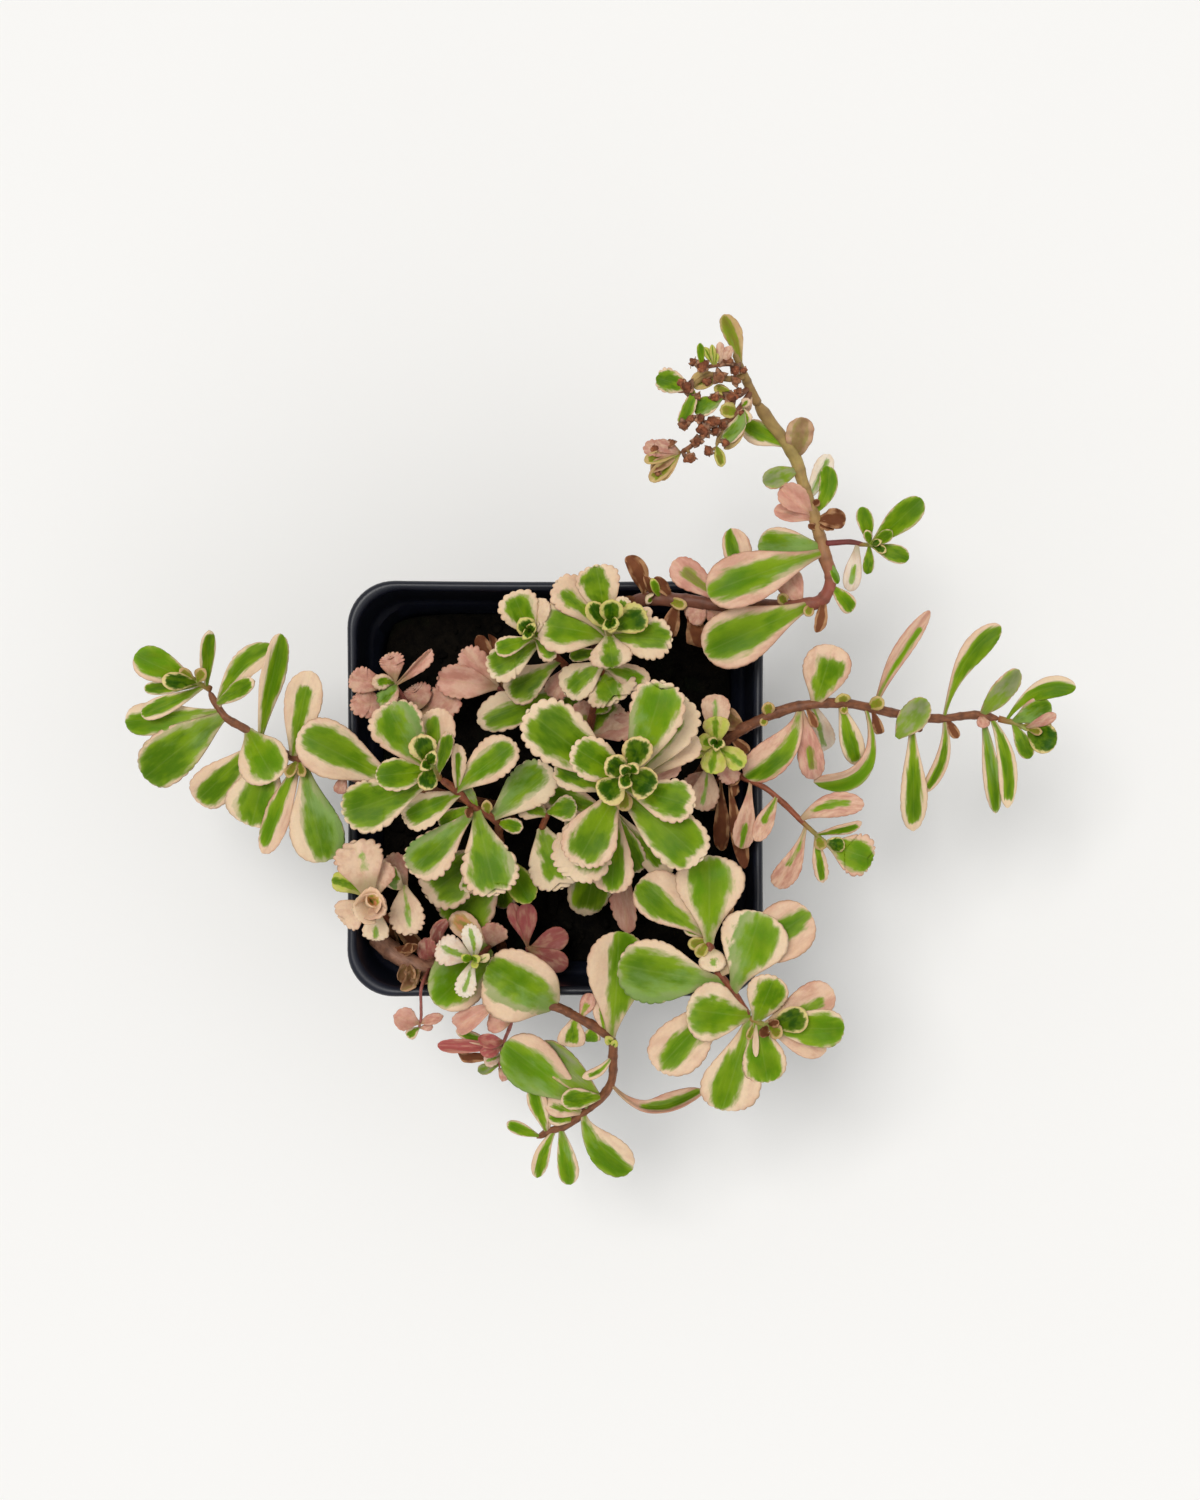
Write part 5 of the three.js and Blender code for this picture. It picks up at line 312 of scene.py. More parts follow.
  ["Y3b","Yc",[712,748,689,752],16,{"k":"Y","g":[0.1,0,0,0.6],"z":100.4,"d":2.4,"r":-7},""],
  ["Y4","Yc",[716,746,711,774],26,{"k":"Y","g":[0.32,0,0,1],"z":104.3,"d":2.6,"r":8},""],
  ["Y5","Yc",[720,745,744,767],24,{"k":"Y","g":[0.3,0,0,0.9],"z":101.7,"d":2.8,"r":4},""],
  ["Y6","Yc",[717,743,709,740],10,{"k":"K","z":106.38,"d":3.3,"c":0.5,"r":-8},""],
  ["Y6b","Yc",[717,743,724,745],10,{"k":"K","z":106.38,"d":3.3,"c":0.5,"r":-6},""],
  ["Y6c","Yc",[717,743,716,750],9,{"k":"K","z":106.12,"d":3.3,"c":0.5,"r":4},""],
  ["Y7","Yc",[720,752,734,784],22,{"k":"P","z":97.8,"d":-1.7,"r":5},""],
  ["U1","SY",[709,766,702,811],28,{"k":"C","g":[0.18,0,0,0.9],"z":88,"d":1.2,"o":0.12,"p":0.6,"r":3},""],
  ["U2","SY",[706,772,690,790],24,{"k":"P","o":0.3,"z":84,"d":-1.9,"r":-3},""],
  ["U3","SY",[704,776,720,812],20,{"k":"D","z":82,"d":-2.7,"r":-6},""],
  ["K1","SF",[822,552,707,593],56,{"k":"N","g":[0.56,0,0,1],"b":0.4,"z":104.3,"d":5.7,"s":"s","p":0.7,"r":9},"flowering_branch_leaf_1"],
  ["K2","SF",[812,603,704,653],58,{"k":"G","g":[0.7,0.05,0,0.97],"z":101.05,"d":1.9,"s":"s","p":0.6,"r":-6},"flowering_branch_leaf_2"],
  ["K3","SF",[822,548,757,546],36,{"k":"N","g":[0.8,0,0,0.95],"z":104.3,"d":-2,"b":1.3,"p":0.3,"r":-3},""],
  ["K4","SF",[752,606,731,528],28,{"k":"N","g":[0.5,-0.35,0.3,1],"z":100.4,"d":0.9,"p":0.6,"s":"s","r":5},""],
  ["K5","SF",[724,604,673,562],31,{"k":"P","g":[0.35,0,0,0.8],"z":99.75,"d":0.5,"s":"s","r":-4},""],
  ["K6","SF",[801,604,784,571],27,{"k":"P","z":100.4,"d":-0.3,"r":-8},""],
  ["K7","SS",[860,546,849,592],18,{"k":"W","g":[0.3,0,0.4,0.8],"p":0.3,"z":104.95,"d":-2.5,"r":8},""],
  ["K8","SF",[832,586,853,611],18,{"k":"G","z":103,"d":-2.9,"r":-7},""],
  ["K7b","SF",[827,556,838,584],9,{"k":"N","b":1,"g":[0.8,0,0,1],"z":104.3,"d":-0.5,"r":-2},""],
  ["K9","SF",[826,596,817,633],16,{"k":"D","z":101.7,"d":-0.2,"c":0.5,"r":-3},""],
  ["K10","SF",[812,604,806,616],12,{"k":"O","z":100.4,"d":1.6,"c":0.5,"r":-6},""],
  ["K11","SF",[786,606,779,594],12,{"k":"O","z":100.4,"d":2.9,"r":2},""],
  ["K12","SF",[705,603,690,622],24,{"k":"P","o":0.2,"z":99.1,"d":-1.9,"r":9},""],
  ["K13","SF",[690,601,700,650],26,{"k":"D","z":97.8,"d":-6.2,"c":0.3},""],
  ["K14","SF",[680,600,665,640],24,{"k":"D","z":97.8,"d":-6.4,"c":0.4,"r":-1},""],
  ["K15","SF",[672,600,655,577],16,{"k":"D","z":97.8,"d":2,"c":0.5,"r":3},""],
  ["K16","SF",[660,600,652,579],9,{"k":"Y","g":[0.8,0,0,0.9],"z":96.5,"d":5.6,"r":1},""],
  ["K17","SF",[655,600,645,576],12,{"k":"D","z":96.5,"d":3.2,"c":0.5,"r":-2},""],
  ["K18","SF",[645,600,628,556],25,{"k":"D","s":"s","tw":12,"z":95.2,"d":5,"c":0.6,"m":[645,580],"r":4},""],
  ["K19","SF",[642,600,622,604],16,{"k":"D","z":95.2,"d":0.5,"c":0.5,"r":4},""],
  ["K20","SF",[664,600,687,606],12,{"k":"O","z":97.8,"d":3.1,"c":0.5,"r":9},""],
  ["K21","SF",[650,601,648,597],14,{"k":"N","z":96.5,"d":3.9,"r":3},""],
  ["K22","SF",[700,603,721,617],22,{"k":"P","o":0.15,"z":99.1,"d":-3.1,"r":2},""],
  ["I12","SF",[799,470,763,482],22,{"k":"U","p":0.8,"z":108.2,"d":2.3,"r":-1},""],
  ["I13","SF",[814,516,780,488],27,{"k":"P","p":0.5,"s":"s","z":105.6,"d":3.7,"c":0.1,"f":0.9,"r":-4},""],
  ["I13b","SF",[815,520,774,510],19,{"k":"P","p":0.6,"s":"s","z":104.95,"d":2.4,"c":0.1,"f":0.9},""],
  ["I14","SF",[808,500,829,456],20,{"k":"W","p":0.2,"b":0.8,"z":106.9,"d":-2.5,"r":7},""],
  ["I15","SF",[813,513,825,467],20,{"k":"G","g":[0.95,0,0,1],"z":105.6,"d":0,"m":[834,492],"r":9},""],
  ["I16","SF",[812,506,820,500],10,{"k":"D","z":106.25,"d":2.8,"c":0.5,"r":8},""],
  ["I17","SF",[815,520,846,519],26,{"k":"D","z":105.6,"d":2.1,"c":0.5,"r":-7},""],
  ["I18","SF",[816,522,834,530],16,{"k":"D","z":105.6,"d":1.8,"c":0.5,"r":-9},""],
  ["I19","SF",[818,530,808,524],10,{"k":"D","z":105.6,"d":2.8,"c":0.5,"r":-3},""],
  ["I20","J0",[752,396,742,414],12,{"k":"C","p":0.6,"d":0,"z":119.38,"g":[0,0,0,0],"c":0.5,"r":9},""],
  ["I3","SF",[799,456,801,417],29,{"k":"D","t":1,"c":0.12,"z":109.5,"d":4.8,"s":"r","r":6},""],
  ["I2","SF",[789,450,743,426],24,{"k":"G","g":[0.7,0.15,0,1],"b":0.4,"z":110.15,"d":1.4,"s":"s","r":-5},""],
  ["SS1","SSc",[872,546,861,507],17,{"k":"G","g":[0.9,0,0,1],"z":108.2,"d":3.1,"r":3},""],
  ["SS2","SSc",[873,545,922,499],28,{"k":"G","g":[0.95,0,0,1],"z":109.5,"d":7.1,"r":-1},""],
  ["SS3","SSc",[873,545,892,531],13,{"k":"G","o":0.25,"g":[0.95,0,0,1],"z":110.15,"d":5.4,"r":8},""],
  ["SS4","SSc",[872,546,909,559],18,{"k":"G","g":[0.92,0,0,1],"z":108.85,"d":1.5,"r":2},""],
  ["SS5","SSc",[872,545,881,541],8,{"k":"K","z":110.54,"d":3.4,"c":0.5,"r":-5},""],
  ["SS6","SSc",[871,546,867,574],12,{"k":"G","g":[0.9,0,0,1],"z":108.2,"d":-0.4,"r":2},""],
  ["SS7","SSc",[870,545,866,530],9,{"k":"G","z":108.85,"d":3.6,"r":-4},""],
  ["SS8","SSc",[872,545,886,552],9,{"k":"K","z":110.15,"d":2.9,"r":6},""],
  ["L1","SH",[816,705,833,645],47,{"k":"N","g":[0.62,0.12,0.04,0.76],"p":0.55,"d":5.4,"s":"o","r":-1},"right_branch_leaf_1"],
  ["L2","SH",[873,708,930,611],18,{"k":"N","tw":60,"p":0.8,"g":[0.35,0.3,0,0.8],"o":0.12,"d":10.5,"a":2,"m":[892,655],"r":-3},""],
  ["L3","SH",[897,738,926,699],29,{"k":"U","d":0.7,"z":94.55,"a":0.1,"s":"e","p":0.5,"c":0.05,"v":1.1,"r":-2},""],
  ["L4","SH",[943,718,1001,626],25,{"k":"G","g":[0.8,0.28,0,1],"m":[956,652],"d":9.1,"s":"s","p":0.5,"r":1},"right_branch_leaf_2"],
  ["L5","SH",[980,715,1020,670],23,{"k":"U","d":4.1,"p":0.7,"s":"e","r":9},""],
  ["L5b","SH",[980,715,984,728],14,{"k":"P","d":2.9,"r":-9},""],
  ["L6","SHc",[1005,720,1076,688],22,{"k":"G","g":[0.85,0.3,0,1],"m":[1030,680],"z":89.6,"d":7.5,"s":"s","r":-3},"right_branch_leaf_3"],
  ["L7","SHc",[1013,720,1051,704],24,{"k":"N","g":[0.85,0,0,1],"b":1,"p":0.6,"z":88.6,"d":4.6,"r":2},""],
  ["L7b","SHc",[1022,728,1052,728],20,{"k":"O","z":88.6,"d":2.7,"c":0.3,"r":5},""],
  ["L7c","SHc",[1030,735,1056,744],30,{"k":"K","g":[0.9,-0.05,0,1],"z":88.6,"d":4.1,"s":"r","c":0.3,"r":4},""],
  ["L7d","SHc",[1012,722,1030,759],17,{"k":"G","g":[0.9,0,0,1],"z":88.6,"d":0.1,"r":4},""],
  ["L7e","SHc",[1026,730,1056,714],12,{"k":"P","z":88.6,"d":5.8,"o":0.2,"r":8},""],
  ["L7f","SHc",[1030,731,1042,732],9,{"k":"O","z":88.6,"d":5,"c":0.5,"r":4},""],
  ["L8a","SH",[911,717,913,829],28,{"k":"N","g":[0.6,0,0,0.9],"d":-12,"s":"s","p":0.2,"r":3},"right_branch_leaf_4"],
  ["L8b","SH",[943,718,924,792],16,{"k":"N","m":[950,758],"d":-5.5,"p":0.4,"g":[0.5,0,0,0.9],"o":0.15,"r":1},""],
  ["L9a","SH",[983,716,996,811],17,{"k":"N","g":[0.7,-0.1,0,0.95],"d":-7.5,"b":0.9,"r":18},""],
  ["L9b","SH",[990,717,1007,806],19,{"k":"N","g":[0.65,0,0,0.9],"d":-5.1,"m":[1010,750],"r":2},""],
  ["L10a","SH",[840,704,858,766],24,{"k":"N","g":[0.6,0.1,0,0.9],"d":-5.8,"o":0.1,"r":4},""],
  ["L10b","SH",[866,707,813,784],28,{"k":"N","m":[888,782],"d":-7.5,"r":-40,"p":0.6,"g":[0.6,-0.4,0,1],"s":"s"},"right_branch_leaf_5"],
  ["L11","SH",[800,707,743,776],38,{"k":"N","m":[798,745],"g":[0.5,-0.35,0,1],"p":0.85,"d":-3.9,"s":"s","r":-1},""],
  ["L12","SH",[801,708,815,782],26,{"k":"P","p":0.9,"g":[0.3,0,0.5,0.8],"d":-9.3,"r":4},""],
  ["L13","SH",[812,706,825,752],27,{"k":"W","d":-18.7,"o":0.1,"r":2},""],
  ["L14","SH",[768,716,768,702],14,{"k":"O","d":2.9,"c":0.5,"r":-1},""],
  ["L15","SH",[766,717,762,726],9,{"k":"O","d":1.5,"r":4},""],
  ["L16","SH",[843,704,842,694],16,{"k":"O","d":2.8,"c":0.5,"y":0.5,"r":-4},""],
  ["L17","SH",[868,708,884,700],15,{"k":"O","d":3,"c":0.5,"y":0.3,"r":-3},""],
  ["L18","SH",[806,708,817,727],12,{"k":"D","d":-0.7,"c":0.5,"r":-7},""],
  ["L19","SH",[872,711,881,736],14,{"k":"D","d":-1.8,"c":0.5,"r":-7},""],
  ["L20","SH",[905,716,921,731],14,{"k":"D","d":-0.7,"c":0.5,"r":-4},""],
  ["L21","SH",[945,719,958,738],14,{"k":"D","d":-0.6,"c":0.5,"r":6},""],
  ["L22","SH",[846,706,842,714],9,{"k":"O","d":1.5,"r":7},""],
  ["L23","SH",[730,737,748,752],16,{"k":"D","d":-1.9,"r":8},""],
  ["L24","SH",[744,729,722,716],34,{"k":"D","t":0.4,"d":-3.1,"o":0.1,"r":-4},""],
  ["S8a","S8",[776,797,755,841],19,{"k":"N","z":97.8,"d":3.8,"g":[0.35,0.1,0,0.6],"p":0.8,"f":0.5},""],
  ["S8b","S8",[753,782,741,849],21,{"k":"N","p":0.9,"z":95.2,"d":-0.7,"g":[0.3,0,0.6,1],"s":"s","f":0.5,"r":5},""],
  ["S8c","S8",[802,821,864,805],24,{"k":"N","p":0.9,"m":[822,800],"z":97.8,"d":4.2,"g":[0.35,-0.1,0.2,0.8],"r":-3},""],
  ["S8d","S8c",[816,834,862,824],14,{"k":"N","p":0.5,"z":99.1,"d":4.8,"r":36},""],
  ["S8e","S8c",[830,845,873,860],42,{"k":"G","g":[0.75,0.05,0,1],"p":0.6,"z":100.4,"d":1.7,"r":-1},""],
  ["S8f","S8c",[829,850,842,839],19,{"k":"K","z":101.7,"d":3.7,"c":0.35,"s":"r","g":[0.82,0,0,1],"r":6},""],
  ["S8g","S8c",[814,834,823,883],15,{"k":"N","p":0.5,"z":99.1,"d":-2.6,"g":[0.5,0,0,0.9],"r":2},""],
  ["S8h","S8",[805,824,776,884],24,{"k":"N","p":0.95,"g":[0.25,0.2,0,0.6],"m":[796,862],"z":97.8,"d":-5.7,"s":"s","f":0.4,"r":-1},""],
  ["S8i","S8c",[818,836,822,850],14,{"k":"O","o":0.3,"z":99.1,"d":2.1,"r":-4},""],
  ["S8j","S8",[735,776,734,797],12,{"k":"D","z":91.3,"d":-0.7,"c":0.5,"r":-4},""],
  ["S8k","S8",[742,778,728,784],12,{"k":"D","z":93.9,"d":0.4,"c":0.4,"r":5},""],
  ["S8l","S8",[722,778,745,865],20,{"k":"D","z":90,"d":-1.4,"s":"s","r":-4},""],
  ["S8m","S8",[720,780,722,850],22,{"k":"D","z":84,"d":-3.2,"s":"s","r":-1},""],
  ["Q1","S9",[703,938,641,878],52,{"k":"N","g":[0.55,-0.3,0,0.97],"p":0.4,"z":103,"d":2.3,"s":"s","r":4},"lower_right_branch_leaf_1"],
  ["Q2","S9",[709,945,709,855],67,{"k":"G","g":[0.66,0,0,0.97],"z":104.3,"d":3.6,"s":"s","r":2},"lower_right_branch_leaf_2"],
  ["Q3","S9",[736,990,761,912],68,{"k":"N","g":[0.58,0.2,0,0.95],"b":0.8,"ps":-1,"z":104.3,"d":4.7,"s":"s","r":-7},"lower_right_branch_leaf_3"],
  ["Q4","S9",[718,972,809,913],58,{"k":"N","g":[0.42,0,0.4,1],"p":0.5,"z":103,"d":0.4,"s":"s","r":-4},""],
  ["Q5","S9",[722,985,618,964],66,{"k":"N","g":[0.72,-0.05,0,0.95],"z":104.3,"d":4.1,"b":0.9,"s":"s"},"lower_right_branch_leaf_4"],
  ["Q6","S10",[612,1040,618,931],62,{"k":"N","m":[618,990],"g":[0.62,0.3,0,1],"z":90,"d":10.4,"s":"s","r":9},"bottom_leaf_4"],
  ["Q7","S9",[728,990,658,1068],56,{"k":"N","g":[0.45,-0.05,0.15,0.95],"p":0.4,"z":103,"d":-1,"s":"s","r":-4},"lower_right_branch_leaf_5"],
  ["Q8","S9",[748,1018,687,1008],58,{"k":"N","g":[0.68,-0.12,0,0.93],"z":104.3,"d":5.4,"s":"o","r":2},""],
  ["Q9","S9",[748,1018,722,1110],58,{"k":"N","g":[0.52,0.14,0,0.97],"z":102.35,"d":-2.5,"s":"s","p":0.3,"r":-7},"lower_right_branch_leaf_6"],
  ["Q10","S9c",[757,1026,768,1081],43,{"k":"G","g":[0.88,0,0,0.97],"z":103,"d":-0.8,"r":8},""],
  ["Q11","S9c",[756,1018,775,976],42,{"k":"G","g":[0.72,0.1,0,0.93],"z":103.65,"d":6.3,"r":-5},""],
  ["Q12a","S9c",[770,1024,833,990],38,{"k":"N","g":[0.3,0.2,0,0.8],"p":0.7,"z":104.3,"d":1.2,"r":-7},""],
  ["Q12b","S9c",[775,1028,845,1028],42,{"k":"G","g":[0.85,0.05,0,1],"z":104.3,"d":4.2,"r":5},""],
  ["Q12c","S9c",[770,1028,826,1051],28,{"k":"C","p":0.6,"z":103.65,"d":-0.7,"g":[0,0,0,0],"r":4},""],
  ["Q13","S9c",[774,1030,805,1010],30,{"k":"K","y":0.1,"o":0.1,"z":105.6,"d":5.9,"c":0.4,"g":[0.82,0,0,0.9],"r":9},""],
  ["Q13b","S9c",[770,1026,782,1036],16,{"k":"O","z":105.6,"d":5.1,"c":0.5,"r":6},""],
  ["Q13c","S9c",[766,1025,762,1038],14,{"k":"D","z":105.6,"d":5,"c":0.5,"r":7},""],
  ["Q13d","S9c",[768,1025,779,1020],13,{"k":"D","z":105.6,"d":5,"c":0.5,"r":-5},""],
  ["Q14","S9",[712,948,714,972],28,{"k":"C","g":[0.35,0,0.4,0.75],"z":105.6,"d":3.1,"s":"r","r":1},""],
  ["Q15","S9",[707,941,688,945],14,{"k":"O","y":0.5,"z":104.3,"d":1.8,"c":0.5,"r":-1},""],
  ["Q15b","S9",[707,942,697,957],13,{"k":"O","y":0.5,"z":104.3,"d":1.7,"c":0.5,"r":1},""],
  ["Q17","S9",[706,938,684,926],12,{"k":"N","z":103,"d":-1.8,"g":[0.6,0,0,1],"r":-8},""],
  ["Q18","S9c",[754,1022,756,1057],7,{"k":"C","g":[0,0,0,0],"z":104.3,"d":2.8,"r":-3},""],
  ["Q19","S9c",[754,1022,748,1040],8,{"k":"O","z":103.65,"d":0.7,"r":4},""],
  ["Q20","S9",[690,915,738,905],18,{"k":"D","z":99.1,"d":-3.7,"r":-2},""],
  ["Q21","S9",[688,912,735,862],24,{"k":"D","z":97.8,"d":-5.7,"r":1},""],
  ["I1","J0",[741,372,723,315],20,{"k":"O","c":0.2,"y":0.1,"p":0.6,"g":[0.62,-0.18,0,0.95],"b":0.5,"d":4,"z":123.8,"s":"s","m":[738,344],"r":8},""],
  ["I4","J3",[744,410,748,398],10,{"k":"N","d":2,"g":[0.4,0,0,0.8]},""],
  ["I4b","J3",[742,408,746,424],16,{"k":"N","d":-1,"g":[0.5,0,0,0.9]},""],
  ["I5","J3",[736,412,720,410],17,{"k":"O","y":0.6,"d":2,"s":"r"},""],
  ["I6","J3",[742,407,721,441],18,{"k":"N","d":1,"g":[0.6,0,0,0.9],"b":1,"o":0.2,"m":[744,428],"r":6},""],
  ["I6b","J3",[742,408,724,449],10,{"k":"O","y":0.1,"d":0,"m":[746,436],"g":[0,0,0,0],"r":-2},""],
  ["I7","J2",[722,398,695,413],20,{"k":"N","d":1,"g":[0.75,0.25,0,1],"b":0.8,"r":8},""],
  ["I8","J1",[692,387,679,425],14,{"k":"G","d":-1,"m":[696,400],"r":3},""],
  ["I9","J1",[690,388,656,378],25,{"k":"G","d":1,"g":[0.8,0,0,1],"r":-3},""],
  ["I10","J6",[702,368,700,343],8,{"k":"Y","d":3,"g":[0.9,0,0,1],"r":4},""],
  ["I11a","J6",[714,366,704,347],8,{"k":"Y","d":3,"g":[0.2,0,0,1],"r":-8},""],
  ["I11b","J6",[714,366,712,345],7,{"k":"Y","d":4,"g":[0.2,0,0,1],"r":-1},""],
  ["I11c","J6",[720,365,720,342],9,{"k":"C","d":3,"p":0.8,"g":[0,0,0,0],"r":4},""],
  ["I11d","J6",[722,365,731,346],10,{"k":"C","d":3,"p":0.8,"g":[0,0,0,0],"r":3},""],
  ["I11e","J6",[716,366,716,352],7,{"k":"Y","d":2,"g":[0.2,0,0,1]},""],
  ["I12a","J1",[716,376,692,385],10,{"k":"O","y":0.1,"d":1,"m":[700,370],"g":[0,0,0,0],"r":-4},""],
  ["I12b","J1",[716,386,692,382],17,{"k":"O","y":0.3,"g":[0.3,0,0,0.8],"d":0,"r":4},""],
  ["I12c","J2",[736,397,714,387],11,{"k":"O","y":0.6,"d":1,"r":7},""],
  ["I13a","J5",[717,447,722,467],12,{"k":"O","y":0.9,"d":0,"s":"e","r":-3},""],
  ["I14a","J3",[680,453,643,448],17,{"k":"P","o":0.4,"d":1,"c":0.5,"r":4},""],
  ["I14b","J3",[680,453,644,461],13,{"k":"O","y":0.1,"d":1,"c":0.5},""],
  ["I14c","J3",[680,453,650,471],16,{"k":"D","t":0.6,"d":1,"c":0.5,"r":-5},""],
  ["I14d","J3",[680,453,650,481],16,{"k":"O","y":0.1,"d":0,"c":0.5,"r":-8},""],
  ["I14e","J3",[680,453,660,480],12,{"k":"O","d":0,"c":0.4,"r":-1},""],
  ["I14f","J3",[680,453,655,443],14,{"k":"P","o":0.5,"d":2,"c":0.5,"r":-6},""]
]

# dry florets of the flower head: stem, x, y, height, radius
FLORETS = [
  ["J6",702,367,128.74,7.8],
  ["J6",694,363,128.48,5.6],
  ["J6",727,361,127.18,7.8],
  ["J6",735,368,125.62,6.7],
  ["J0",743,370,123.8,4.5],
  ["J1",718,377,126.14,7.8],
  ["J1",707,380,126.14,6.7],
  ["J1",735,381,124.06,5.6],
  ["J1",688,388,127.44,9],
  ["J1",681,383,127.57,6.7],
  ["J1",696,395,126.92,5.6],
  ["J2",730,398,124.32,7.8],
  ["J2",715,397,125.36,5.6],
  ["J2",738,392,123.28,4.5],
  ["J3",740,413,122.5,4.5],
  ["J3",704,431,125.36,7.8],
  ["J3",713,422,125.62,7.8],
  ["J3",698,441,124.84,6.7],
  ["J4",684,425,126.4,6.7],
  ["J4",690,419,126.4,5.6],
  ["J4",700,419,126.14,5.6],
  ["J5",724,443,125.1,5.6],
  ["J5",710,451,124.58,6.7],
  ["J3",690,456,123.54,7.8],
  ["J3",672,444,123.8,5.6],
  ["J3",655,450,123.8,6.7],
  ["J3",659,471,123.02,6.7],
  ["J5",716,432,125.1,5.6],
  ["J3",723,425,124.58,5.6]
]


# ---------------------------------------------------------------- colours
def lin(r, g, b):
    out = []
    for c in (r, g, b):
        c /= 255
        out.append(c / 12.92 if c <= 0.04045 else ((c + 0.055) / 1.055) ** 2.4)
    return np.array(out)


CREAM = lin(238, 219, 184)
WARM = lin(228, 192, 158)
PINK = lin(218, 164, 146)
ROSE = lin(178, 92, 92)
GREEN = lin(92, 134, 0)
DEEP = lin(64, 104, 0)
YOUNG = lin(36, 78, 0)
RIM = lin(226, 208, 140)
LIME = lin(192, 200, 84)
PALE = lin(132, 164, 88)
OLIVE = lin(140, 128, 62)
TAN = lin(172, 128, 88)
UMBER = lin(104, 56, 34)
GREY = lin(146, 150, 108)
ORANGE = lin(226, 148, 108)

BARK = {
    "b": (lin(118, 70, 44), lin(138, 86, 54)),
    "r": (lin(108, 58, 38), lin(156, 84, 54)),
    "p": (lin(146, 76, 64), lin(180, 102, 94)),
    "w": (lin(150, 108, 86), lin(186, 138, 112)),
    "g": (lin(150, 92, 52), lin(150, 170, 80)),
    "t": (lin(152, 118, 68), lin(160, 134, 78)),
    "d": (lin(128, 80, 52), lin(146, 94, 60)),
    "m": (lin(124, 56, 54), lin(112, 54, 46)),
    "f": (lin(104, 62, 44), lin(110, 66, 48), lin(114, 68, 50), lin(116, 68, 50), lin(122, 72, 54), lin(152, 82, 66), lin(172, 138, 86), lin(172, 150, 86), lin(156, 124, 74)),
}


# ---------------------------------------------------------------- curves
def catmull(points, count):
    pts = [np.array(p, float) for p in points]
    n = len(pts)
    out = []
    for k in range(count + 1):
        p = (n - 1) * k / count
        i = min(int(p), n - 2)
        w = p - i
        p1, p2 = pts[i], pts[i + 1]
        p0 = pts[i - 1] if i > 0 else 2 * pts[0] - pts[1]
        p3 = pts[i + 2] if i + 2 < n else 2 * pts[-1] - pts[-2]
        d0 = np.sum((p1 - p0) ** 2) ** 0.25
        d1 = np.sum((p2 - p1) ** 2) ** 0.25
        d2 = np.sum((p3 - p2) ** 2) ** 0.25
        d1 = d1 if d1 > 1e-4 else 1.0
        d0 = d0 if d0 > 1e-4 else d1
        d2 = d2 if d2 > 1e-4 else d1
        t1 = ((p1 - p0) / d0 - (p2 - p0) / (d0 + d1) + (p2 - p1) / d1) * d1
        t2 = ((p2 - p1) / d1 - (p3 - p1) / (d1 + d2) + (p3 - p2) / d2) * d1
        c2 = -3 * p1 + 3 * p2 - 2 * t1 - t2
        c3 = 2 * p1 - 2 * p2 + t1 + t2
        out.append(p1 + t1 * w + c2 * w * w + c3 * w ** 3)
    return np.array(out)


def unit(v):
    l = np.linalg.norm(v)
    return v / l if l > 1e-9 else v


def resample(pts, step, least=6):
    seg = np.linalg.norm(np.diff(pts, axis=0), axis=1)
    s = np.concatenate([[0], np.cumsum(seg)])
    n = max(least, int(s[-1] / step))
    u = np.linspace(0, s[-1], n + 1)
    return np.stack([np.interp(u, s, pts[:, k]) for k in range(3)], 1), s[-1]


stem_table = {}
for name, piece, r0, r1, kind, pts in STEMS:
    v = [at(*p) for p in pts]
    stem_table[name] = {"piece": piece, "r0": r0, "r1": r1, "kind": kind, "dense": catmull(v, len(v) * 12)}


# ---------------------------------------------------------------- mesh gathering
class Skin:
    """Vertices, faces, material numbers and per-point values of one piece."""

    KEYS = ("la", "lb", "ca", "cb")

    def __init__(self):
        self.v, self.f, self.m = [], [], []
        self.a = {k: [] for k in self.KEYS}
        self.n = 0

    def add(self, verts, faces, mat, **attrs):
        verts = np.asarray(verts, float)
        self.v.append(verts)
        self.f.extend([tuple(int(i) + self.n for i in f) for f in faces])
        self.m.extend([mat] * len(faces))
        for k in self.KEYS:
            a = attrs.get(k)
            a = np.zeros((len(verts), 4)) if a is None else np.broadcast_to(np.asarray(a, float), (len(verts), 4))
            self.a[k].append(a)
        self.n += len(verts)

    def build(self, name, mats):
        me = bpy.data.meshes.new(name)
        v = np.concatenate(self.v) * MM
        me.from_pydata(v.tolist(), [], self.f)
        for m in mats:
            me.materials.append(m)
        me.polygons.foreach_set("material_index", self.m)
        me.polygons.foreach_set("use_smooth", [True] * len(self.f))
        for k in self.KEYS:
            at_ = me.attributes.new(k, "FLOAT_COLOR", "POINT")
            at_.data.foreach_set("color", np.concatenate(self.a[k]).astype(np.float32).ravel())
        me.update()
        ob = bpy.data.objects.new(name, me)
        bpy.context.scene.collection.objects.link(ob)
        return ob


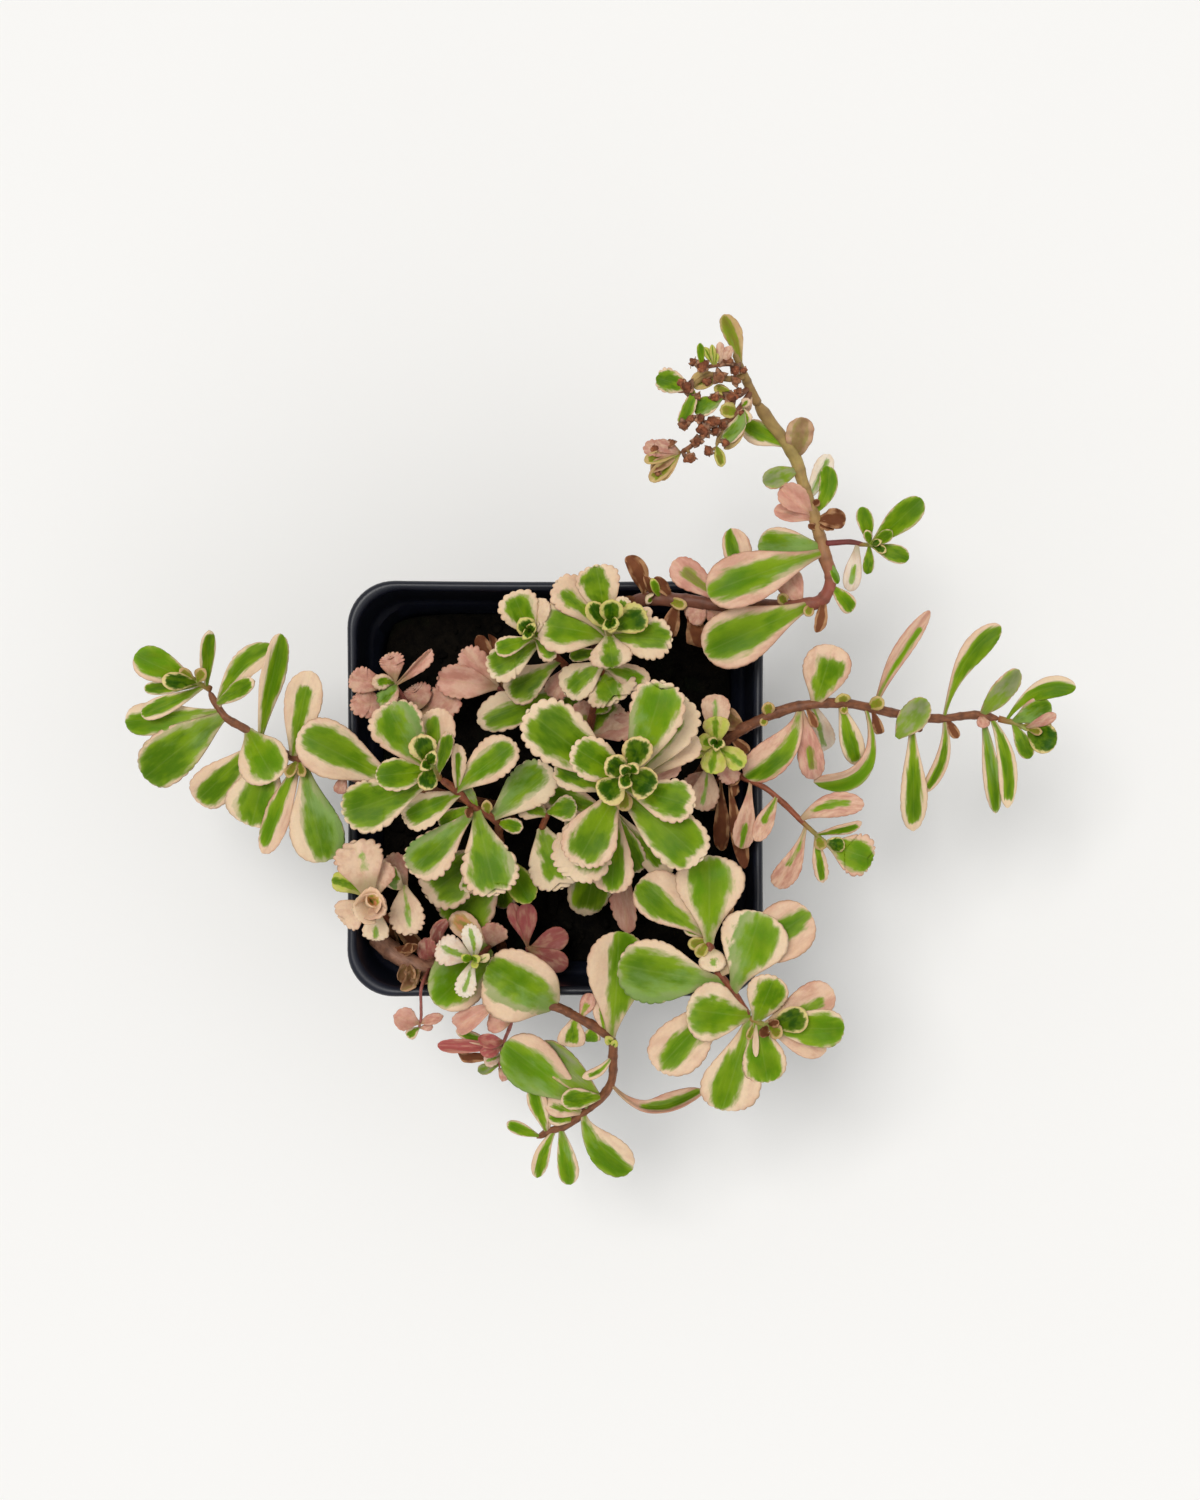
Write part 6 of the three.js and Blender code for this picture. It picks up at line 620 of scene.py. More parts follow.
def tube(skin, pts, r0, r1, kind, seed, sides=12, mat=1, step=0.9, rough=0.06, round_tip=True):
    pts, length = resample(pts, step)
    n = len(pts)
    rng = np.random.RandomState(seed)
    t = np.gradient(pts, axis=0)
    t /= np.linalg.norm(t, axis=1)[:, None]
    ref = np.array([0, 0, 1.0]) if abs(t[0][2]) < 0.9 else np.array([1.0, 0, 0])
    scars = np.cumsum(rng.uniform(3.0, 6.5, 60))
    verts, la, ca = [], [], []
    cols = BARK[kind]
    phase = rng.uniform(0, 6.28, 4)
    for i in range(n):
        ref = unit(ref - t[i] * np.dot(ref, t[i]))
        b = np.cross(t[i], ref)
        u = i / (n - 1)
        d = u * length
        r = r0 + (r1 - r0) * u
        near = np.min(np.abs(scars - d))
        swell = 1 + 0.13 * math.exp(-(near / 0.55) ** 2) * (1 if r > 0.5 else 0.5)
        if round_tip and u > 0.97:
            swell *= math.sqrt(max(0.03, 1 - ((u - 0.97) / 0.03) ** 2))
        for j in range(sides):
            a = j / sides * 2 * math.pi
            w = 1 + rough * math.sin(a * 2 + phase[0] + d * 0.5) + rough * 0.7 * math.sin(a * 3 + phase[1] - d * 0.9)
            verts.append(pts[i] + (ref * math.cos(a) + b * math.sin(a)) * r * swell * w)
            la.append((a / 6.283, d * 0.1, 1 - min(1, near / 0.8), rng.rand() * 0 + seed % 97 / 97))
            qc = u * (len(cols) - 1)
            ic = min(int(qc), len(cols) - 2)
            c = cols[ic] + (cols[ic + 1] - cols[ic]) * (qc - ic)
            ca.append((*c, 0.35 if kind in "fgtm" else 1))
    faces = []
    for i in range(n - 1):
        for j in range(sides):
            a, c = i * sides + j, i * sides + (j + 1) % sides
            faces.append((a, c, c + sides, a + sides))
    verts.append(pts[0])
    verts.append(pts[-1] + t[-1] * r1 * 0.2)
    la += [la[0], la[-1]]
    ca += [ca[0], ca[-1]]
    k0, k1 = n * sides, n * sides + 1
    for j in range(sides):
        faces.append((k0, (j + 1) % sides, j))
        faces.append((k1, (n - 1) * sides + j, (n - 1) * sides + (j + 1) % sides))
    skin.add(verts, faces, mat, la=la, ca=ca)


# ---------------------------------------------------------------- leaves
OUTLINE = {
    "o": (0.20, 0.66, 1.25),
    "s": (0.15, 0.70, 1.70),
    "r": (0.24, 0.55, 0.90),
    "e": (0.18, 0.52, 1.10),
}


def half_width(o, e, t):
    b, tm, q = o
    tm = e + (1 - e) * tm
    t = np.asarray(t, float)
    lo = b + (1 - b) * np.sin(np.pi / 2 * np.power(np.clip(t / tm, 0, 1), q * (1 + e)))
    hi = np.sqrt(np.clip(1 - np.power(np.clip((t - tm) / (1 - tm), 0, 1), 2.3), 0, 1))
    return np.where(t <= tm, lo, hi)


def foot_on(s, gx, gy, z):
    d = s["dense"]
    f = (POT_HEIGHT + EYE - d[:, 2]) / EYE
    qx = AX + ((gx - MIDX) * UNIT - AX) * f
    qy = AY - ((gy - MIDY) * UNIT + AY) * f
    c = (qx - d[:, 0]) ** 2 + (qy - d[:, 1]) ** 2
    if z is not None:
        c = c + (1.2 * (d[:, 2] - z)) ** 2
    return d[int(np.argmin(c))].copy()


def midrib(leaf):
    _, stem, (bx, by, tx, ty), _, o = leaf[:5]
    foot = foot_on(stem_table[stem], bx, by, o.get("z"))
    zb = foot[2]
    if o.get("v"):
        foot = at(bx, by, zb + o["v"])
        zb = foot[2]
    zt = zb + o.get("d", 1)
    b0, tip = at(bx, by, zb), at(tx, ty, zt)
    e0 = np.linalg.norm(foot - b0)
    e = e0 / (e0 + np.linalg.norm(b0 - tip))
    ln = np.linalg.norm(foot - tip)
    arch = o.get("a", 0.07 * ln)
    if "m" in o:
        bend = at(o["m"][0], o["m"][1], (zb + zt) / 2)
    else:
        k = max(0, 0.5 - e) / (1 - e)
        bend = b0 + (tip - b0) * k
    bend[2] = (zb + zt) / 2 + arch * 2
    return foot, tip, bend, min(0.6, e), ln


def smin(a, b, k):
    h = np.clip(0.5 + 0.5 * (b - a) / k, 0, 1)
    return b + (a - b) * h - k * h * (1 - h)


def smooth01(x):
    x = np.clip(x, 0, 1)
    return x * x * (3 - 2 * x)


KIND = {
    # margin, green, green zone [half width, offset, start, end], thickness, cup
    "N": (CREAM, GREEN, (0.60, 0, 0, 0.88), 1.05, 0.17),
    "G": (CREAM, GREEN, (0.80, 0, 0, 0.93), 1.05, 0.17),
    "C": (CREAM, PALE, (0.15, 0, 0, 0.8), 0.95, 0.15),
    "P": (PINK, OLIVE, (0, 0, 0, 0), 0.9, 0.12),
    "R": (ROSE, ROSE, (0, 0, 0, 0), 0.9, 0.12),
    "W": (lin(238, 232, 212), PALE, (0.22, 0, 0, 0.85), 0.85, 0.12),
    "Y": (LIME, GREEN, (0.30, 0, 0, 0.9), 0.95, 0.15),
    "K": (RIM, YOUNG, (0.80, 0, 0, 0.90), 1.15, 0.30),
    "U": (WARM, GREY, (0.95, 0, 0, 1.0), 1.0, 0.10),
    "O": (lin(198, 170, 112), lin(138, 128, 44), (0.6, 0, 0, 0.85), 0.7, 0.40),
    "D": (lin(182, 138, 98), lin(120, 72, 46), (0.6, 0, 0, 1.0), 0.45, 0.55),
    "H": (lin(238, 200, 165), ORANGE, (0.6, 0, 0.2, 0.9), 0.8, 0.40),
}


TOOTH = {"SL": 0.4, "LTc": 0.25, "SH": 0.4, "SHc": 0.3, "SF": 0.3, "SS": 0.3, "SSc": 0.3, "S10": 0.3, "S9": 0.35, "S9c": 0.4,
         "S8": 0.5, "S11": 0.4, "S12": 0.4, "SP": 0.2}


def leaf_mesh(skin, leaf, index):
    name, stem, _, width, o = leaf[:5]
    foot, tip, bend, e, ln = midrib(leaf)
    kind = o.get("k", "N")
    margin, green, zone, thick, cup0 = KIND[kind]
    rng = np.random.RandomState(1000 + index * 7)
    shape = OUTLINE[o.get("s", "o")]
    w = width * scale_at((foot[2] + tip[2]) / 2) / 2
    big = ln > 11
    S = [0, 0.28, 0.54, 0.76, 0.91, 1.0] if ln > 7 else [0, 0.4, 0.75, 1.0]
    dry = kind == "D"
    light = o.get("t", 0)
    if dry and light < 0.8:
        w = w * 0.78
    twist = o.get("tw", rng.uniform(-80, 80) if dry and light < 0.8 else 0)

    # outline of one side, evenly along its length
    tt = 1 - (1 - np.linspace(0, 1, 400)) ** 1.6
    yy = half_width(shape, e, tt) * w
    xx = tt * ln
    arc = np.concatenate([[0], np.cumsum(np.hypot(np.diff(xx), np.diff(yy)))])
    total = arc[-1]
    start = np.interp(e + (1 - e) * 0.38, tt, arc) / total
    # rounded teeth on the outer part of the margin, every point of a tooth on the grid
    teeth = int(np.clip(round((1 - start) * total / (1.25 + 0.05 * ln)), 2, 9))
    if kind in "DO":
        teeth = min(teeth, 4)
    teeth = o.get("n", teeth)
    per = 4 if ln > 7 else 3
    first = 7 if ln > 7 else 4
    phase = np.arange(1, int(per * (teeth + 0.5)) + 1) / per
    if phase[-1] < teeth + 0.5 - 1e-6:
        phase = np.append(phase, teeth + 0.5)
    cuts = np.concatenate([[0], np.cumsum(rng.uniform(0.6, 1.5, teeth) * np.linspace(1.15, 0.9, teeth)), [0]])
    cuts[-1] = cuts[-2] + 0.5
    ph_t = np.interp(phase, np.append(np.arange(teeth + 1), teeth + 0.5), cuts) / cuts[-1]
    grid = np.concatenate([np.linspace(0, start, first + 1), start + (1 - start) * ph_t])
    phs = np.concatenate([np.zeros(first + 1), phase])
    K = len(grid) - 1
    sides = []
    amp = w * rng.uniform(0.045, 0.105) * o.get("ta", TOOTH.get(stem, 1))
    if kind in "PRCW":
        amp *= {"C": 1.1, "W": 1.7}.get(kind, 1.45)
    if kind in "KDOHY":
        amp *= 0.6
    amp = min(amp, 0.68)
    for sgn in (-1, 1):
        a = grid * total
        x = np.interp(a, arc, xx)
        y = np.interp(a, arc, yy)
        ph = np.clip((grid - start) / (1 - start), 0, 1)
        tooth = np.where(ph > 0, np.abs(np.sin(np.pi * phs)) ** 0.7 - 0.66, 0)
        fade = smooth01(ph / 0.2)
        nx = np.gradient(y)
        ny = -np.gradient(x)
        l = np.hypot(nx, ny) + 1e-9
        nx, ny = -nx / l, -ny / l
        each = 1 + rng.uniform(-0.45, 0.45, teeth + 2)[np.minimum(phs.astype(int), teeth + 1)]
        x = x + nx * tooth * amp * fade * each
        y = y + ny * tooth * amp * fade * each
        # a little unevenness of the two halves
        y = y * (1 + sgn * rng.uniform(-0.05, 0.05) + 0.035 * np.sin(grid * 7 + rng.uniform(0, 6)))
        y[-1] = 0
        sides.append((x, np.maximum(y, 0)))
    base_t = grid * 0
    x0 = sides[0][0]
    tm = np.clip(x0 / ln - 0.26 * (sides[0][1] / max(w, 1e-6)) * w / ln * 1.6, 0, 1)
    tm = np.maximum.accumulate(tm)
    tm[0] = 0
    tm[-1] = 1.0

    # surface frame along the midrib
    def frame_at(t):
        t = np.asarray(t, float)
        tc = np.clip(t, 0, 1)[:, None]
        p = foot * (1 - tc) ** 2 + bend * 2 * tc * (1 - tc) + tip * tc ** 2
        d = 2 * (bend - foot) * (1 - tc) + 2 * (tip - bend) * tc
        d /= np.linalg.norm(d, axis=1)[:, None] + 1e-9
        p = p + d * ((t - np.clip(t, 0, 1))[:, None] * ln)
        up = np.array([0, 0, 1.0])
        n = up - d * d[:, 2:3]
        nl = np.linalg.norm(n, axis=1)[:, None]
        n = np.where(nl < 0.05, np.array([1.0, 0, 0]), n / np.maximum(nl, 1e-6))
        roll = np.radians(o.get("r", 0) + twist * (tc - 0.5))
        b = np.cross(d, n)
        n2 = n * np.cos(roll) + np.cross(d, n) * np.sin(roll)
        side = np.cross(d, n2)
        return p, d, n2, side

    cup = o.get("c", cup0) * rng.uniform(0.6, 1.6)
    fold = o.get("f", 0) + (0.05 if not dry else 0)
    rip = rng.uniform(0.03, 0.08) * w * (2.4 if dry else 1.0)
    ripf = rng.uniform(1.2, 2.6) * (2 if dry else 1)
    ripp = rng.uniform(0, 6.28, 2)
    curl = rng.uniform(-0.05, 0.06) * ln * (3 if dry and light < 0.8 else 1)
    pts_all, la_all, lb_all = [], [], []
    rows = []
    gz = o.get("g", zone)
    gh, go, gs, ge = gz if isinstance(gz, list) else list(gz)
    pink = o.get("p", rng.uniform(0.1, 0.35))
    if kind in "P":
        pink = o.get("p", 0.8)
    pale = o.get("b", rng.uniform(0.0, 0.25))
    old = o.get("o", 0)
    ps = o.get("ps", rng.choice([-1, 1]) * rng.uniform(0.2, 0.8))
    seed = rng.rand()

    def surface(x, y, s, face):
        """x along in mm, y across in mm (signed), s 0 at the midrib to 1 at the edge, face +1 top -1 underside"""
        t = x / ln
        p, d, n, side = frame_at(t)
        hw = np.maximum(half_width(shape, e, np.clip(t, 0, 0.985)) * w, 0.25)
        ay = np.abs(y)
        h = (cup + fold * 0) * ay * ay / max(w, 0.3) + fold * ay
        h = h + rip * np.sin(ripf * 6.28 * t + ripp[0] + np.sign(y) * ripp[1]) * (ay / max(w, 0.3)) ** 1.5
        h = h - curl * np.clip((t - 0.7) / 0.3, 0, 1.3) ** 2
        th = thick / 2 * np.minimum(1, 0.35 + hw / 1.6)
        prof = np.power(np.clip(1 - s ** 2.6, 0, 1), 0.5)
        crease = -0.10 * thick * np.exp(-(ay / (0.09 * w + 0.15)) ** 2) * np.clip(t * 4, 0, 1)
        h = h + face * th * prof + (crease if face > 0 else 0.5 * crease)
        return p + side * y[:, None] + n * h[:, None]

    def values(x, y, s, face):
        t = x / ln
        lx = y / w
        # how far inside the green zone, in half widths; the zone keeps to the leaf's outline
        te = np.clip((t - e) / (1 - e), 0, 1.1)
        hr = np.maximum(half_width(shape, e, np.clip(t, 0, 1)), 0.05)
        q = ln * (1 - e) / w
        gd = gh * hr - np.abs(lx - go * hr * np.clip(te * 2.0, 0, 1))
        if ge < 0.99:
            gd = smin(gd, (ge + 0.03 - te) * q, 0.30)
        if gs > 0:
            gd = smin(gd, (te - gs) * q, 0.30)
        if gh == 0:
            gd = np.full_like(gd, -1.0)
        la = np.stack([lx, te, 1 - s, np.full_like(lx, seed)], 1)
        lb = np.stack([gd, np.full_like(lx, pink), np.clip(pale * (0.62 + 0.9 * ps * lx), 0, 1.2), np.full_like(lx, 1.0 if kind == "K" else 0.0)], 1)
        return la, lb

    # vertex rows: for each face (top, underside), midrib then rays on both sides
    nS = len(S)
    vid = {}
    verts, la, lb, un = [], [], [], []
    count = 0

    def put_row(key, x, y, s, face):
        nonlocal count
        pos = surface(x, y, s, face)
        a, b = values(x, y, s, face)
        verts.append(pos)
        la.append(a)
        lb.append(b)
        un.append(np.full(len(x), 0.0 if face > 0 else 1.0))
        vid[key] = np.arange(count, count + len(x))
        count += len(x)

    for face in (1, -1):
        put_row((face, "mid"), tm * ln, np.zeros(K + 1), np.zeros(K + 1), face)
        for si, sgn in ((0, -1), (1, 1)):
            ox, oy = sides[si]
            for k in range(1, nS - 1):
                s = S[k]
                x = tm * ln * (1 - s) + ox * s
                y = oy * s * sgn
                put_row((face, si, k), x, y, np.full(K + 1, s), face)
    for si, sgn in ((0, -1), (1, 1)):
        ox, oy = sides[si]
        put_row(("edge", si), ox, oy * sgn, np.ones(K + 1), 1)
        un[-1][:] = 0.5
    faces = []
    for face in (1, -1):
        for si in (0, 1):
            cols = [vid[(face, "mid")]] + [vid[(face, si, k)] for k in range(1, nS - 1)] + [vid[("edge", si)]]
            for k in range(nS - 1):
                A, B = cols[k], cols[k + 1]
                for i in range(K):
                    quad = (A[i], A[i + 1], B[i + 1], B[i])
                    if (face == 1) == (si == 0):
                        quad = quad[::-1]
                    faces.append(tuple(int(q) for q in quad))
    V = np.concatenate(verts)
    LA = np.concatenate(la)
    LB = np.concatenate(lb)
    UN = np.concatenate(un)
    var = 1 + rng.uniform(-0.20, 0.20)
    warm = rng.uniform(0, 0.5)
    if dry:
        margin = margin * (1 - light) + lin(192, 158, 124) * light
        green = green * (1 - light) + lin(168, 136, 100) * light
        warm = 0
    m = margin * (1 - 0.55 * warm * (kind in "NGC")) + WARM * (0.55 * warm * (kind in "NGC"))
    yel = o.get("y", 0)
    if kind == "K":
        m = RIM * (1 - yel) + LIME * yel
        yel = 0
    if kind in "NGCW":
        m = m * (1 - 0.75 * pink) + PINK * 0.75 * pink
    m = m * (1 - yel * 0.7) + LIME * yel * 0.7
    g = green * var
    if kind in "NG":
        k = rng.uniform(0, 0.45)
        g = g * (1 - k) + DEEP * k
    m, g = [c * (1 - 0.62 * old) + lin(70, 52, 24) * 0.62 * old * 0.9 for c in (m, g)]
    ca = np.concatenate([np.tile(m, (len(V), 1)), UN[:, None]], 1)
    cb = np.concatenate([np.tile(g, (len(V), 1)), np.full((len(V), 1), 1.0 - 0.35 * light if dry else 0.3 if kind == "O" else 0.0)], 1)
    skin.add(V, faces, 0, la=LA, lb=LB, ca=ca, cb=cb)


# ---------------------------------------------------------------- dry florets
def floret(skin, item, index):
    stem, gx, gy, z, r = item
    c = at(gx, gy, z)
    R = r * scale_at(z) * 1.42
    rng = np.random.RandomState(500 + index)
    f = foot_on(stem_table[stem], gx, gy, z)
    axis = unit(c - f) if np.linalg.norm(c - f) > 0.2 else np.array([0, 0, 1.0])
    axis = unit(axis + np.array([rng.uniform(-0.3, 0.3), rng.uniform(-0.3, 0.3), 0.5]))
    # stalk
    mid = (f + c) / 2 + rng.uniform(-0.2, 0.2, 3)
    tube(skin, catmull([f, mid, c + axis * 0.1], 12), 0.42, 0.34, "t", 900 + index, sides=7, step=0.5, round_tip=False)
    a0 = unit(np.cross(axis, [0.3, 0.8, 0.1]))
    b0 = np.cross(axis, a0)
    spin = rng.uniform(0, 6.28)
    for j in range(7):
        a = spin + j * 2 * math.pi / 7 + rng.uniform(-0.3, 0.3)
        out = a0 * math.cos(a) + b0 * math.sin(a)
        L = R * rng.uniform(0.6, 1.0)
        spread = rng.uniform(0.12, 0.72)
        pts = [c, c + (axis * (1 - spread) + out * spread * 0.6) * L * 0.45, c + (axis * (1 - spread) * 0.9 + out * spread) * L * 0.85,
               c + (axis * (1 - spread) * 1.0 + out * spread * 1.25) * L]
        line = catmull(pts, 14)
        line, ln = resample(line, 0.35, 6)
        n = len(line)
        t = np.gradient(line, axis=0)
        verts, la, ca, lb, cb = [], [], [], [], []
        col = UMBER * rng.uniform(0.6, 1.5) + lin(156, 98, 66) * rng.uniform(0.1, 0.9)
        for i in range(n):
            tt = unit(t[i])
            up = unit(axis - tt * np.dot(axis, tt))
            sd = np.cross(tt, up)
            u = i / (n - 1)
            rr = R * 0.36 * (min(1, 0.35 + 1.6 * u) * math.sqrt(max(0.02, 1 - u ** 3.2)))
            for q in range(6):
                an = q / 6 * 2 * math.pi
                flat = 0.62 if math.sin(an) > 0 else 1.0
                verts.append(line[i] + sd * math.cos(an) * rr + up * math.sin(an) * rr * flat)
                la.append((math.cos(an), u, abs(math.sin(an)), (index * 5 + j) % 31 / 31))
                ca.append((*col, 0))
        faces = []
        for i in range(n - 1):
            for q in range(6):
                A, B = i * 6 + q, i * 6 + (q + 1) % 6
                faces.append((A, B, B + 6, A + 6))
        faces.append(tuple(range(5, -1, -1)))
        faces.append(tuple((n - 1) * 6 + q for q in range(6)))
        skin.add(verts, faces, 2, la=la, ca=ca)
        # a thin curled petal remnant between two pods
        if rng.rand() < 0.95:
            a += 0.6
            out = a0 * math.cos(a) + b0 * math.sin(a)
            P0 = c - axis * 0.1
            L2 = R * rng.uniform(0.7, 1.15)
            tipq = P0 + (out * 0.80 + axis * rng.uniform(-0.25, 0.65)) * L2
            hue = lin(196, 148, 118) * rng.uniform(0.4, 1.15)
            midq = P0 + (out * 0.6 + axis * 0.3) * L2 * 0.6
            line = catmull([P0, midq, tipq], 10)
            wd = R * 0.36
            verts, la, ca = [], [], []
            for i, p in enumerate(line):
                u = i / (len(line) - 1)
                wv = wd * math.sin(math.pi * min(1, 0.15 + 0.85 * u)) + 0.05
                sd = unit(np.cross(line[min(i + 1, len(line) - 1)] - line[max(i - 1, 0)], axis))
                nn = unit(np.cross(sd, line[min(i + 1, len(line) - 1)] - line[max(i - 1, 0)]))
                for q, (aa, bb) in enumerate(((1, 0), (0, 0.09), (-1, 0), (0, -0.09))):
                    verts.append(p + sd * wv * aa + nn * bb)
                    la.append((aa, u, 0.5, 0.3))
                    ca.append((*hue, 0))
            faces = []
            n = len(line)
            for i in range(n - 1):
                for q in range(4):
                    A, B = i * 4 + q, i * 4 + (q + 1) % 4
                    faces.append((A, B, B + 4, A + 4))
            faces.append((3, 2, 1, 0))
            faces.append(tuple((n - 1) * 4 + q for q in range(4)))
            skin.add(verts, faces, 2, la=la, ca=ca)


# ---------------------------------------------------------------- material helpers
def mat_new(name):
    m = bpy.data.materials.new(name)
    m.use_nodes = True
    nt = m.node_tree
    bsdf = nt.nodes["Principled BSDF"]
    return m, nt, bsdf


class G:
    """Short names for building a node tree."""

    def __init__(self, nt):
        self.nt = nt

    def node(self, kind, **kw):
        n = self.nt.nodes.new(kind)
        for k, v in kw.items():
            setattr(n, k, v)
        return n

    def link(self, a, b):
        self.nt.links.new(a, b)

    def math(self, op, a, b=None, c=None, clamp=False):
        n = self.node("ShaderNodeMath", operation=op, use_clamp=clamp)
        for i, x in enumerate((a, b, c)):
            if x is None:
                continue
            if isinstance(x, (int, float)):
                n.inputs[i].default_value = x
            else:
                self.link(x, n.inputs[i])
        return n.outputs[0]

    def step(self, x, lo, hi):
        n = self.node("ShaderNodeMapRange", interpolation_type="SMOOTHSTEP")
        n.inputs["From Min"].default_value = lo
        n.inputs["From Max"].default_value = hi
        self.link(x, n.inputs["Value"])
        return n.outputs["Result"]

    def mix(self, f, a, b, mode="MIX"):
        n = self.node("ShaderNodeMix", data_type="RGBA", blend_type=mode)
        for sock, x in ((n.inputs["Factor"], f), (n.inputs["A"], a), (n.inputs["B"], b)):
            if isinstance(x, (int, float)):
                sock.default_value = x
            elif isinstance(x, (tuple, list, np.ndarray)):
                sock.default_value = (*[float(q) for q in x[:3]], 1)
            else:
                self.link(x, sock)
        # the colour sockets are the ones of type RGBA
        return n.outputs["Result"]

    def mixc(self, f, a, b, mode="MIX"):
        n = self.node("ShaderNodeMix", data_type="RGBA", blend_type=mode)
        ins = [s for s in n.inputs if s.type == "RGBA"]
        fac = [s for s in n.inputs if s.name == "Factor" and s.type == "VALUE"][0]
        out = [s for s in n.outputs if s.type == "RGBA"][0]
        for sock, x in ((fac, f), (ins[0], a), (ins[1], b)):
            if isinstance(x, (int, float)):
                sock.default_value = x
            elif isinstance(x, (tuple, list, np.ndarray)):
                sock.default_value = (*[float(q) for q in x[:3]], 1)
            else:
                self.link(x, sock)
        return out

    def attr(self, name):
        n = self.node("ShaderNodeAttribute", attribute_name=name, attribute_type="GEOMETRY")
        s = self.node("ShaderNodeSeparateColor")
        self.link(n.outputs["Color"], s.inputs[0])
        return s.outputs[0], s.outputs[1], s.outputs[2], n.outputs["Alpha"], n.outputs["Color"]

    def vec(self, x, y, z):
        n = self.node("ShaderNodeCombineXYZ")
        for i, v in enumerate((x, y, z)):
            if isinstance(v, (int, float)):
                n.inputs[i].default_value = v
            else:
                self.link(v, n.inputs[i])
        return n.outputs[0]

    def noise(self, v, scale, detail=3, rough=0.55):
        n = self.node("ShaderNodeTexNoise")
        n.inputs["Scale"].default_value = scale
        n.inputs["Detail"].default_value = detail
        n.inputs["Roughness"].default_value = rough
        self.link(v, n.inputs["Vector"])
        return n.outputs["Fac"]

    def coord(self):
        return self.node("ShaderNodeTexCoord").outputs["Object"]

    def bump(self, h, strength, dist):
        n = self.node("ShaderNodeBump")
        n.inputs["Strength"].default_value = strength
        n.inputs["Distance"].default_value = dist
        self.link(h, n.inputs["Height"])
        return n.outputs[0]


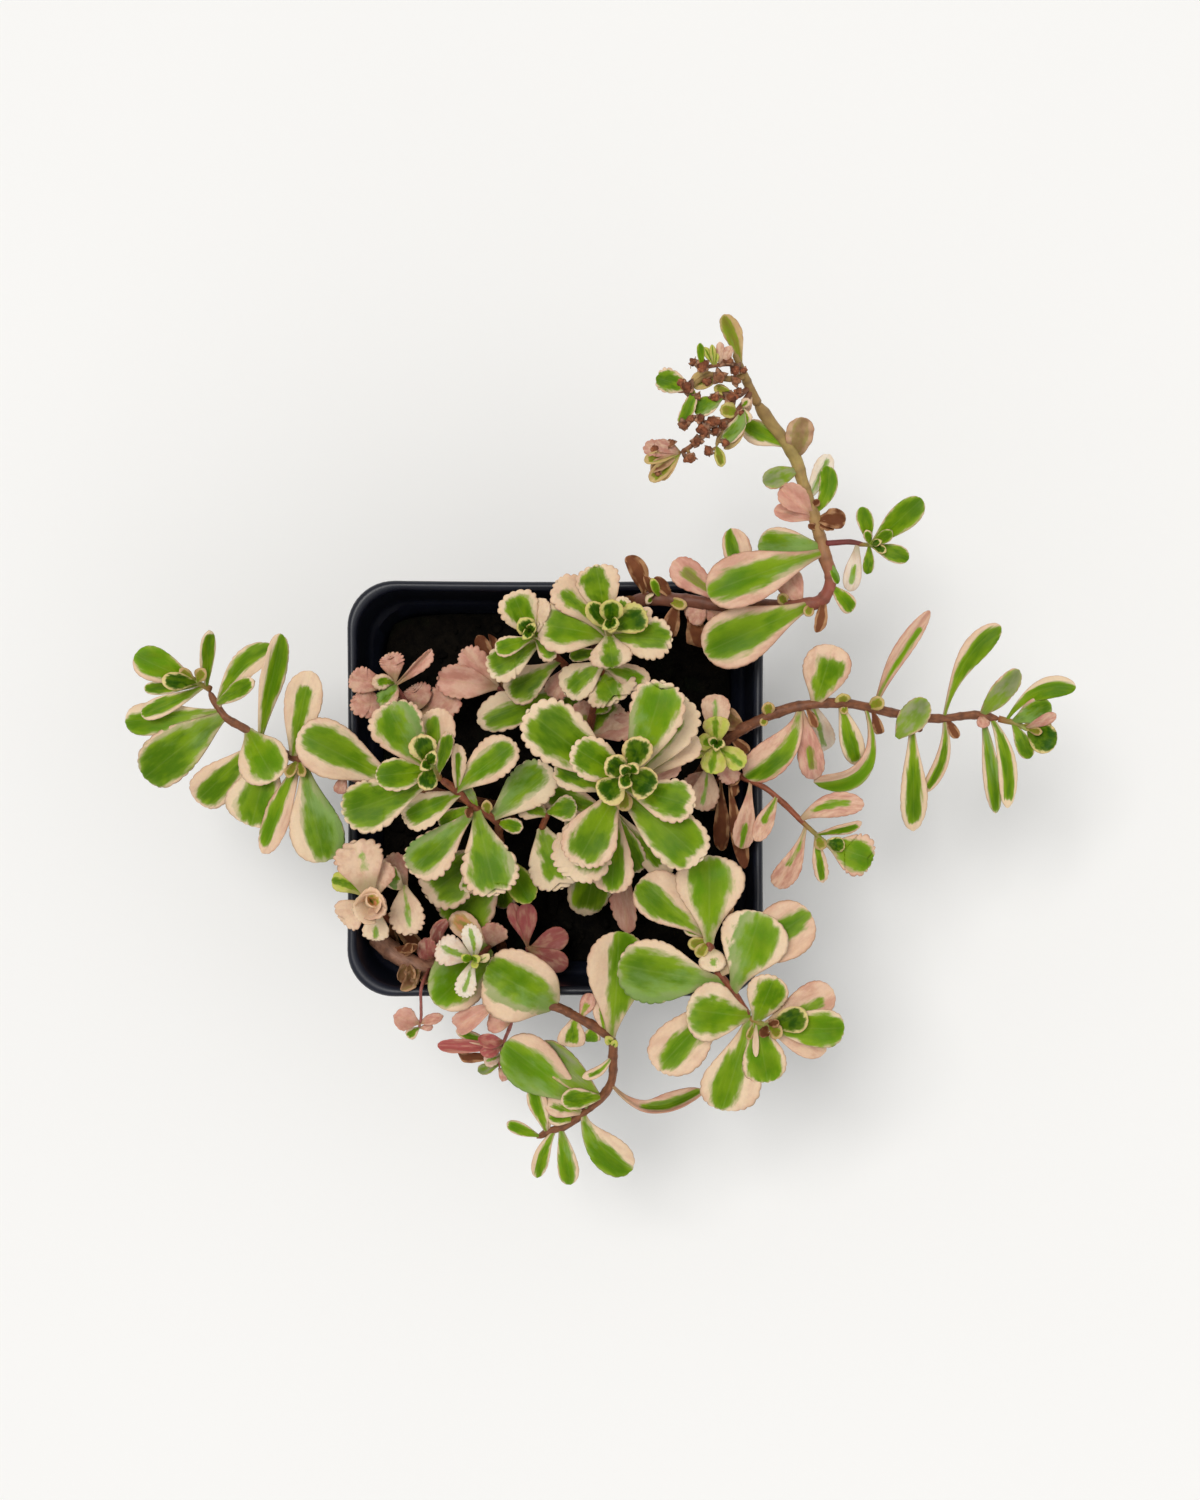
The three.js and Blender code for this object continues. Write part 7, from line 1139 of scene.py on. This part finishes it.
def leaf_material():
    m, nt, b = mat_new("leaf_flesh")
    g = G(nt)
    lx, lt, edge, seed, _ = g.attr("la")
    gd, pink, pale, calm, _ = g.attr("lb")
    _, _, _, under, margin = g.attr("ca")
    _, _, _, dry, green = g.attr("cb")
    sd = g.math("MULTIPLY", seed, 61.0)
    oc = g.coord()
    # fingers of green that run along the leaf
    n1 = g.noise(g.vec(g.math("MULTIPLY", lx, 4.2), g.math("MULTIPLY", lt, 5.0), sd), 1.0, 3, 0.5)
    n2 = g.noise(g.vec(g.math("MULTIPLY", lx, 3.0), g.math("MULTIPLY_ADD", lt, 4.2, 9.0), sd), 1.0, 3, 0.55)
    n3 = g.noise(g.vec(g.math("MULTIPLY", lx, 1.5), g.math("MULTIPLY_ADD", lt, 2.6, 20.0), sd), 1.3, 2, 0.5)
    vein = g.noise(g.vec(g.math("MULTIPLY", lx, 11.0), g.math("MULTIPLY", lt, 5.0), sd), 1.0, 4, 0.65)
    fine = g.noise(oc, 1500.0, 3, 0.6)
    soft = g.noise(oc, 260.0, 2, 0.5)
    wet = g.math("MULTIPLY", g.math("SUBTRACT", 1.0, dry), g.math("MULTIPLY_ADD", calm, -0.55, 1.0))
    d1 = g.math("ADD", gd, g.math("MULTIPLY", g.math("SUBTRACT", n1, 0.5), 0.56))
    mg = g.step(d1, -0.07, 0.13)
    d2 = g.math("ADD", g.math("ADD", gd, g.math("MULTIPLY", g.math("SUBTRACT", n2, 0.5), 0.60)), g.math("MULTIPLY_ADD", pale, 0.30, 0.02))
    mp = g.step(d2, 0.0, 0.10)
    # margin: cream, warmer in places and pinker right at the edge
    e1 = g.math("ADD", edge, g.math("MULTIPLY", g.math("SUBTRACT", n2, 0.5), 0.22))
    rim = g.math("SUBTRACT", 1.0, g.step(e1, 0.0, 0.20))
    c = g.mixc(g.math("MULTIPLY", g.math("MULTIPLY", rim, g.math("MULTIPLY_ADD", pink, 0.7, 0.2)), 0.60, clamp=True), margin, tuple(lin(204, 136, 112)))
    c = g.mixc(g.math("MULTIPLY", g.math("MULTIPLY", g.step(n3, 0.42, 0.72), 0.38), wet), c, tuple(WARM))
    lip = g.math("SUBTRACT", 1.0, g.step(edge, 0.0, 0.035))
    c = g.mixc(g.math("MULTIPLY", lip, g.math("MULTIPLY", g.step(n1, 0.40, 0.62), 0.55)), c, tuple(lin(176, 110, 78)))
    n4 = g.noise(g.vec(g.math("MULTIPLY", lx, 2.0), g.math("MULTIPLY_ADD", lt, 3.2, 41.0), sd), 1.0, 4, 0.6)
    c = g.mixc(g.math("MULTIPLY", g.math("MULTIPLY", g.step(n4, 0.40, 0.68), pink, clamp=True), 0.75), c, tuple(lin(184, 118, 102)))
    c = g.mixc(g.math("MULTIPLY", g.math("MULTIPLY", g.math("SUBTRACT", 1.0, g.step(n4, 0.30, 0.52)), pink, clamp=True), 0.60), c, tuple(lin(228, 194, 168)))
    c = g.mixc(g.math("MULTIPLY", g.math("SUBTRACT", 1.0, g.step(g.math("ADD", lt, g.math("MULTIPLY", g.math("SUBTRACT", n4, 0.5), 0.4)), 0.0, 0.32)), g.math("MULTIPLY", wet, 0.30)), c, tuple(lin(164, 156, 96)))
    # pale intermediate tissue
    palec = g.mixc(0.50, green, tuple(lin(152, 174, 112)))
    c = g.mixc(g.math("MULTIPLY", g.math("MULTIPLY", mp, g.math("MULTIPLY_ADD", pale, 0.9, 0.15, clamp=True)), wet), c, palec)
    # green, lighter towards the foot and in soft patches
    gv = g.mixc(g.math("MULTIPLY", g.math("MULTIPLY", g.step(g.math("SUBTRACT", n3, g.math("MULTIPLY", g.math("SUBTRACT", lt, 0.5), 0.22)), 0.36, 0.66), 0.85), wet), green, tuple(lin(126, 158, 14)))
    gv = g.mixc(g.math("MULTIPLY", g.math("MULTIPLY", g.step(vein, 0.50, 0.74), 0.20), wet), gv, tuple(lin(142, 172, 48)))
    gv = g.mixc(g.math("MULTIPLY", g.math("SUBTRACT", 1.0, g.step(d1, 0.05, 0.34)), g.math("MULTIPLY", wet, 0.36)), gv, tuple(lin(148, 172, 56)))
    pz = g.math("ADD", g.math("MULTIPLY", pale, 0.95), g.math("MULTIPLY", g.math("SUBTRACT", n2, 0.5), 1.3))
    pz = g.math("ADD", pz, g.math("MULTIPLY", g.math("SUBTRACT", 0.45, lt), 0.55))
    gv = g.mixc(g.math("MULTIPLY", g.math("MULTIPLY", g.step(pz, 0.30, 0.85), 0.75), wet), gv, tuple(PALE))
    c = g.mixc(mg, c, gv)
    # midrib line
    mid = g.math("SUBTRACT", 1.0, g.step(g.math("ABSOLUTE", lx), 0.0, 0.05))
    c = g.mixc(g.math("MULTIPLY", g.math("MULTIPLY", mid, 0.10), wet), c, tuple(lin(180, 196, 110)))
    # underside: duller and greyer
    uc = g.mixc(0.50, c, tuple(lin(150, 146, 106)))
    um = g.step(under, 0.50, 0.75)
    c = g.mixc(g.math("MULTIPLY", um, wet), c, uc)
    # painted shade: every leaf darkened towards dark olive near its foot, where the leaves above shade it
    foot_painted_shade = g.math("MULTIPLY", g.math("SUBTRACT", 1.0, g.step(lt, 0.0, 0.34)), 0.26)
    c = g.mixc(foot_painted_shade, c, tuple(lin(74, 80, 26)))
    # mottling
    deep = g.math("MULTIPLY", g.math("MULTIPLY", g.step(gd, 0.10, 0.62), g.step(g.math("ADD", lt, g.math("MULTIPLY", g.math("SUBTRACT", n3, 0.5), 0.9)), 0.30, 0.85)), g.math("MULTIPLY", wet, 0.42))
    c = g.mixc(deep, c, tuple(lin(58, 98, 0)))
    c = g.mixc(g.math("MULTIPLY", g.math("SUBTRACT", fine, 0.3), 0.20, clamp=True), c, tuple(lin(96, 84, 30)))
    # dry tissue: brown blotches
    c = g.mixc(g.math("MULTIPLY", g.math("MULTIPLY", dry, dry), g.step(soft, 0.42, 0.62)), c, tuple(lin(108, 62, 40)))
    g.link(c, b.inputs["Base Color"])
    r = g.math("ADD", 0.38, g.math("MULTIPLY", n3, 0.12))
    r = g.math("ADD", r, g.math("MULTIPLY", dry, 0.25), clamp=True)
    g.link(r, b.inputs["Roughness"])
    b.inputs["Specular IOR Level"].default_value = 0.11
    b.inputs["Subsurface Weight"].default_value = 0.08
    b.inputs["Subsurface Radius"].default_value = (1.0, 0.85, 0.25)
    b.inputs["Subsurface Scale"].default_value = 0.0008
    h = g.math("ADD", g.math("MULTIPLY", vein, 0.8), g.math("MULTIPLY", fine, 0.35))
    h = g.math("ADD", h, g.math("MULTIPLY", g.math("MULTIPLY", soft, dry), 2.0))
    g.link(g.bump(h, 0.5, 0.00022), b.inputs["Normal"])
    return m


def bark_material():
    m, nt, b = mat_new("stem_bark")
    g = G(nt)
    a, d, scar, seed, _ = g.attr("la")
    _, _, _, old, col = g.attr("ca")
    oc = g.coord()
    n1 = g.noise(g.vec(g.math("MULTIPLY", a, 9.0), g.math("MULTIPLY", d, 5.0), g.math("MULTIPLY", seed, 40.0)), 1.0, 4, 0.6)
    n2 = g.noise(oc, 700.0, 3, 0.6)
    c = g.mixc(g.math("MULTIPLY", g.step(n1, 0.35, 0.7), old), col, g.mixc(0.55, col, tuple(lin(60, 30, 20))))
    c = g.mixc(g.math("MULTIPLY", g.step(n2, 0.55, 0.75), 0.35), c, tuple(lin(176, 120, 88)))
    c = g.mixc(g.math("MULTIPLY", scar, 0.45), c, tuple(lin(74, 44, 30)))
    g.link(c, b.inputs["Base Color"])
    g.link(g.math("MULTIPLY_ADD", n2, 0.25, 0.42), b.inputs["Roughness"])
    b.inputs["Specular IOR Level"].default_value = 0.4
    g.link(g.bump(g.math("ADD", g.math("MULTIPLY", n1, 0.7), n2), 0.6, 0.0002), b.inputs["Normal"])
    return m


def dry_material():
    m, nt, b = mat_new("dry_flowers")
    g = G(nt)
    _, u, ed, seed, _ = g.attr("la")
    _, _, _, _, col = g.attr("ca")
    oc = g.coord()
    n1 = g.noise(oc, 900.0, 4, 0.65)
    n2 = g.noise(oc, 220.0, 2, 0.5)
    c = g.mixc(g.step(n1, 0.35, 0.7), col, g.mixc(0.5, col, tuple(lin(40, 18, 14))))
    c = g.mixc(g.math("MULTIPLY", g.step(n2, 0.50, 0.70), 0.5), c, tuple(lin(170, 124, 88)))
    c = g.mixc(g.math("MULTIPLY", g.step(u, 0.75, 1.0), 0.45), c, tuple(lin(66, 36, 24)))
    g.link(c, b.inputs["Base Color"])
    b.inputs["Roughness"].default_value = 0.75
    b.inputs["Specular IOR Level"].default_value = 0.25
    g.link(g.bump(n1, 0.8, 0.0003), b.inputs["Normal"])
    return m


def pot_material():
    m, nt, b = mat_new("pot_plastic")
    g = G(nt)
    oc = g.coord()
    n1 = g.noise(oc, 2400.0, 3, 0.6)
    n2 = g.noise(oc, 60.0, 3, 0.6)
    n3 = g.noise(oc, 420.0, 4, 0.7)
    sp = g.node("ShaderNodeTexVoronoi")
    sp.inputs["Scale"].default_value = 330.0
    g.link(oc, sp.inputs["Vector"])
    speck = g.math("MULTIPLY", g.math("SUBTRACT", 1.0, g.step(sp.outputs["Distance"], 0.04, 0.16)), g.step(n3, 0.55, 0.68))
    c = g.mixc(g.step(n2, 0.3, 0.7), tuple(lin(15, 18, 29)), tuple(lin(22, 26, 40)))
    c = g.mixc(g.math("MULTIPLY", speck, 0.35), c, tuple(lin(104, 108, 116)))
    g.link(c, b.inputs["Base Color"])
    g.link(g.math("MULTIPLY_ADD", n2, 0.16, 0.30), b.inputs["Roughness"])
    b.inputs["Specular IOR Level"].default_value = 0.38
    g.link(g.bump(n1, 0.12, 0.0002), b.inputs["Normal"])
    return m


def mix_material():
    m, nt, b = mat_new("potting_mix")
    g = G(nt)
    oc = g.coord()
    n1 = g.noise(oc, 300.0, 5, 0.7)
    n2 = g.noise(oc, 90.0, 3, 0.6)
    c = g.mixc(g.step(n1, 0.35, 0.7), tuple(lin(5, 4, 3)), tuple(lin(20, 16, 11)))
    c = g.mixc(g.math("MULTIPLY", g.step(n2, 0.55, 0.7), 0.6), c, tuple(lin(20, 26, 12)))
    g.link(c, b.inputs["Base Color"])
    b.inputs["Roughness"].default_value = 0.92
    b.inputs["Specular IOR Level"].default_value = 0.08
    g.link(g.bump(n1, 1.0, 0.0008), b.inputs["Normal"])
    return m


MAT_LEAF = leaf_material()
MAT_BARK = bark_material()
MAT_DRY = dry_material()
MAT_POT = pot_material()
MAT_MIX = mix_material()

# ---------------------------------------------------------------- camera, light, floor
scene = bpy.context.scene
cam = bpy.data.cameras.new("camera")
cam.sensor_fit = "AUTO"
cam.sensor_width = 36
cam.lens = 36 * 600 / 358.85
cam.clip_start = 0.01
cam.clip_end = 20
cam_ob = bpy.data.objects.new("camera", cam)
cam_ob.location = (AX * MM, AY * MM, (POT_HEIGHT + EYE) * MM)
cam_ob.rotation_euler = (0, 0, 0)
scene.collection.objects.link(cam_ob)
scene.camera = cam_ob

world = bpy.data.worlds.new("studio")
scene.world = world
world.use_nodes = True
wn = world.node_tree
bg = wn.nodes["Background"]
wg = G(wn)
wz = wg.node("ShaderNodeSeparateXYZ")
wg.link(wg.node("ShaderNodeTexCoord").outputs["Generated"], wz.inputs[0])
band = wg.math("SUBTRACT", 1.0, wg.step(wz.outputs[2], 0.03, 0.30))
top = wg.step(wz.outputs[2], 0.30, 1.0)
wg.link(wg.math("ADD", wg.math("MULTIPLY_ADD", band, 0.50, 0.42), wg.math("MULTIPLY", top, 0.10)), bg.inputs["Strength"])
bg.inputs["Color"].default_value = (1.0, 0.99, 0.975, 1)


def sun(name, direction, strength, spread, colour):
    l = bpy.data.lights.new(name, "SUN")
    l.energy = strength
    l.angle = math.radians(spread)
    l.color = colour
    ob = bpy.data.objects.new(name, l)
    ob.rotation_euler = Vector(direction).to_track_quat("-Z", "Y").to_euler()
    scene.collection.objects.link(ob)


sun("key", (0.22, -0.20, -1.0), 1.60, 22, (1, 0.98, 0.95))
sun("fill", (-0.5, 0.3, -1.0), 0.34, 50, (0.97, 0.99, 1))

fm, fnt, fb = mat_new("floor_paper")
fg = G(fnt)
fc = fg.mixc(fg.step(fg.noise(fg.coord(), 3.0, 2), 0.3, 0.7), (0.885, 0.885, 0.88), (0.90, 0.90, 0.895))
fg.link(fc, fb.inputs["Base Color"])
fb.inputs["Roughness"].default_value = 1.0
fb.inputs["Specular IOR Level"].default_value = 0.0
bm = bmesh.new()
bmesh.ops.create_grid(bm, x_segments=8, y_segments=8, size=30.0)
fme = bpy.data.meshes.new("floor")
bm.to_mesh(fme)
bm.free()
fme.materials.append(fm)
floor = bpy.data.objects.new("floor", fme)
floor.location = (0, 0, -0.0002)
scene.collection.objects.link(floor)

scene.view_settings.view_transform = "Standard"
scene.view_settings.look = "None"

# ---------------------------------------------------------------- pot
rim = POT_RIM / 2
base = POT_BASE / 2
zc = POT_HEIGHT - 16.0
collar = rim - 2.2
STEP = 1.4
WALL = 1.5
FLOOR = 2.2


def rad(half):
    return max(3.0, 11.5 - (rim - half) * 0.25)


def square_ring(half, r, z, k=12, straight=6):
    pts = []
    for q in range(4):
        cx = (1 if q in (0, 3) else -1) * (half - r)
        cy = (1 if q < 2 else -1) * (half - r)
        for i in range(k + 1):
            a = (q + i / k) * math.pi / 2
            pts.append((cx + r * math.cos(a), cy + r * math.sin(a), z))
        nx = (1 if (q + 1) % 4 in (0, 3) else -1) * (half - r)
        ny = (1 if (q + 1) % 4 < 2 else -1) * (half - r)
        a = (q + 1) * math.pi / 2
        ex, ey = nx + r * math.cos(a), ny + r * math.sin(a)
        sx, sy = pts[-1][0], pts[-1][1]
        for i in range(1, straight):
            pts.append((sx + (ex - sx) * i / straight, sy + (ey - sy) * i / straight, z))
    return np.array(pts)


def bow(pts):
    """thin moulded walls are never quite straight"""
    out = pts.copy()
    z = np.clip(pts[:, 2] / POT_HEIGHT, 0, 1)
    out[:, 0] -= 0.35 * np.sign(pts[:, 0]) * z ** 2 * np.cos(np.clip(pts[:, 1] / rim, -1, 1) * math.pi / 2) * (np.abs(pts[:, 0]) > 30)
    out[:, 1] -= 0.45 * np.sign(pts[:, 1]) * z ** 2 * np.cos(np.clip(pts[:, 0] / rim, -1, 1) * math.pi / 2) * (np.abs(pts[:, 1]) > 30)
    return out


profile = [(base - 1.6, 0.0), (base - 0.7, 0.15), (base - 0.15, 0.7), (base + 0.05, 1.5)]
for i in range(1, 12):
    z = 1.5 + (zc - 1.6 - 1.5) * i / 11
    profile.append((base + (collar - STEP - base) * z / (zc - 1), z))
profile += [(collar - STEP + 0.05, zc - 1.1), (collar - STEP * 0.55, zc - 0.75), (collar - 0.2, zc - 0.35), (collar, zc + 0.3)]
for i in range(1, 5):
    profile.append((collar + (rim - 0.9 - collar) * i / 4, zc + 0.3 + (POT_HEIGHT - 3.3 - zc) * i / 4))
for i in range(0, 9):  # rolled rim
    a = -math.pi / 2 + math.pi * i / 8
    profile.append((rim - 1.0 + 1.0 * max(0, math.cos(a)), POT_HEIGHT - 1.35 + 1.35 * math.sin(a)))
profile += [(rim - 1.5, POT_HEIGHT - 0.05), (rim - 2.0, POT_HEIGHT - 0.35), (rim - 2.3, POT_HEIGHT - 1.0), (rim - 2.4, POT_HEIGHT - 2.4)]
for i in range(1, 5):
    profile.append((rim - 2.4 + (collar - WALL - rim + 2.4) * i / 4, POT_HEIGHT - 2.4 + (zc + 0.3 - POT_HEIGHT + 2.4) * i / 4))
profile += [(collar - WALL - 0.3, zc - 0.3), (collar - WALL - STEP * 0.6, zc - 0.8), (collar - STEP - WALL, zc - 1.4)]
for i in range(1, 8):
    z = zc - 1.4 + (FLOOR - zc + 1.4) * i / 7
    profile.append((base - WALL - 0.6 + (collar - STEP - base + 0.6) * (z - FLOOR) / (zc - 1 - FLOOR), z))
skin = Skin()
rings = [bow(square_ring(h, rad(h) if z > FLOOR else min(rad(h), 9), z)) for h, z in profile]
n = len(rings[0])
verts = np.concatenate(rings)
faces = []
for i in range(len(rings) - 1):
    for j in range(n):
        a, b = i * n + j, i * n + (j + 1) % n
        faces.append((a, b, b + n, a + n))
faces.append(tuple(range(n - 1, -1, -1)))
faces.append(tuple((len(rings) - 1) * n + j for j in range(n)))
skin.add(verts, faces, 0)
pot = skin.build("nursery_pot", [MAT_POT])
cutters = []
for sx, sy in ((1, 1), (-1, 1), (-1, -1), (1, -1)):
    bm = bmesh.new()
    bmesh.ops.create_cone(bm, cap_ends=True, segments=40, radius1=4 * MM, radius2=4 * MM, depth=12 * MM)
    me = bpy.data.meshes.new("cut")
    bm.to_mesh(me)
    bm.free()
    c = bpy.data.objects.new("cut", me)
    c.location = (sx * 21 * MM, sy * 21 * MM, 0)
    scene.collection.objects.link(c)
    cutters.append(c)
for c in cutters:
    md = pot.modifiers.new("drain", "BOOLEAN")
    md.operation = "DIFFERENCE"
    md.solver = "EXACT"
    md.object = c
dg = bpy.context.evaluated_depsgraph_get()
me = bpy.data.meshes.new_from_object(pot.evaluated_get(dg))
pot.modifiers.clear()
pot.data = me
for c in cutters:
    bpy.data.objects.remove(c)
for p in pot.data.polygons:
    p.use_smooth = True
pot.data.set_sharp_from_angle(angle=math.radians(38))
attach(pot, "root")
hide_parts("pot")

# ---------------------------------------------------------------- potting mix
MIX_TOP = 67.0


def wall_in(z):
    return (base - WALL - 0.6) + (collar - STEP - base + 0.6) * (z - FLOOR) / (zc - 1 - FLOOR) - 0.35


skin = Skin()
N = 110
rng = np.random.RandomState(3)
half = wall_in(MIX_TOP) - 0.4
gx = np.linspace(-1, 1, N)
grid = []
for j in range(N):
    for i in range(N):
        x, y = gx[i], gx[j]
        # square to rounded square
        r = max(abs(x), abs(y))
        k = 1 - 0.062 * (min(abs(x), abs(y)) / max(r, 1e-6)) ** 6
        X, Y = x * half * k, y * half * k
        h = 0
        h += 1.1 * noise.noise(Vector((X * 0.09, Y * 0.09, 1.3)))
        h += 0.9 * noise.noise(Vector((X * 0.45, Y * 0.45, 5.1)))
        h += 0.55 * noise.noise(Vector((X * 1.3, Y * 1.3, 9.7)))
        h -= 0.8 * smooth01((r - 0.86) / 0.14)
        grid.append((X, Y, MIX_TOP - 1.5 + h * 1.0))
grid = np.array(grid)
lowz = FLOOR + 0.4
faces = []
for j in range(N - 1):
    for i in range(N - 1):
        a = j * N + i
        faces.append((a, a + 1, a + 1 + N, a + N))
edge = [i for i in range(N)] + [j * N + N - 1 for j in range(1, N)] + [(N - 1) * N + i for i in range(N - 2, -1, -1)] + [j * N for j in range(N - 2, 0, -1)]
low = []
for q in edge:
    x, y = grid[q][0], grid[q][1]
    s = wall_in(lowz) / wall_in(MIX_TOP)
    low.append((x * s, y * s, lowz))
nb = len(grid)
verts = np.concatenate([grid, np.array(low)])
for k in range(len(edge)):
    a, b = edge[k], edge[(k + 1) % len(edge)]
    faces.append((a, nb + k, nb + (k + 1) % len(edge), b))
faces.append(tuple(nb + k for k in range(len(edge) - 1, -1, -1)))
skin.add(verts, faces, 0)
# crumbs and bark chips
for q in range(420):
    x, y = rng.uniform(-1, 1, 2) * (half - 3)
    s = rng.choice([0.5, 0.8, 1.1, 1.7, 2.4], p=[0.3, 0.3, 0.2, 0.14, 0.06])
    z = MIX_TOP - 1.4 + 1.1 * noise.noise(Vector((x * 0.09, y * 0.09, 1.3))) + s * 0.2
    bm = bmesh.new()
    bmesh.ops.create_icosphere(bm, subdivisions=1 if s < 1.5 else 2, radius=1)
    el = rng.uniform(0.5, 1.4, 3)
    rot = rng.uniform(0, 6.28)
    vv = []
    for v in bm.verts:
        p = np.array(v.co) * el * s * (1 + 0.35 * noise.noise(Vector((v.co.x * 2 + q, v.co.y * 2, v.co.z * 2))))
        vv.append((x + p[0] * math.cos(rot) - p[1] * math.sin(rot), y + p[0] * math.sin(rot) + p[1] * math.cos(rot), min(z + p[2] * 0.7, MIX_TOP + 0.5)))
    skin.add(vv, [tuple(v.index for v in f.verts) for f in bm.faces], 0)
    bm.free()
mix = skin.build("potting_mix_surface", [MAT_MIX])
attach(mix, "root")
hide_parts("potting_mix")

# ---------------------------------------------------------------- plant pieces
skins = {}
for index, s in enumerate(STEMS):
    st = stem_table[s[0]]
    sk = skins.setdefault(s[1], Skin())
    pts = st["dense"]
    if s[4] == "g" or s[0] == "J0":
        pts = np.concatenate([[pts[0] - unit(pts[1] - pts[0]) * 1.1], pts])
    tube(sk, pts, s[2], s[3], s[4], 11 + index, sides=14 if s[2] > 0.7 else 10, round_tip=True)
for index, leaf in enumerate(LEAVES):
    piece = leaf[5] or stem_table[leaf[1]]["piece"]
    leaf_mesh(skins.setdefault(piece, Skin()), leaf, index)
for index, f in enumerate(FLORETS):
    floret(skins["flower_head"], f, index)
for piece, sk in skins.items():
    ob = sk.build(piece + "_fine", [MAT_LEAF, MAT_BARK, MAT_DRY])
    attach(ob, "root")
    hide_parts(piece)
